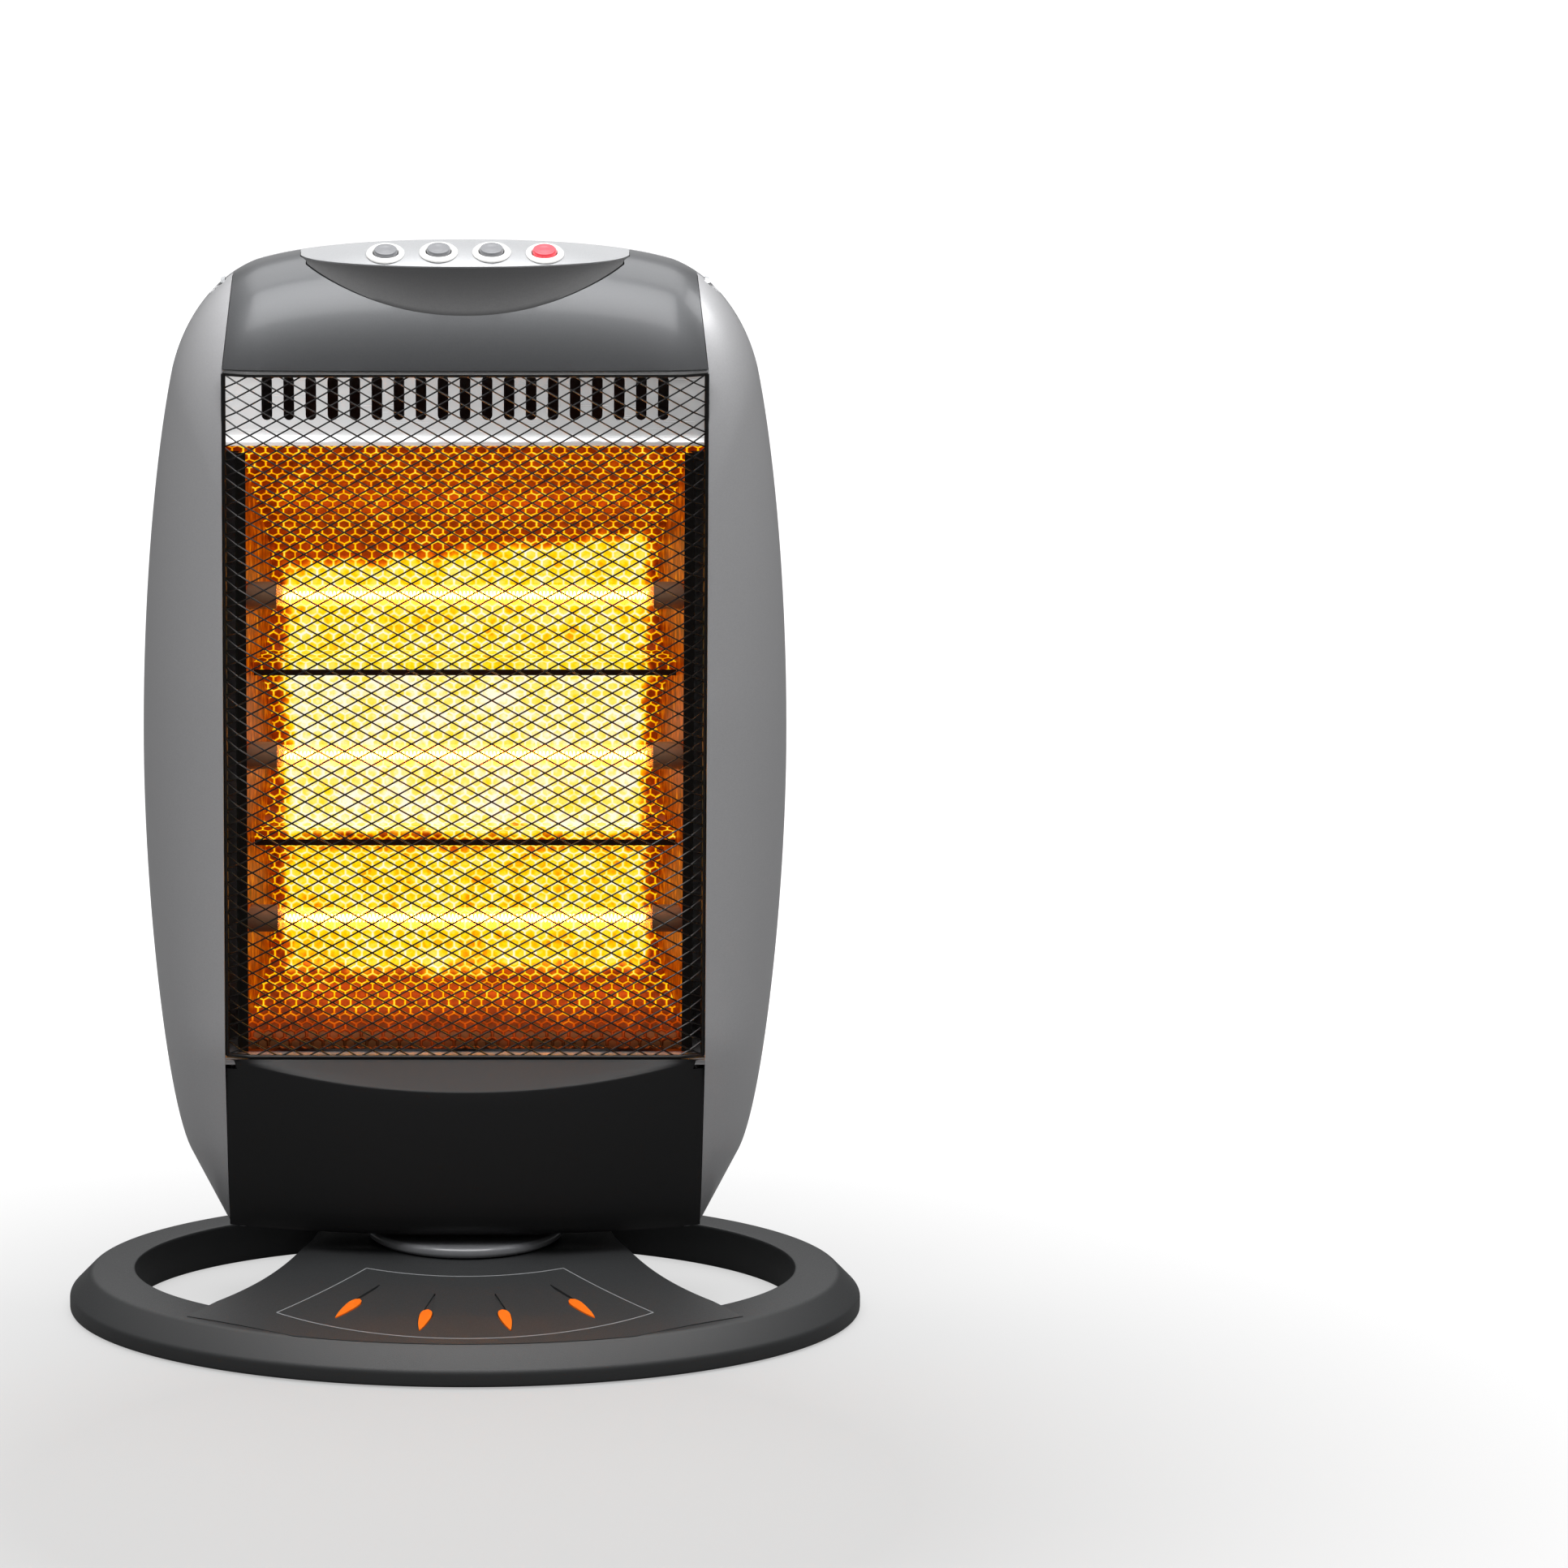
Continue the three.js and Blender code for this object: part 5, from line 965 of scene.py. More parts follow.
class HEATER_OT_shells(bpy.types.Operator):
    """Silver front and rear shells with the seam between them"""
    bl_idname = "heater.shells"
    bl_label = "Shells"

    def execute(self, context):
        s = sizes()
        silver = lacquer("Silver_lacquer_on_moulded_ABS", colours().silver[:], 0.4, 0.4)
        seam_front, seam_rear = SEAM_Y - SEAM_BAND / 2, SEAM_Y + SEAM_BAND / 2
        floor, above = s.head_bottom + s.shell_wall, s.head_top + mm(10)

        front = cut(shell_walls("front_cheeks"),
                    pushed("opening", window_outline(0, floor, above), -FAR, FAR))
        jamb = cut(
            pushed("jamb", window_outline(
                s.shell_wall * 0.8, floor - mm(1), s.head_top - mm(24)), -FAR, FAR),
            pushed("way", window_outline(0, floor - mm(3), above), -2 * FAR, 2 * FAR))
        front = fused(front, shared(jamb, pillow("jamb_limit", mm(0.4))))
        half = window_half() + mm(1)
        for level, up, lead in LEDGES:
            z = level() + up
            ledge = block("ledge", (-half, lead, z - LEDGE_THICKNESS), (half, mm(10), z))
            front = fused(front, shared(ledge, pillow("ledge_limit", mm(0.6))))
        front = seam_holes(cut(front, room("behind_seam", y=(seam_front, FAR))))
        dress(front, silver, "head", ["front_shell"], 32)

        half = s.head_half_width - mm(66.9)
        low, high = s.head_bottom + mm(44.5), s.head_top - mm(100.6)
        opening = rounded([(-half, low), (half, low), (half, high), (-half, high)], mm(10))
        rear = cut(shell_walls("rear_cover"), pushed("rear_opening", opening, SEAM_Y, FAR),
                   room("before_seam", y=(-FAR, seam_rear)))
        dress(seam_holes(rear), silver, "head", ["rear_shell"], 32)

        band = shared(shell_walls("seam_band"), pillow("band_size", mm(0.7)),
                      room("band_reach", y=(seam_front, seam_rear)))
        strip = moulded(
            "Grey_ABS_seam_strip", shade(colours().silver[:], 0.45), 0.5, mm(0.8), mm(0.02))
        dress(seam_holes(band), strip, "head")
        return {"FINISHED"}


# ----------------------------------------------------------------------------
# Control unit and top panel
# ----------------------------------------------------------------------------

CONTROL_HALF = mm(77)
CRESCENT_HALF = mm(74)
CONTROL_TIP_Y = mm(8)
CONTROL_DEPTH = mm(19.5)
CRESCENT_DEPTH = mm(28.8)
CONTROL_RISE = mm(5)
CONTROL_PROUD = mm(0.6)
CONTROL_THICKNESS = mm(2.2)
CONTROL_CROWN = mm(0.8)
UNIT_STEPS = 48


def unit_share(x, power):
    side = min(1, abs(x) / (CONTROL_HALF + mm(1)))
    return (1 - side ** 2.2) ** power


def lens_edge(x):
    return CONTROL_TIP_Y - CONTROL_DEPTH * unit_share(x, 0.4)


def crescent_edge(x):
    return CONTROL_TIP_Y - CRESCENT_DEPTH * unit_share(x, 0.45)


def lens_height(x, y):
    """Height of the silver lens over a place."""
    front = lens_edge(x)
    low = dome_height(x, front) + CONTROL_RISE * unit_share(x, 1) + CONTROL_PROUD
    high = sizes().head_top - crown_fall(x) + CONTROL_PROUD
    t = (y - front) / (SEAM_Y - front)
    return low + (high - low) * t + CONTROL_CROWN * unit_share(x, 1) * 4 * t * (1 - t)


def unit_loft(name, half, section):
    rings = []
    for i in range(UNIT_STEPS + 1):
        x = -half * math.cos(math.pi * i / UNIT_STEPS)
        rings.append([(x, y, z) for y, z in section(x)])
    return loft(name, rings)


def lens_body(name, drop, depth):
    def section(x):
        front, back = lens_edge(x), SEAM_Y - TOUCH
        steps = 10
        top = [
            (y, lens_height(x, y) - drop)
            for y in (front + (back - front) * i / steps for i in range(steps + 1))
        ]
        nose = [(front + mm(0.1), top[0][1] - mm(0.5))]
        return top + [(y, z - depth) for y, z in reversed(top)] + nose
    return unit_loft(name, CONTROL_HALF, section)


def crescent_body(name):
    """The dark strip below the lens, hollowed a little under its edge."""
    def section(x):
        upper_y, lower_y = lens_edge(x), crescent_edge(x)
        upper_z = lens_height(x, upper_y) - 2 * TOUCH
        lower_z = dome_height(x, lower_y) + CONTROL_PROUD
        thick = min(CONTROL_THICKNESS, (upper_y - lower_y) * 0.6)
        face = []
        steps = 8
        for i in range(steps + 1):
            t = i / steps
            dip = mm(0.9) * unit_share(x, 1) * 4 * t * (1 - t)
            face.append((
                lower_y + (upper_y - TOUCH - lower_y) * t + dip,
                lower_z + (upper_z - lower_z) * t - dip,
            ))
        return face + [
            (upper_y - TOUCH, upper_z - CONTROL_THICKNESS * 1.6),
            (lower_y + thick, lower_z - sizes().shell_wall),
            (lower_y, lower_z - sizes().shell_wall),
        ]
    return unit_loft(name, CRESCENT_HALF, section)


def unit_plan():
    """Plan of the opening that the control unit sits in."""
    tip, corner = CONTROL_HALF + TOUCH, CRESCENT_HALF + 2 * TOUCH
    tip_y = lens_edge(CONTROL_HALF) - 2 * TOUCH
    corner_y = lens_edge(CRESCENT_HALF) - 2 * TOUCH
    front = [
        (corner * share, crescent_edge(CRESCENT_HALF * share) - TOUCH)
        for share in (-math.cos(math.pi * i / UNIT_STEPS) for i in range(UNIT_STEPS + 1))
    ]
    sides = [(-tip, tip_y), (-corner, corner_y)]
    return sides + front + [(-x, y) for x, y in reversed(sides)] + [
        (tip, SEAM_Y + mm(5)), (-tip, SEAM_Y + mm(5))]


class HEATER_OT_top_panel(bpy.types.Operator):
    """Gunmetal top panel, the silver lens and the dark crescent between them"""
    bl_idname = "heater.top_panel"
    bl_label = "Top panel"

    def execute(self, context):
        s = sizes()
        low = grille_top() + TOUCH
        field = shared(
            pushed("top_field", window_outline(-TOUCH, low - mm(50), s.head_top + mm(10)),
                   -FAR, SEAM_Y - SEAM_BAND / 2),
            room("above_grille", z=(low, 2 * FAR)))
        panel = cut(pillow("top_cowl", mm(-0.5)), pillow("top_inner", s.shell_wall))
        panel = cut(shared(panel, field),
                    raised("unit_opening", unit_plan(), low, s.head_top + FAR))
        gunmetal = lacquer("Gunmetal_lacquer_on_moulded_ABS", colours().gunmetal[:], 0.36, 0.5)
        dress(panel, gunmetal, "head", ["top_panel"], 32)

        matte = moulded("Matte_grey_ABS", colours().crescent[:], 0.6, mm(0.6), mm(0.02))
        dress(crescent_body("control_strip"), matte, "head", ["control_crescent"],
              40)

        hole, depth = BUTTON_RADIUS + BUTTON_GAP, mm(30)
        lens = lens_body("control_lens", 0, CONTROL_THICKNESS)
        for index in range(BUTTON_COUNT):
            drill = turned("hole", [
                (mm(0.01), -depth), (hole, -depth), (hole, depth), (mm(0.01), depth)], 40)
            lens = cut(lens, on_button_axis(drill, index))
        pale = lacquer("Pale_silver_lacquer_on_ABS", colours().pale_silver[:], 0.3, 0.55)
        dress(lens, pale, "head", ["control_panel"], 40)
        return {"FINISHED"}


# ----------------------------------------------------------------------------
# Buttons
# ----------------------------------------------------------------------------

BUTTON_COUNT = 4
BUTTON_PITCH = mm(24.8)
BUTTON_Y = mm(-0.5)
BUTTON_TILT = math.radians(20)
BUTTON_RADIUS = mm(5.6)
BUTTON_GAP = mm(0.4)
BUTTON_RISE = mm(1.2)
BUTTON_BODY = mm(5.4)
COLLAR_RADIUS = mm(9.4)
COLLAR_RISE = mm(1.3)
STEM_RADIUS = mm(2.4)
STEM_LENGTH = mm(9)


def on_button_axis(body, index):
    """Moves a body from the origin, its axis upright, to a button's place and tilt."""
    x = (index - (BUTTON_COUNT - 1) / 2) * BUTTON_PITCH
    place = Matrix.Translation((x, BUTTON_Y, lens_height(x, BUTTON_Y)))
    body.data.transform(place @ Matrix.Rotation(BUTTON_TILT, 4, "X"))
    return body


class HEATER_OT_buttons(bpy.types.Operator):
    """Four press buttons in white collars: three grey ones and a red one"""
    bl_idname = "heater.buttons"
    bl_label = "Buttons"

    def execute(self, context):
        white = moulded("Gloss_white_ABS", colours().white[:], 0.22, mm(1.5), mm(0.008))
        grey, red = (
            moulded(name, colour[:], 0.2, mm(1.5), mm(0.008), Coat_Weight=0.3)
            for name, colour in (
                ("Gloss_grey_ABS", colours().grey), ("Gloss_red_ABS", colours().red))
        )
        inner = BUTTON_RADIUS + BUTTON_GAP
        top = COLLAR_RISE + BUTTON_RISE
        foot = top - BUTTON_BODY
        for index in range(BUTTON_COUNT):
            collar = turned("collar_%d" % (index + 1), rounded([
                (inner, mm(-3)), (COLLAR_RADIUS, mm(-3)), (COLLAR_RADIUS, COLLAR_RISE - mm(1.3)),
                (COLLAR_RADIUS - mm(1.4), COLLAR_RISE - mm(0.1)),
                (inner + mm(1.0), COLLAR_RISE), (inner, COLLAR_RISE - mm(0.8)),
            ], mm(0.7)), 72)
            collar = cut(on_button_axis(collar, index), lens_body("seat", -TOUCH, mm(20)))
            dress(collar, white, "head", ["button_collar_%d" % (index + 1)])
            cap = turned("cap_%d" % (index + 1), [
                (mm(0.02), top - mm(0.5)), (BUTTON_RADIUS * 0.55, top - mm(0.38)),
                (BUTTON_RADIUS - mm(1.0), top), (BUTTON_RADIUS - mm(0.35), top - mm(0.2)),
                (BUTTON_RADIUS, top - mm(0.8)), (BUTTON_RADIUS, foot),
                (STEM_RADIUS, foot), (STEM_RADIUS, foot - STEM_LENGTH),
                (mm(0.02), foot - STEM_LENGTH),
            ], 56)
            last = index == BUTTON_COUNT - 1
            dress(on_button_axis(cap, index), red if last else grey,
                  "button_%d" % (index + 1), ["button_%d" % (index + 1)])
        return {"FINISHED"}


# ----------------------------------------------------------------------------
# Bottom panel
# ----------------------------------------------------------------------------

PANEL_BULGE = mm(11.2)
PANEL_PROFILE = [
    (0.05, 0.62), (0.075, 0.74), (0.12, 0.84), (0.18, 0.89), (0.25, 0.92), (0.36, 0.955),
    (0.47, 0.98), (0.58, 1.01), (0.69, 1.03), (0.78, 1.03), (0.855, 1.02), (0.862, 1.005),
    (0.868, 0.97), (0.935, 0.5), (1.0, 0.0),
]
PANEL_BACK = mm(-8)
PANEL_WALL = mm(2.5)
LEDGE_FOOT = 0.862
LEDGE_BLEND = 0.69


def panel_ring(z, share, inset, back):
    low = sizes().head_bottom
    t = min(1, (z - low) / BOTTOM_PANEL_HEIGHT)
    half = window_half() - WINDOW_BOTTOM_TAPER * (1 - t) - TOUCH - inset
    side_y = front_depth(z) + inset
    ring = []
    steps = 72
    for i in range(steps + 1):
        x = -half * math.cos(math.pi * i / steps)
        bow = 1 - (abs(x) / half) ** 2.3
        lead = (PANEL_BULGE + (side_y - inset - sizes().front_y)) * share * bow
        arc = 1 - (1 - LEDGE_FOOT) * max(0.03, 1 - (x / half) ** 2)
        level = t
        if inset == 0 and t > LEDGE_BLEND:
            if t < LEDGE_FOOT:
                share_up = (t - LEDGE_BLEND) / (LEDGE_FOOT - LEDGE_BLEND)
                level = LEDGE_BLEND + share_up * (arc - LEDGE_BLEND)
            else:
                level = arc + (t - LEDGE_FOOT) / (1 - LEDGE_FOOT) * (1 - arc)
        ring.append((x, side_y - lead, z + (level - t) * BOTTOM_PANEL_HEIGHT))
    return ring + [(half, back, z), (-half, back, z)]


class HEATER_OT_bottom_panel(bpy.types.Operator):
    """Black panel below the grille, bowed out and stepped back at its top"""
    bl_idname = "heater.bottom_panel"
    bl_label = "Bottom panel"

    def execute(self, context):
        s = sizes()
        height = grille_bottom() - TOUCH - s.head_bottom
        shares = [share for _, share in PANEL_PROFILE]
        levels = [s.head_bottom + up * height for up, _ in PANEL_PROFILE]
        panel = loft("bottom_apron", [
            panel_ring(z, share, 0, PANEL_BACK) for z, share in zip(levels, shares)])
        levels[0] += PANEL_WALL
        levels[-1] -= PANEL_WALL
        hollow = [
            panel_ring(z, share, PANEL_WALL, PANEL_BACK + mm(5))
            for z, share in zip(levels, shares)
        ]
        relief = shared(pillow("relief", 2 * TOUCH), room(
            "relief_reach", z=(-FAR, s.head_bottom + s.shell_wall + mm(4))))
        panel = cut(
            panel, loft("panel_hollow", [hollow[0]] + hollow[3:10] + hollow[-2:]),
            room("ledge_room", y=(s.front_y + mm(3), FAR), z=(grille_bottom() - mm(5), FAR)),
            room("panel_back", y=(PANEL_BACK - mm(3), FAR)), relief)
        black = moulded("Satin_black_ABS", colours().black[:], 0.45, mm(0.8), mm(0.015),
                        Specular_IOR_Level=0.28)
        dress(panel, black, "head", ["bottom_panel"], 28)
        return {"FINISHED"}


# ----------------------------------------------------------------------------
# Grille
# ----------------------------------------------------------------------------

GRILLE_BULGE = mm(7.2)
GRILLE_SET = mm(3)
CURL = mm(5)
CURL_POWER = 40
RAIL_RADIUS = mm(1.1)


def wire_net_tree():
    """Two families of straight wires, laid over a field and bent to its bulge. Inputs are the
    field's size, the half pitches, the counts and the wire's thickness."""
    tree, given, keys = node_tree(
        "Wire net",
        Float=("Half width", "Low", "Height", "Half pitch across", "Half pitch up",
               "Wire radius", "Edge depth", "Bulge", "Curl"),
        Int=("Rows", "Wires"), Material=("Finish",))
    half, low, height = given["Half width"], given["Low"], given["Height"]
    reach = given["Rows"] * given["Half pitch across"]
    rise = given["Rows"] * given["Half pitch up"]
    step = signal(tree, "ShaderNodeCombineXYZ", {"X": given["Half pitch across"] * 2.0})
    families = add(tree, "GeometryNodeJoinGeometry")
    for lean in (1.0, -1.0):
        start = half * -1.0 - reach if lean > 0 else half * -1.0
        row = signal(tree, "GeometryNodeMeshLine", {
            "Count": given["Wires"], "Offset": step,
            "Start Location": signal(tree, "ShaderNodeCombineXYZ", {"X": start, "Z": low}),
        }, mode="OFFSET")
        wire = signal(tree, "GeometryNodeCurvePrimitiveLine", {
            "Start": (0, 0, 0),
            "End": signal(tree, "ShaderNodeCombineXYZ", {"X": reach * lean, "Z": rise})})
        laid = signal(tree, "GeometryNodeInstanceOnPoints", {"Points": row, "Instance": wire})
        feed(tree, families, {0: signal(
            tree, "GeometryNodeRealizeInstances", {"Geometry": laid})})
    knots = signal(tree, "GeometryNodeResampleCurve", {
        "Curve": Signal(tree, families.outputs[0]), "Count": given["Rows"] + 1.0})

    x, _, z = axes_of(tree, signal(tree, "GeometryNodeInputPosition"))
    side = abs(x)
    outside = signal(tree, "FunctionNodeCompare", {
        0: side, 1: half + mm(0.4)}, data_type="FLOAT", operation="GREATER_THAN")
    kept = signal(tree, "GeometryNodeDeleteGeometry", {
        "Geometry": knots, "Selection": outside}, domain="POINT")
    across = side / half
    up = abs((z - (low + height * 0.5)) / (height * 0.5))
    lead = given["Bulge"] * ((1.0 - across ** 8.0) * (1.0 - up ** 6.0))
    depth = given["Edge depth"] - lead + given["Curl"] * across ** float(CURL_POWER)
    bent = signal(tree, "GeometryNodeSetPosition", {
        "Geometry": kept, "Offset": signal(tree, "ShaderNodeCombineXYZ", {"Y": depth})})
    hand_out(tree, swept(tree, bent, given["Wire radius"], 5), given["Finish"])
    return tree, keys


class HEATER_OT_grille(bpy.types.Operator):
    """Black diamond net in front of the lamps, with its edge wire"""
    bl_idname = "heater.grille"
    bl_label = "Grille"

    def execute(self, context):
        s = sizes()
        half = window_half() - mm(0.9)
        low = grille_bottom() + mm(1.0)
        height = grille_top() - mm(1.0) - low
        columns = round(2 * half / s.net_pitch_x)
        rows = round(2 * height / s.net_pitch_z)
        black = enamelled_steel("Black_enamelled_steel_wire", linear("#050404"))
        edge = s.front_y + GRILLE_SET
        net = grown("net_wires", wire_net_tree(), {
            "Half width": half, "Low": low, "Height": height,
            "Half pitch across": half / columns, "Half pitch up": height / rows,
            "Wire radius": s.net_wire / 2, "Edge depth": edge, "Bulge": GRILLE_BULGE,
            "Curl": CURL, "Rows": rows, "Wires": columns + rows // 2 + 1, "Finish": black,
        })
        rail_y = edge + CURL * 0.9
        paths = [[(x, rail_y, low), (x, rail_y, low + height)] for x in (-half, half)]
        for z in (low, low + height):
            paths.append([
                (half * (i / 10), edge + CURL * abs(i / 10) ** CURL_POWER, z)
                for i in range(-10, 11)])
        rails = joined_as_one("rails", [bar("rail", path, RAIL_RADIUS) for path in paths])
        rails.data.materials.append(black)
        grille = joined_as_one("wire_grille", [net, rails])
        grille.data.materials.append(black)
        dress(grille, black, "head", ["grille"], 50)
        return {"FINISHED"}


# ----------------------------------------------------------------------------
# Reflector and lamps
# ----------------------------------------------------------------------------

MIRROR_TOP_Y = mm(-22.5)
MIRROR_FOOT_Y = mm(-15)
MIRROR_HEIGHT = mm(33)
LIP_HEIGHT = mm(12)
TROUGH_FRONT_Y = mm(-13)
TROUGH_BACK_Y = mm(21)
TROUGH_FOOT_Y = mm(-18)
RIDGE_Y = mm(-2)
RIDGE_DOWN = (mm(147), mm(229.5))
RIDGE_BAND = mm(3.2)
SLOT_COUNT = 19
SLOT_MARGIN = mm(21)
SLOT_WIDTH = mm(5)
SLOT_LENGTH = mm(22)
LAMP_DOWN = (mm(111), mm(188.25), mm(267.5))
LAMP_Y = mm(-5)
BAY_REACH = mm(27)
LAMP_RADIUS = mm(5)
CAP_MARGIN = mm(7.8)
CAP_LENGTH = mm(17)
CAP_INSET = mm(12)
BRACKET_FLANGE = mm(5)
BRACKET_FRONT = mm(5.8)
BRACKET_REAR = mm(20.8)
BRACKET_FRONT_Y = mm(-21)
BRACKET_REAR_Y = mm(20)
SHEET = mm(1)
# Painted reflections of the lamps on the reflector: the lit half length, and for each bay its low
# and high edge, share and whether it slopes.
PAINTED_FLOOD_HALF = mm(86)
PAINTED_FLOODS = ((mm(164), mm(225), 0.5, False), (mm(233), mm(314), 0.68, False),
          (mm(314), mm(367), 0.53, True))


def bay(high, low, front_high, front_low, lamp_z, steps=34):
    """Side section of a trough: a parabola with the lamp in its focus. A side that runs far
    beyond the lamp goes straight on to its front edge."""
    focus = TROUGH_BACK_Y - LAMP_Y

    def curve(z):
        return TROUGH_BACK_Y - (z - lamp_z) ** 2 / (4 * focus)

    points = []
    for i in range(1, steps):
        z = high + (low - high) * i / steps
        y = curve(z)
        for end, front in ((high, front_high), (low, front_low)):
            side = 1 if end > lamp_z else -1
            knee = lamp_z + side * BAY_REACH
            if abs(end - lamp_z) > 2 * BAY_REACH and (z - knee) * side > 0:
                share = (z - knee) / (end - knee)
                y = curve(knee) + (front - curve(knee)) * share
        points.append((y, z))
    return points


def reflector_profile():
    """Side section (y, z) of the reflector, from its top edge to its foot."""
    top = grille_top()
    mirror_foot = top - MIRROR_HEIGHT
    trough_top = mirror_foot - LIP_HEIGHT
    upper, lower = (top - down for down in RIDGE_DOWN)
    foot = grille_bottom() + TOUCH
    mirror = [(MIRROR_TOP_Y, top - mm(2.6)), (MIRROR_FOOT_Y, mirror_foot)]
    lip = [
        (MIRROR_FOOT_Y - mm(2.6), mirror_foot - mm(0.9)),
        (MIRROR_FOOT_Y - mm(4), mirror_foot - mm(2.2)),
        (MIRROR_FOOT_Y - mm(3.5), mirror_foot - mm(4)),
    ]
    bays = [(TROUGH_FRONT_Y, trough_top)]
    lamps = [top - down for down in LAMP_DOWN]
    bays += bay(trough_top, upper + RIDGE_BAND, TROUGH_FRONT_Y, RIDGE_Y, lamps[0])
    bays += [(RIDGE_Y, upper - RIDGE_BAND * side) for side in (-1, 0.1, 1)]
    bays += bay(upper - RIDGE_BAND, lower + RIDGE_BAND, RIDGE_Y, RIDGE_Y, lamps[1])
    bays += [(RIDGE_Y, lower - RIDGE_BAND * side) for side in (-1, 0.1, 1)]
    bays += bay(lower - RIDGE_BAND, foot + mm(4), RIDGE_Y, TROUGH_FOOT_Y, lamps[2])
    bays += [(TROUGH_FOOT_Y, foot + SHEET)]
    return mirror, lip, bays


def unroll(body, profile):
    """Gives a drawn sheet a map in metres: across, and along its section."""
    lengths = [0.0]
    for a, b in zip(profile, profile[1:]):
        lengths.append(lengths[-1] + math.dist(a, b))
    layer = body.data.uv_layers.new(name="sheet")
    for loop in body.data.loops:
        x, y, z = body.data.vertices[loop.vertex_index].co
        best, along = None, 0.0
        for (a, b), start in zip(zip(profile, profile[1:]), lengths):
            ab = Vector(b) - Vector(a)
            t = min(1, max(0, (Vector((y, z)) - Vector(a)).dot(ab) / ab.length_squared))
            distance = (Vector(a) + ab * t - Vector((y, z))).length
            if best is None or distance < best:
                best, along = distance, start + ab.length * t
        layer.data[loop.index].uv = (x, along)


def sheet_body(name, profile, half):
    """A sheet of even thickness behind a side section, drawn from side to side."""
    section = profile + beside(profile, SHEET)[::-1]
    return loft(name, [[(x, y, z) for y, z in section] for x in (-half, half)])


def bracket_plan(side, grow=0.0):
    """Plan of the room beside a lamp bracket."""
    half = window_half()
    front_x, rear_x = half - BRACKET_FRONT - grow, half - BRACKET_REAR - grow
    plan = [
        (front_x, BRACKET_FRONT_Y - mm(20)), (front_x, BRACKET_FRONT_Y),
        (rear_x, BRACKET_REAR_Y), (rear_x, BRACKET_REAR_Y + mm(40)),
        (half + mm(10), BRACKET_REAR_Y + mm(40)), (half + mm(10), BRACKET_FRONT_Y - mm(20)),
    ]
    return [(side * x, y) for x, y in plan]


def slot_tree():
    """A row of round-ended slot cutters. Inputs are their count, pitch and place."""
    tree, given, keys = node_tree(
        "Slot row", Int=("Count",), Vector=("First",),
        Float=("Pitch", "Radius", "Length", "Depth"), Material=("Finish",))
    row = signal(tree, "GeometryNodeMeshLine", {
        "Count": given["Count"], "Start Location": given["First"],
        "Offset": signal(tree, "ShaderNodeCombineXYZ", {"X": given["Pitch"]}),
    }, mode="OFFSET")
    plan = signal(tree, "GeometryNodeCurvePrimitiveQuadrilateral", {
        "Width": given["Radius"] * 2.0, "Height": given["Length"]})
    soft = signal(tree, "GeometryNodeFilletCurve", {
        "Curve": plan, "Radius": given["Radius"] * 0.999, "Count": 8}, mode="POLY")
    spine = signal(tree, "GeometryNodeCurvePrimitiveLine", {
        "Start": (0, 0, 0),
        "End": signal(tree, "ShaderNodeCombineXYZ", {"Z": given["Depth"]})})
    solid = signal(tree, "GeometryNodeCurveToMesh", {
        "Curve": spine, "Profile Curve": soft, "Fill Caps": True})
    tipped = signal(tree, "GeometryNodeTransform", {
        "Geometry": solid, "Rotation": (math.radians(90), 0.0, 0.0)})
    laid = signal(tree, "GeometryNodeInstanceOnPoints", {"Points": row, "Instance": tipped})
    hand_out(tree, laid, given["Finish"])
    return tree, keys


MATERIAL_BAYS, MATERIAL_MIRROR, MATERIAL_SHADED_FOLD, MATERIAL_BACK = range(4)


class HEATER_OT_reflector(bpy.types.Operator):
    """Bright reflector with three bays, its embossing and the slotted mirror above them"""
    bl_idname = "heater.reflector"
    bl_label = "Reflector"

    def execute(self, context):
        mirror, lip, bays = reflector_profile()
        profile = mirror + lip + bays
        body = sheet_body("bright_reflector", profile, window_half() - TOUCH)
        limit = grille_top() - mm(40) + TOUCH
        for side in (-1, 1):
            body = cut(body, raised("bracket_room", bracket_plan(side, TOUCH), 0, limit))
        plain = polished_aluminium()
        pitch = 2 * (window_half() - SLOT_MARGIN) / (SLOT_COUNT - 1)
        slots = grown("slots", slot_tree(), {
            "Count": SLOT_COUNT,
            "First": (-pitch * (SLOT_COUNT - 1) / 2, mm(-8),
                      grille_top() - mm(3) - SLOT_LENGTH / 2),
            "Pitch": pitch, "Radius": SLOT_WIDTH / 2, "Length": SLOT_LENGTH,
            "Depth": mm(40), "Finish": plain,
        })
        turn_outwards(slots)
        body = cut(body, slots)
        unroll(body, profile)
        body.data.materials.clear()
        for material in (embossed_aluminium(), plain, fold_painted_shade(), mill_aluminium()):
            body.data.materials.append(material)
        lip_foot = lip[-1][1] - mm(2)
        ridges = [grille_top() - down for down in RIDGE_DOWN]
        for face in body.data.polygons:
            height = face.center[2]
            face.material_index = MATERIAL_MIRROR if height > lip_foot else MATERIAL_BAYS
            # Painted shade: the ridge folds get the dark fold finish.
            if any(0 < ridge - height < RIDGE_BAND for ridge in ridges):
                face.material_index = MATERIAL_SHADED_FOLD
            if face.normal[1] > -0.02:
                face.material_index = MATERIAL_BACK
        dress(body, plain, "head", ["reflector"], 30)
        return {"FINISHED"}


CAP_RADIUS = mm(6.5)
CAP_HOLE = mm(6.8)
CAP_RIM = mm(0.7)
COIL_SIZE = mm(1.8)
COIL_WIRE = mm(0.4)


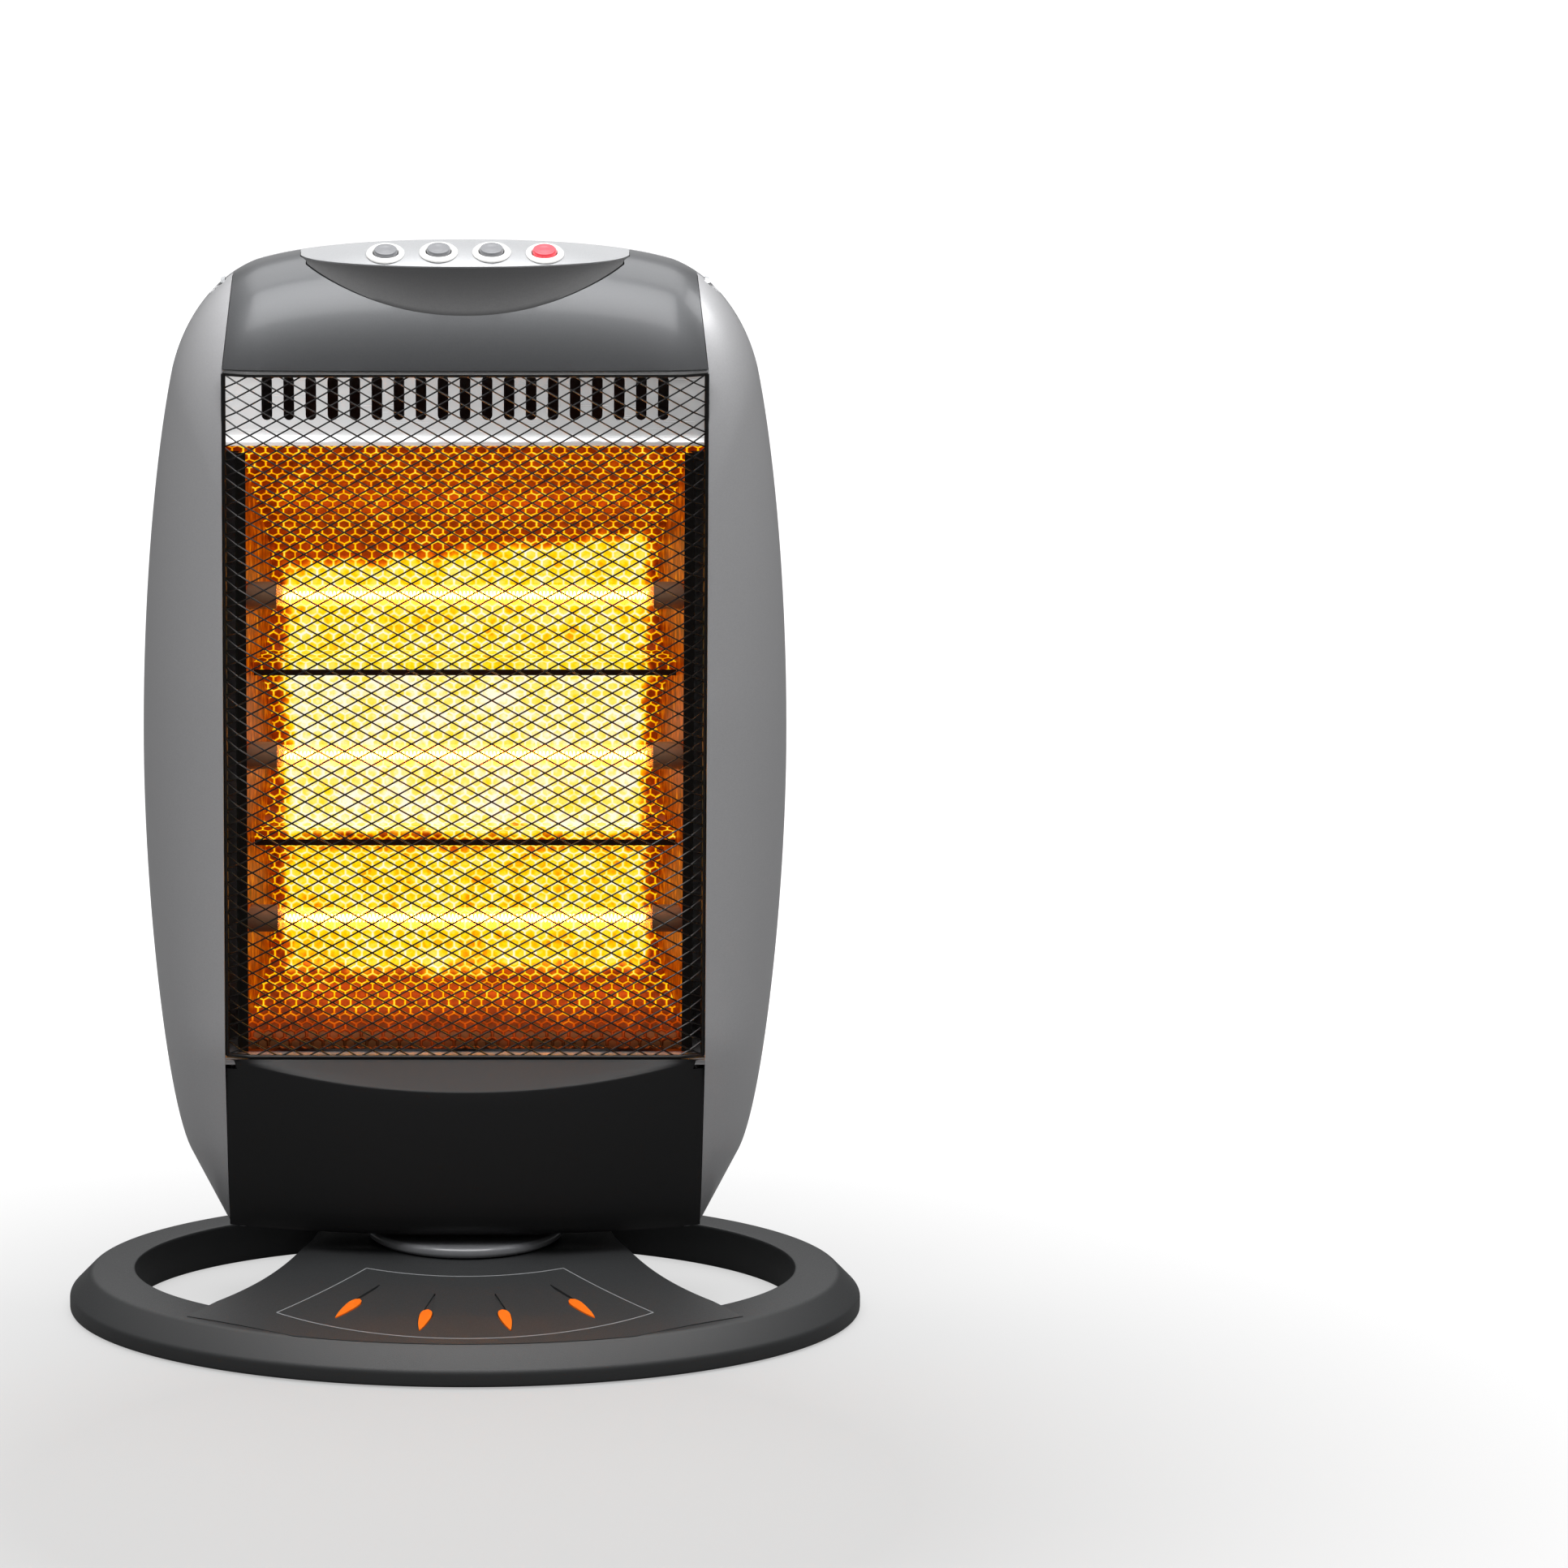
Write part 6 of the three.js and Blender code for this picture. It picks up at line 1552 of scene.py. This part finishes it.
def filament_tree():
    """A coiled filament along X. Inputs are its length, radius, turns, wire and place."""
    tree, given, keys = node_tree(
        "Filament", Float=("Length", "Coil radius", "Wire radius", "Turns"),
        Vector=("Place",), Material=("Finish",))
    coil = signal(tree, "GeometryNodeCurveSpiral", {
        "Resolution": 9, "Rotations": given["Turns"], "Start Radius": given["Coil radius"],
        "End Radius": given["Coil radius"], "Height": given["Length"]})
    tipped = signal(tree, "GeometryNodeTransform", {
        "Geometry": swept(tree, coil, given["Wire radius"], 4),
        "Rotation": (0.0, math.radians(90), 0.0), "Translation": given["Place"]})
    hand_out(tree, tipped, given["Finish"])
    return tree, keys


def bracket_body(name, side):
    """A lamp bracket: a wall that runs in towards the rear, with a flange at its front edge."""
    t, half = mm(1.2), window_half()
    front, rear = half - BRACKET_FRONT, half - BRACKET_REAR
    plan = [
        (front - BRACKET_FLANGE, BRACKET_FRONT_Y), (front, BRACKET_FRONT_Y),
        (rear, BRACKET_REAR_Y), (rear - t, BRACKET_REAR_Y),
        (front - t * 1.2, BRACKET_FRONT_Y + t), (front - BRACKET_FLANGE, BRACKET_FRONT_Y + t),
    ]
    body = raised(name, [(side * x, y) for x, y in plan],
                  grille_bottom() + mm(0.6), grille_top() - mm(40))
    for down in LAMP_DOWN:
        body = cut(body, crossbar("way", side * (half - mm(40)), side * half, LAMP_Y,
                                  grille_top() - down, CAP_HOLE))
    return body


def scored(body, places):
    """Cuts a body's faces at places across, so that its light can change there."""
    shape = bmesh.new()
    shape.from_mesh(body.data)
    for x in places:
        bmesh.ops.bisect_plane(
            shape, geom=shape.verts[:] + shape.edges[:] + shape.faces[:],
            plane_co=(x, 0, 0), plane_no=(1, 0, 0))
    shape.to_mesh(body.data)
    shape.free()
    return body


class HEATER_OT_lamps(bpy.types.Operator):
    """Three lit quartz lamps in ceramic caps, between folded steel brackets"""
    bl_idname = "heater.lamps"
    bl_label = "Lamps"

    def execute(self, context):
        lit_length = sizes().lit_length
        quartz, tungsten, ceramic = lit_quartz(), lit_tungsten(), steatite()
        coil_tree = filament_tree()
        # Near black sheet steel: painted shade, standing in for the shadow the brackets' flanges
        # sit in.
        shade_black_steel = moulded(
            "Sheet_steel_painted_shade_black", linear("#110C09"), 0.5, mm(2), mm(0.01), metallic=0.6)
        wall = steel_wall_painted_streaks()
        sides = ((-1, "left"), (1, "right"))
        for side, word in sides:
            body = bracket_body("bracket_" + word, side)
            body.data.materials.clear()
            body.data.materials.append(shade_black_steel)
            body.data.materials.append(wall)
            for face in body.data.polygons:
                # Faces turned to the lamps get the wall with painted streaks of lamp light.
                seen = face.normal[0] * side < -0.3 and face.center[1] > BRACKET_FRONT_Y + mm(2)
                face.material_index = int(seen)
            dress(body, shade_black_steel, "head", ["lamp_bracket_" + word])
        outer = window_half() - CAP_MARGIN
        inner = outer - CAP_LENGTH
        end = inner + CAP_INSET - TOUCH
        for number, down in enumerate(LAMP_DOWN, 1):
            z = grille_top() - down
            tube = scored(crossbar("quartz_%d" % number, -end, end, LAMP_Y, z, LAMP_RADIUS),
                          (-lit_length / 2, lit_length / 2))
            dress(tube, quartz, "head", ["lamp_tube_%d" % number])
            coil = grown("filament_%d" % number, coil_tree, {
                "Length": lit_length, "Coil radius": COIL_SIZE, "Wire radius": COIL_WIRE,
                "Turns": lit_length / COIL_SIZE, "Finish": tungsten,
                "Place": (-lit_length / 2, LAMP_Y, z),
            })
            turn_outwards(coil, MERGE / 10)
            dress(coil, tungsten, "head", angle=60)
            for side, word in sides:
                cap = crossbar("ceramic_%s_%d" % (word, number), side * inner,
                               side * (outer - CAP_RIM), LAMP_Y, z, CAP_RADIUS, 40)
                cap = cut(cap, crossbar(
                    "socket", side * (inner - mm(1)), side * (inner + CAP_INSET), LAMP_Y, z,
                    LAMP_RADIUS + mm(0.2)))
                dress(cap, ceramic, "head", ["lamp_cap_%s_%d" % (word, number)])
        return {"FINISHED"}


# ----------------------------------------------------------------------------
# Base
# ----------------------------------------------------------------------------

PIVOT_Y = mm(3)
PIVOT_HOLE_RADIUS = mm(12.4)
SKIRT = mm(8)
CHAMFER_RUN = mm(10.5)
CHAMFER_RISE = mm(11)
RING_BAND = mm(21)
RING_RISE = mm(2)
OPENING_SETBACK = mm(2)
BASE_WALL = mm(2.8)
HUB_HEIGHT = mm(35.5)
HUB_HALF = mm(70)
PLATEAU_FRONT = mm(84.5)
PLATEAU_REAR = mm(64)
PLATEAU_HALF = mm(80)
FLARE_START = mm(12)
RING_STEPS = 240
RING_X, RING_Y = RING_HIGH[0], RING_HIGH[1]
BAND_X, BAND_Y = RING_X - CHAMFER_RUN, RING_Y - CHAMFER_RUN
OPENING_X, OPENING_Y = BAND_X - RING_BAND, BAND_Y - RING_BAND - OPENING_SETBACK
RING_TOP = SKIRT + CHAMFER_RISE
CORNER = (BAND_X - mm(62.5), mm(58) - BAND_Y)
FAN_FOCUS_Y = mm(-5)
DROP_ANGLES = (-32.6, -10.9, 10.9, 32.6)
DROP_REACH = BAND_Y - mm(22) + FAN_FOCUS_Y
DROP_LENGTH = mm(21)
DROP_WIDTH = mm(6)


def plateau_reach(x, y):
    """Distance from the middle to the edge of the level top."""
    depth = BAND_Y - PLATEAU_FRONT if y < 0 else BAND_Y - PLATEAU_REAR
    length = math.hypot(x, y)
    across = (abs(x / length) / PLATEAU_HALF) ** 3
    return (across + (abs(y / length) / depth) ** 3) ** (-1 / 3)


def deck_height(x, y):
    length = math.hypot(x, y)
    edge = length / math.hypot(x / BAND_X, y / BAND_Y)
    start = plateau_reach(x, y)
    share = min(1, max(0, (edge - length) / (edge - start)))
    return RING_TOP + (HUB_HEIGHT - RING_TOP) * share


def ring_body(name, inset, foot, edge):
    """The oval ring, drawn in by a distance, with its section's corners rounded."""
    section = [
        (0.0 + inset, foot), (0.0 + inset, SKIRT - inset * 0.45),
        (CHAMFER_RUN + inset * 0.4, RING_TOP - inset),
        (CHAMFER_RUN + RING_BAND - inset, RING_TOP + RING_RISE - inset),
        (CHAMFER_RUN + RING_BAND - inset, foot),
    ]
    if edge:
        section = rounded(section, edge)
    rings = []
    for angle in angles(RING_STEPS):
        ring = []
        for back, z in section:
            share = back / (CHAMFER_RUN + RING_BAND)
            y = RING_Y - back - OPENING_SETBACK * max(0, share) ** 3
            ring.append(((RING_X - back) * math.cos(angle), y * math.sin(angle), z))
        rings.append(ring)
    return loft(name, rings, joined=True)


def bridge_body(name, inset, foot, soft):
    """The bridge that carries the head: level on top, falling to the ring all round."""
    half = HUB_HALF - inset
    corner = (CORNER[0] - inset, CORNER[1] + inset * 0.4)
    right = [(half, OPENING_Y + RING_BAND / 2 - inset), (half, FLARE_START)]
    right += bezier([
        (half, FLARE_START), (half + mm(6), PLATEAU_FRONT - BAND_Y), corner], 28)[1:]
    right += [corner, (corner[0] + mm(14), corner[1] - mm(13)), (corner[0] / 2, -BAND_Y)]
    plan = right + [(-x, y) for x, y in reversed(right)]
    levels = [(foot, 0.0), (RING_TOP - inset, 0.0)]
    if soft:
        steps = 8
        for i in range(1, steps):
            levels.append((RING_TOP - inset + (HUB_HEIGHT - RING_TOP) * i / steps, i / steps))
    levels.append((HUB_HEIGHT - inset, 1.0))
    rings = []
    for z, share in levels:
        ring = []
        for angle in angles(RING_STEPS):
            x = (BAND_X - inset) * math.cos(angle)
            y = (BAND_Y - inset) * math.sin(angle)
            pull = 1 + share * (plateau_reach(x, y) / math.hypot(x, y) - 1)
            ring.append((x * pull, y * pull, z))
        rings.append(ring)
    return shared(loft(name, rings), raised("bridge_plan", plan, foot, HUB_HEIGHT + mm(1)))


def fan_place(angle, reach):
    """A place on the deck, at an angle and a distance from the fan's focus."""
    return reach * math.sin(angle), FAN_FOCUS_Y - reach * math.cos(angle)


def on_deck(outline, lift, sink, name):
    """A thin body that follows the deck, from a plan outline."""
    return loft(name, [
        [(x, y, deck_height(x, y) + offset) for x, y in outline] for offset in (-sink, lift)])


def fan_shape(degrees, start, end, half_of, steps=16):
    """Plan outline along a spoke of the fan, with a half width at each share."""
    angle = math.radians(degrees)
    direction = Vector((math.sin(angle), -math.cos(angle)))
    side = Vector((direction[1], -direction[0]))
    left, right = [], []
    for i in range(steps + 1):
        t = i / steps
        x, y = fan_place(angle, start + (end - start) * t)
        offset = side * half_of(t)
        left.append((x + offset[0], y + offset[1]))
        right.append((x - offset[0], y - offset[1]))
    return left + right[::-1]


def drop_half(t, width):
    """Half width of a teardrop at a share of its length: blunt at its near end, pointed at
    its far one."""
    blunt = min(1.0, t / 0.3)
    return width / 2 * math.sqrt(1 - (1 - blunt) ** 2) * (1 - t ** 2.2) ** 0.9 + mm(0.05)


class HEATER_OT_base(bpy.types.Operator):
    """Oval ring base with its bridge, the accent drops and the printed fan"""
    bl_idname = "heater.base"
    bl_label = "Base"

    def execute(self, context):
        foot = RING_LOW[2]
        outer = fused(ring_body("base_ring", 0, foot, sizes().ring_edge),
                      bridge_body("bridge", 0, foot + mm(0.2), True))
        hollow = fused(ring_body("ring_hollow", BASE_WALL, mm(-4), 0),
                       bridge_body("bridge_hollow", BASE_WALL, mm(-4.2), False))
        pivot = bar("pivot_hole", [(0, PIVOT_Y, mm(20)), (0, PIVOT_Y, mm(41))],
                    PIVOT_HOLE_RADIUS, 48)
        body = cut(outer, hollow, pivot)
        charcoal = moulded("Textured_charcoal_PP", colours().charcoal[:], 0.5, mm(0.55), mm(0.05))
        orange = clear_orange()
        near, far = DROP_REACH - DROP_LENGTH / 2, DROP_REACH + DROP_LENGTH / 2
        for degrees in DROP_ANGLES:
            seat = on_deck(fan_shape(
                degrees, near - TOUCH, far + TOUCH,
                lambda t: drop_half(t, DROP_WIDTH + 3 * TOUCH)), mm(6), mm(1.4), "seat")
            tail = on_deck(fan_shape(
                degrees, near - sizes().drop_tail, near + DROP_LENGTH * 0.2,
                lambda t: mm(0.3) + mm(2.3) * t), mm(6), mm(1.1), "tail")
            body = cut(body, seat, tail)
        dress(body, charcoal, "base", ["base_moulding"], 30)

        for number, degrees in enumerate(DROP_ANGLES, 1):
            drop = on_deck(fan_shape(
                degrees, near, far, lambda t: drop_half(t, DROP_WIDTH)),
                mm(0.5), mm(1.2), "drop_%d" % number)
            dress(drop, orange, "base", ["accent_drop_%d" % number])

        line = moulded("Pale_grey_tampo_line", linear("#8A8C8E"), 0.45, mm(0.8), mm(0.01))
        dress(fan_line("fan_outline"), line, "base")
        return {"FINISHED"}


LINE_WIDTH = mm(0.5)
LINE_LIFT = mm(0.12)
LINE_SINK = mm(0.3)


def ribbon(points, name):
    """A thin line laid on the deck along plan points."""
    rings = []
    for pair in zip(beside(points, LINE_WIDTH / 2), beside(points, -LINE_WIDTH / 2)):
        top = [(x, y, deck_height(x, y) + LINE_LIFT) for x, y in pair]
        foot = [(x, y, deck_height(x, y) - LINE_SINK) for x, y in reversed(pair)]
        rings.append(top + foot)
    return loft(name, rings)


FAN_NEAR = (mm(46.7), mm(-50.8), mm(-61.1))
FAN_WIDE = (mm(88.6), mm(-90.5), mm(-124.2))


def fan_line(name):
    """The printed fan round the drops: two arcs and two sides."""
    bodies, ends = [], []
    for half, side_y, middle_y in (FAN_NEAR, FAN_WIDE):
        sag = side_y - middle_y
        radius = (half * half + sag * sag) / (2 * sag)
        reach = math.asin(half / radius)
        arc = [
            (radius * math.sin(a), middle_y + radius - radius * math.cos(a))
            for a in (reach * i / 30 for i in range(-30, 31))
        ]
        bodies.append(ribbon(arc, "arc"))
        ends.append((half, side_y))
    bow = ((ends[0][0] + ends[1][0]) / 2 - mm(1.5), (ends[0][1] + ends[1][1]) / 2 - mm(2))
    for side in (-1, 1):
        path = bezier([(side * x, y) for x, y in (ends[0], bow, ends[1])], 16)
        bodies.append(ribbon(path + [(side * ends[1][0], ends[1][1])], "side"))
    return joined_as_one(name, bodies)


class HEATER_OT_swivel(bpy.types.Operator):
    """Glossy swivel disc between the base and the head"""
    bl_idname = "heater.swivel"
    bl_label = "Swivel disc"

    def execute(self, context):
        low, high = DISC_LOW[2], DISC_HIGH[2]
        radius = DISC_HIGH[0]
        disc_foot = high - mm(5.2)
        profile = rounded([
            (mm(8), high), (mm(8), low), (mm(12), low), (mm(12), disc_foot),
            (radius - mm(1.5), disc_foot), (radius, disc_foot + mm(1.5)),
            (radius, high - mm(1.2)), (radius - mm(1.2), high),
        ], mm(0.7), 3)
        disc = turned("swivel_plate", profile, 144)
        disc.data.transform(Matrix.Translation((0, PIVOT_Y, 0)))
        gloss = moulded("Gloss_grey_ABS_disc", colours().grey[:], 0.16, mm(2.5), mm(0.006),
                        Coat_Weight=0.4)
        dress(disc, gloss, "head", ["swivel_disc"])
        return {"FINISHED"}


# ----------------------------------------------------------------------------
# Mains lead
# ----------------------------------------------------------------------------

CORD_START = Vector((0, mm(138.5), mm(9.4)))
COIL_RADIUS = mm(36)
COIL_TURNS = 6
COIL_PITCH = mm(6.7)
COIL_LAYER = mm(6.8)
COIL_REST = mm(1.1)
COIL_Y = mm(202)
TAIL_LENGTH = mm(24)
PLUG_HALF_HEIGHT = mm(8.5)
SLEEVE_RIBS = 9
SLEEVE_LENGTH = mm(26)
SLEEVE_RADII = (mm(5.4), mm(3.7))
SLEEVE_GROOVE = mm(0.45)
SLEEVE_SAG = mm(1.9)


def cord_points():
    """The lead's centre line: out of the base, down to the floor, round its coil and out to
    the plug."""
    d = sizes().cord_diameter
    low = COIL_REST + d / 2
    high = low + COIL_LAYER
    outer = COIL_RADIUS + COIL_TURNS * COIL_PITCH / 4
    inner = COIL_RADIUS - COIL_TURNS * COIL_PITCH / 4
    lead = [
        tuple(CORD_START), (0, CORD_START[1] + mm(7), CORD_START[2]),
        (0, CORD_START[1] + mm(20), CORD_START[2] - mm(1.6)),
        (0, COIL_Y - d - mm(20), low + mm(0.7)), (0, COIL_Y - d - mm(8), low),
        (0, COIL_Y - d - TOUCH, low), (0, COIL_Y - d / 2, low),
    ]
    coil = []
    steps = 48
    for i in range(COIL_TURNS * steps + 1):
        turn = i / steps
        radius = inner + abs(turn - COIL_TURNS / 2) * COIL_PITCH
        rise = min(1, max(0, 2 * turn - COIL_TURNS + 0.5))
        smooth = rise * rise * (3 - 2 * rise)
        angle = math.pi - turn * 2 * math.pi
        coil.append((outer + radius * math.cos(angle), COIL_Y + radius * math.sin(angle),
                     low + smooth * (high - low)))
    start = COIL_Y + d + TOUCH
    tail = [
        (0, COIL_Y + d / 2, high), (0, start, high), (0, start + mm(6), high - mm(0.2)),
        (0, start + TAIL_LENGTH - mm(6), PLUG_HALF_HEIGHT + mm(0.2)),
        (0, start + TAIL_LENGTH, PLUG_HALF_HEIGHT),
    ]
    return smoothed(lead) + coil + smoothed(tail)


def smoothed(points, steps=4):
    """A Catmull-Rom curve through points."""
    path = [Vector(p) for p in points]
    result = []
    for i in range(len(path) - 1):
        p0, p1, p2 = path[max(0, i - 1)], path[i], path[i + 1]
        p3 = path[min(len(path) - 1, i + 2)]
        for s in range(steps):
            t = s / steps
            result.append(tuple(0.5 * (
                2 * p1 + (p2 - p0) * t + (2 * p0 - 5 * p1 + 4 * p2 - p3) * t * t
                + (3 * p1 - p0 - 3 * p2 + p3) * t ** 3
            )))
    result.append(tuple(path[-1]))
    return result


def ribbed_sleeve(name):
    """The lead's strain relief: a sleeve that narrows and sags a little, with ribs."""
    near, far = SLEEVE_RADII
    steps = SLEEVE_RIBS * 6
    rings = []
    for t in (i / steps for i in range(steps + 1)):
        groove = SLEEVE_GROOVE * (0.5 + 0.5 * math.cos(2 * math.pi * SLEEVE_RIBS * t))
        radius = near + (far - near) * t - groove
        x, y, z = CORD_START + Vector((0, SLEEVE_LENGTH * t, -SLEEVE_SAG * t * t))
        rings.append([
            (x + radius * math.cos(a), y, z + radius * math.sin(a)) for a in angles(28)])
    return loft(name, rings)


class HEATER_OT_cord(bpy.types.Operator):
    """Mains lead, wound up behind the base, with its strain relief"""
    bl_idname = "heater.cord"
    bl_label = "Mains lead"

    def execute(self, context):
        d = sizes().cord_diameter
        points = cord_points()
        curve = bpy.data.curves.new("mains_lead", "CURVE")
        curve.dimensions = "3D"
        spline = curve.splines.new("POLY")
        spline.points.add(len(points) - 1)
        for place, point in zip(spline.points, points):
            place.co = (*point, 1)
        curve.bevel_depth = d / 2
        curve.bevel_resolution = 4
        curve.use_fill_caps = True
        lead = placed("mains_lead", curve)
        sheath = rubber("Black_PVC_sheath", linear("#1A1A1B"))
        curve.materials.append(sheath)
        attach(lead, "base")
        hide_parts("supply_cord", "cord_coil", "cord_tail")

        sleeve = ribbed_sleeve("strain_relief")
        dress(sleeve, rubber("Soft_PVC_sleeve", linear("#202021")), "base")
        for node in ("plug", "cord_tie", "cord_gland"):
            repaint(node, sheath)
        return {"FINISHED"}


# ----------------------------------------------------------------------------
# Pieces that keep their own mesh
# ----------------------------------------------------------------------------

class HEATER_OT_small_parts(bpy.types.Operator):
    """Finishes for the pieces whose solids are already right"""
    bl_idname = "heater.small_parts"
    bl_label = "Small parts"

    def execute(self, context):
        steel, chrome = galvanised_steel(), chrome_plate()
        black = moulded("Black_ABS_inside", linear("#222223"), 0.55, mm(0.8), mm(0.02))
        enamel = enamelled_steel("Black_enamelled_steel_sheet", linear("#1C1C1D"))
        charcoal = moulded("Textured_charcoal_PP_plate", colours().charcoal[:], 0.55,
                           mm(0.8), mm(0.05))
        white = moulded("White_PBT", linear("#DAD9D4"), 0.45, mm(1.2), mm(0.01))
        sole = rubber("Black_moulded_rubber", linear("#151516"), mm(0.8))
        finishes = {
            "base_plate": charcoal, "swing_motor": steel, "swing_yoke": steel,
            "motor_crank": white, "tilt_switch": black, "switch_block": white,
            "thermal_cutout": steel, "rear_panel": enamel,
            "seam_screw_1": chrome, "seam_screw_2": chrome,
        }
        for number in range(1, 5):
            finishes["rubber_foot_%d" % number] = sole
        for number in range(1, 7):
            finishes["rear_screw_%d" % number] = chrome
        for node, material in finishes.items():
            repaint(node, material)
        return {"FINISHED"}


# ----------------------------------------------------------------------------
# Stage, light and camera
# ----------------------------------------------------------------------------

PHOTO_SIZE = 1932
FOCAL_PIXELS = 10495
OFF_CENTRE_PIXELS = 393
CAMERA_PLACE = Vector((0, mm(-3950.5), mm(1126.3)))
CAMERA_PITCH = math.radians(12.4)
SENSOR = 36.0
FLOOR_HALF = 20.0
ROOM = (-0.7, 0.5, 0.03, 0.1)
SKY = (0.3, 0.8, 0.0, 0.9)
LIGHTS = (
    # name, place, aim, width, height and power
    ("key", (-0.05, -0.75, 1.6), (0, 0, 0.42), 1.5, 0.7, 18),
    ("corner", (0.75, -0.1, 1.15), (0.12, 0, 0.48), 0.4, 0.3, 2.2),
    ("top", (0, 0.15, 1.6), (0, 0, 0.3), 1.6, 0.8, 12),
    ("rear", (0, 2.0, 1.4), (0, 0, 0.2), 2.0, 1.4, 5),
)


def studio():
    """White to the eye; to the heater it is a dim room, lighter behind, under a bright sky."""
    world = bpy.data.worlds.new("studio")
    world.use_nodes = True
    tree = world.node_tree
    tree.nodes.clear()
    _, depth, height = axes_of(tree, signal(tree, "ShaderNodeTexCoord", output="Generated"))
    lit_room, white = (
        signal(tree, "ShaderNodeBackground", {"Color": WHITE, "Strength": strength})
        for strength in (depth.mapped(*ROOM) + height.mapped(*SKY), 1.0)
    )
    seen = signal(tree, "ShaderNodeLightPath", output="Is Camera Ray")
    mixed = signal(tree, "ShaderNodeMixShader", {0: seen, 1: lit_room, 2: white})
    add(tree, "ShaderNodeOutputWorld", {"Surface": mixed})
    return world


def soft_light(name, place, aim, width, height, power):
    light = bpy.data.lights.new(name, "AREA")
    light.shape = "RECTANGLE"
    light.size = width
    light.size_y = height
    light.energy = power
    body = placed(name, light)
    body.location = place
    body.rotation_euler = (Vector(aim) - Vector(place)).to_track_quat("-Z", "Y").to_euler()


class HEATER_OT_stage(bpy.types.Operator):
    """Pale floor, soft studio light and the camera"""
    bl_idname = "heater.stage"
    bl_label = "Stage"

    def execute(self, context):
        scene = context.scene
        lens = bpy.data.cameras.new("camera")
        lens.sensor_width = SENSOR
        lens.lens = SENSOR * FOCAL_PIXELS / PHOTO_SIZE
        lens.shift_x = OFF_CENTRE_PIXELS / PHOTO_SIZE
        lens.clip_end = 100
        camera = placed("camera", lens)
        camera.location = CAMERA_PLACE
        camera.rotation_euler = (math.radians(90) - CAMERA_PITCH, 0, 0)
        scene.camera = camera
        scene.view_settings.view_transform = "Standard"

        f = FLOOR_HALF
        floor = mesh_object("floor", [(-f, -f, 0), (f, -f, 0), (f, f, 0), (-f, f, 0)],
                            [(0, 1, 2, 3)])
        floor.data.materials.append(table_with_painted_shade())
        scene.world = studio()
        for light in LIGHTS:
            soft_light(*light)
        return {"FINISHED"}


# ----------------------------------------------------------------------------
# Panel and order of work
# ----------------------------------------------------------------------------

PIECES = (
    HEATER_OT_stage, HEATER_OT_cord, HEATER_OT_shells, HEATER_OT_top_panel,
    HEATER_OT_buttons, HEATER_OT_bottom_panel, HEATER_OT_grille, HEATER_OT_reflector,
    HEATER_OT_lamps, HEATER_OT_base, HEATER_OT_swivel, HEATER_OT_small_parts,
)


class HEATER_PT_panel(bpy.types.Panel):
    """Lists the heater's pieces"""
    bl_idname = "HEATER_PT_panel"
    bl_label = "Halogen heater"
    bl_space_type = "VIEW_3D"
    bl_region_type = "UI"
    bl_category = "Heater"

    def draw(self, context):
        layout = self.layout
        for piece in PIECES:
            layout.operator(piece.bl_idname)
        for group in (context.scene.heater_sizes, context.scene.heater_colours):
            box = layout.box()
            for name in group.__annotations__:
                box.prop(group, name)


CLASSES = (HeaterSizes, HeaterColours) + PIECES + (HEATER_PT_panel,)


def register():
    for entry in CLASSES:
        bpy.utils.register_class(entry)
    bpy.types.Scene.heater_sizes = bpy.props.PointerProperty(type=HeaterSizes)
    bpy.types.Scene.heater_colours = bpy.props.PointerProperty(type=HeaterColours)


def unregister():
    del bpy.types.Scene.heater_sizes
    del bpy.types.Scene.heater_colours
    for entry in reversed(CLASSES):
        bpy.utils.unregister_class(entry)


def main():
    register()
    for piece in PIECES:
        group, name = piece.bl_idname.split(".")
        getattr(getattr(bpy.ops, group), name)()


if __name__ == "__main__":
    main()
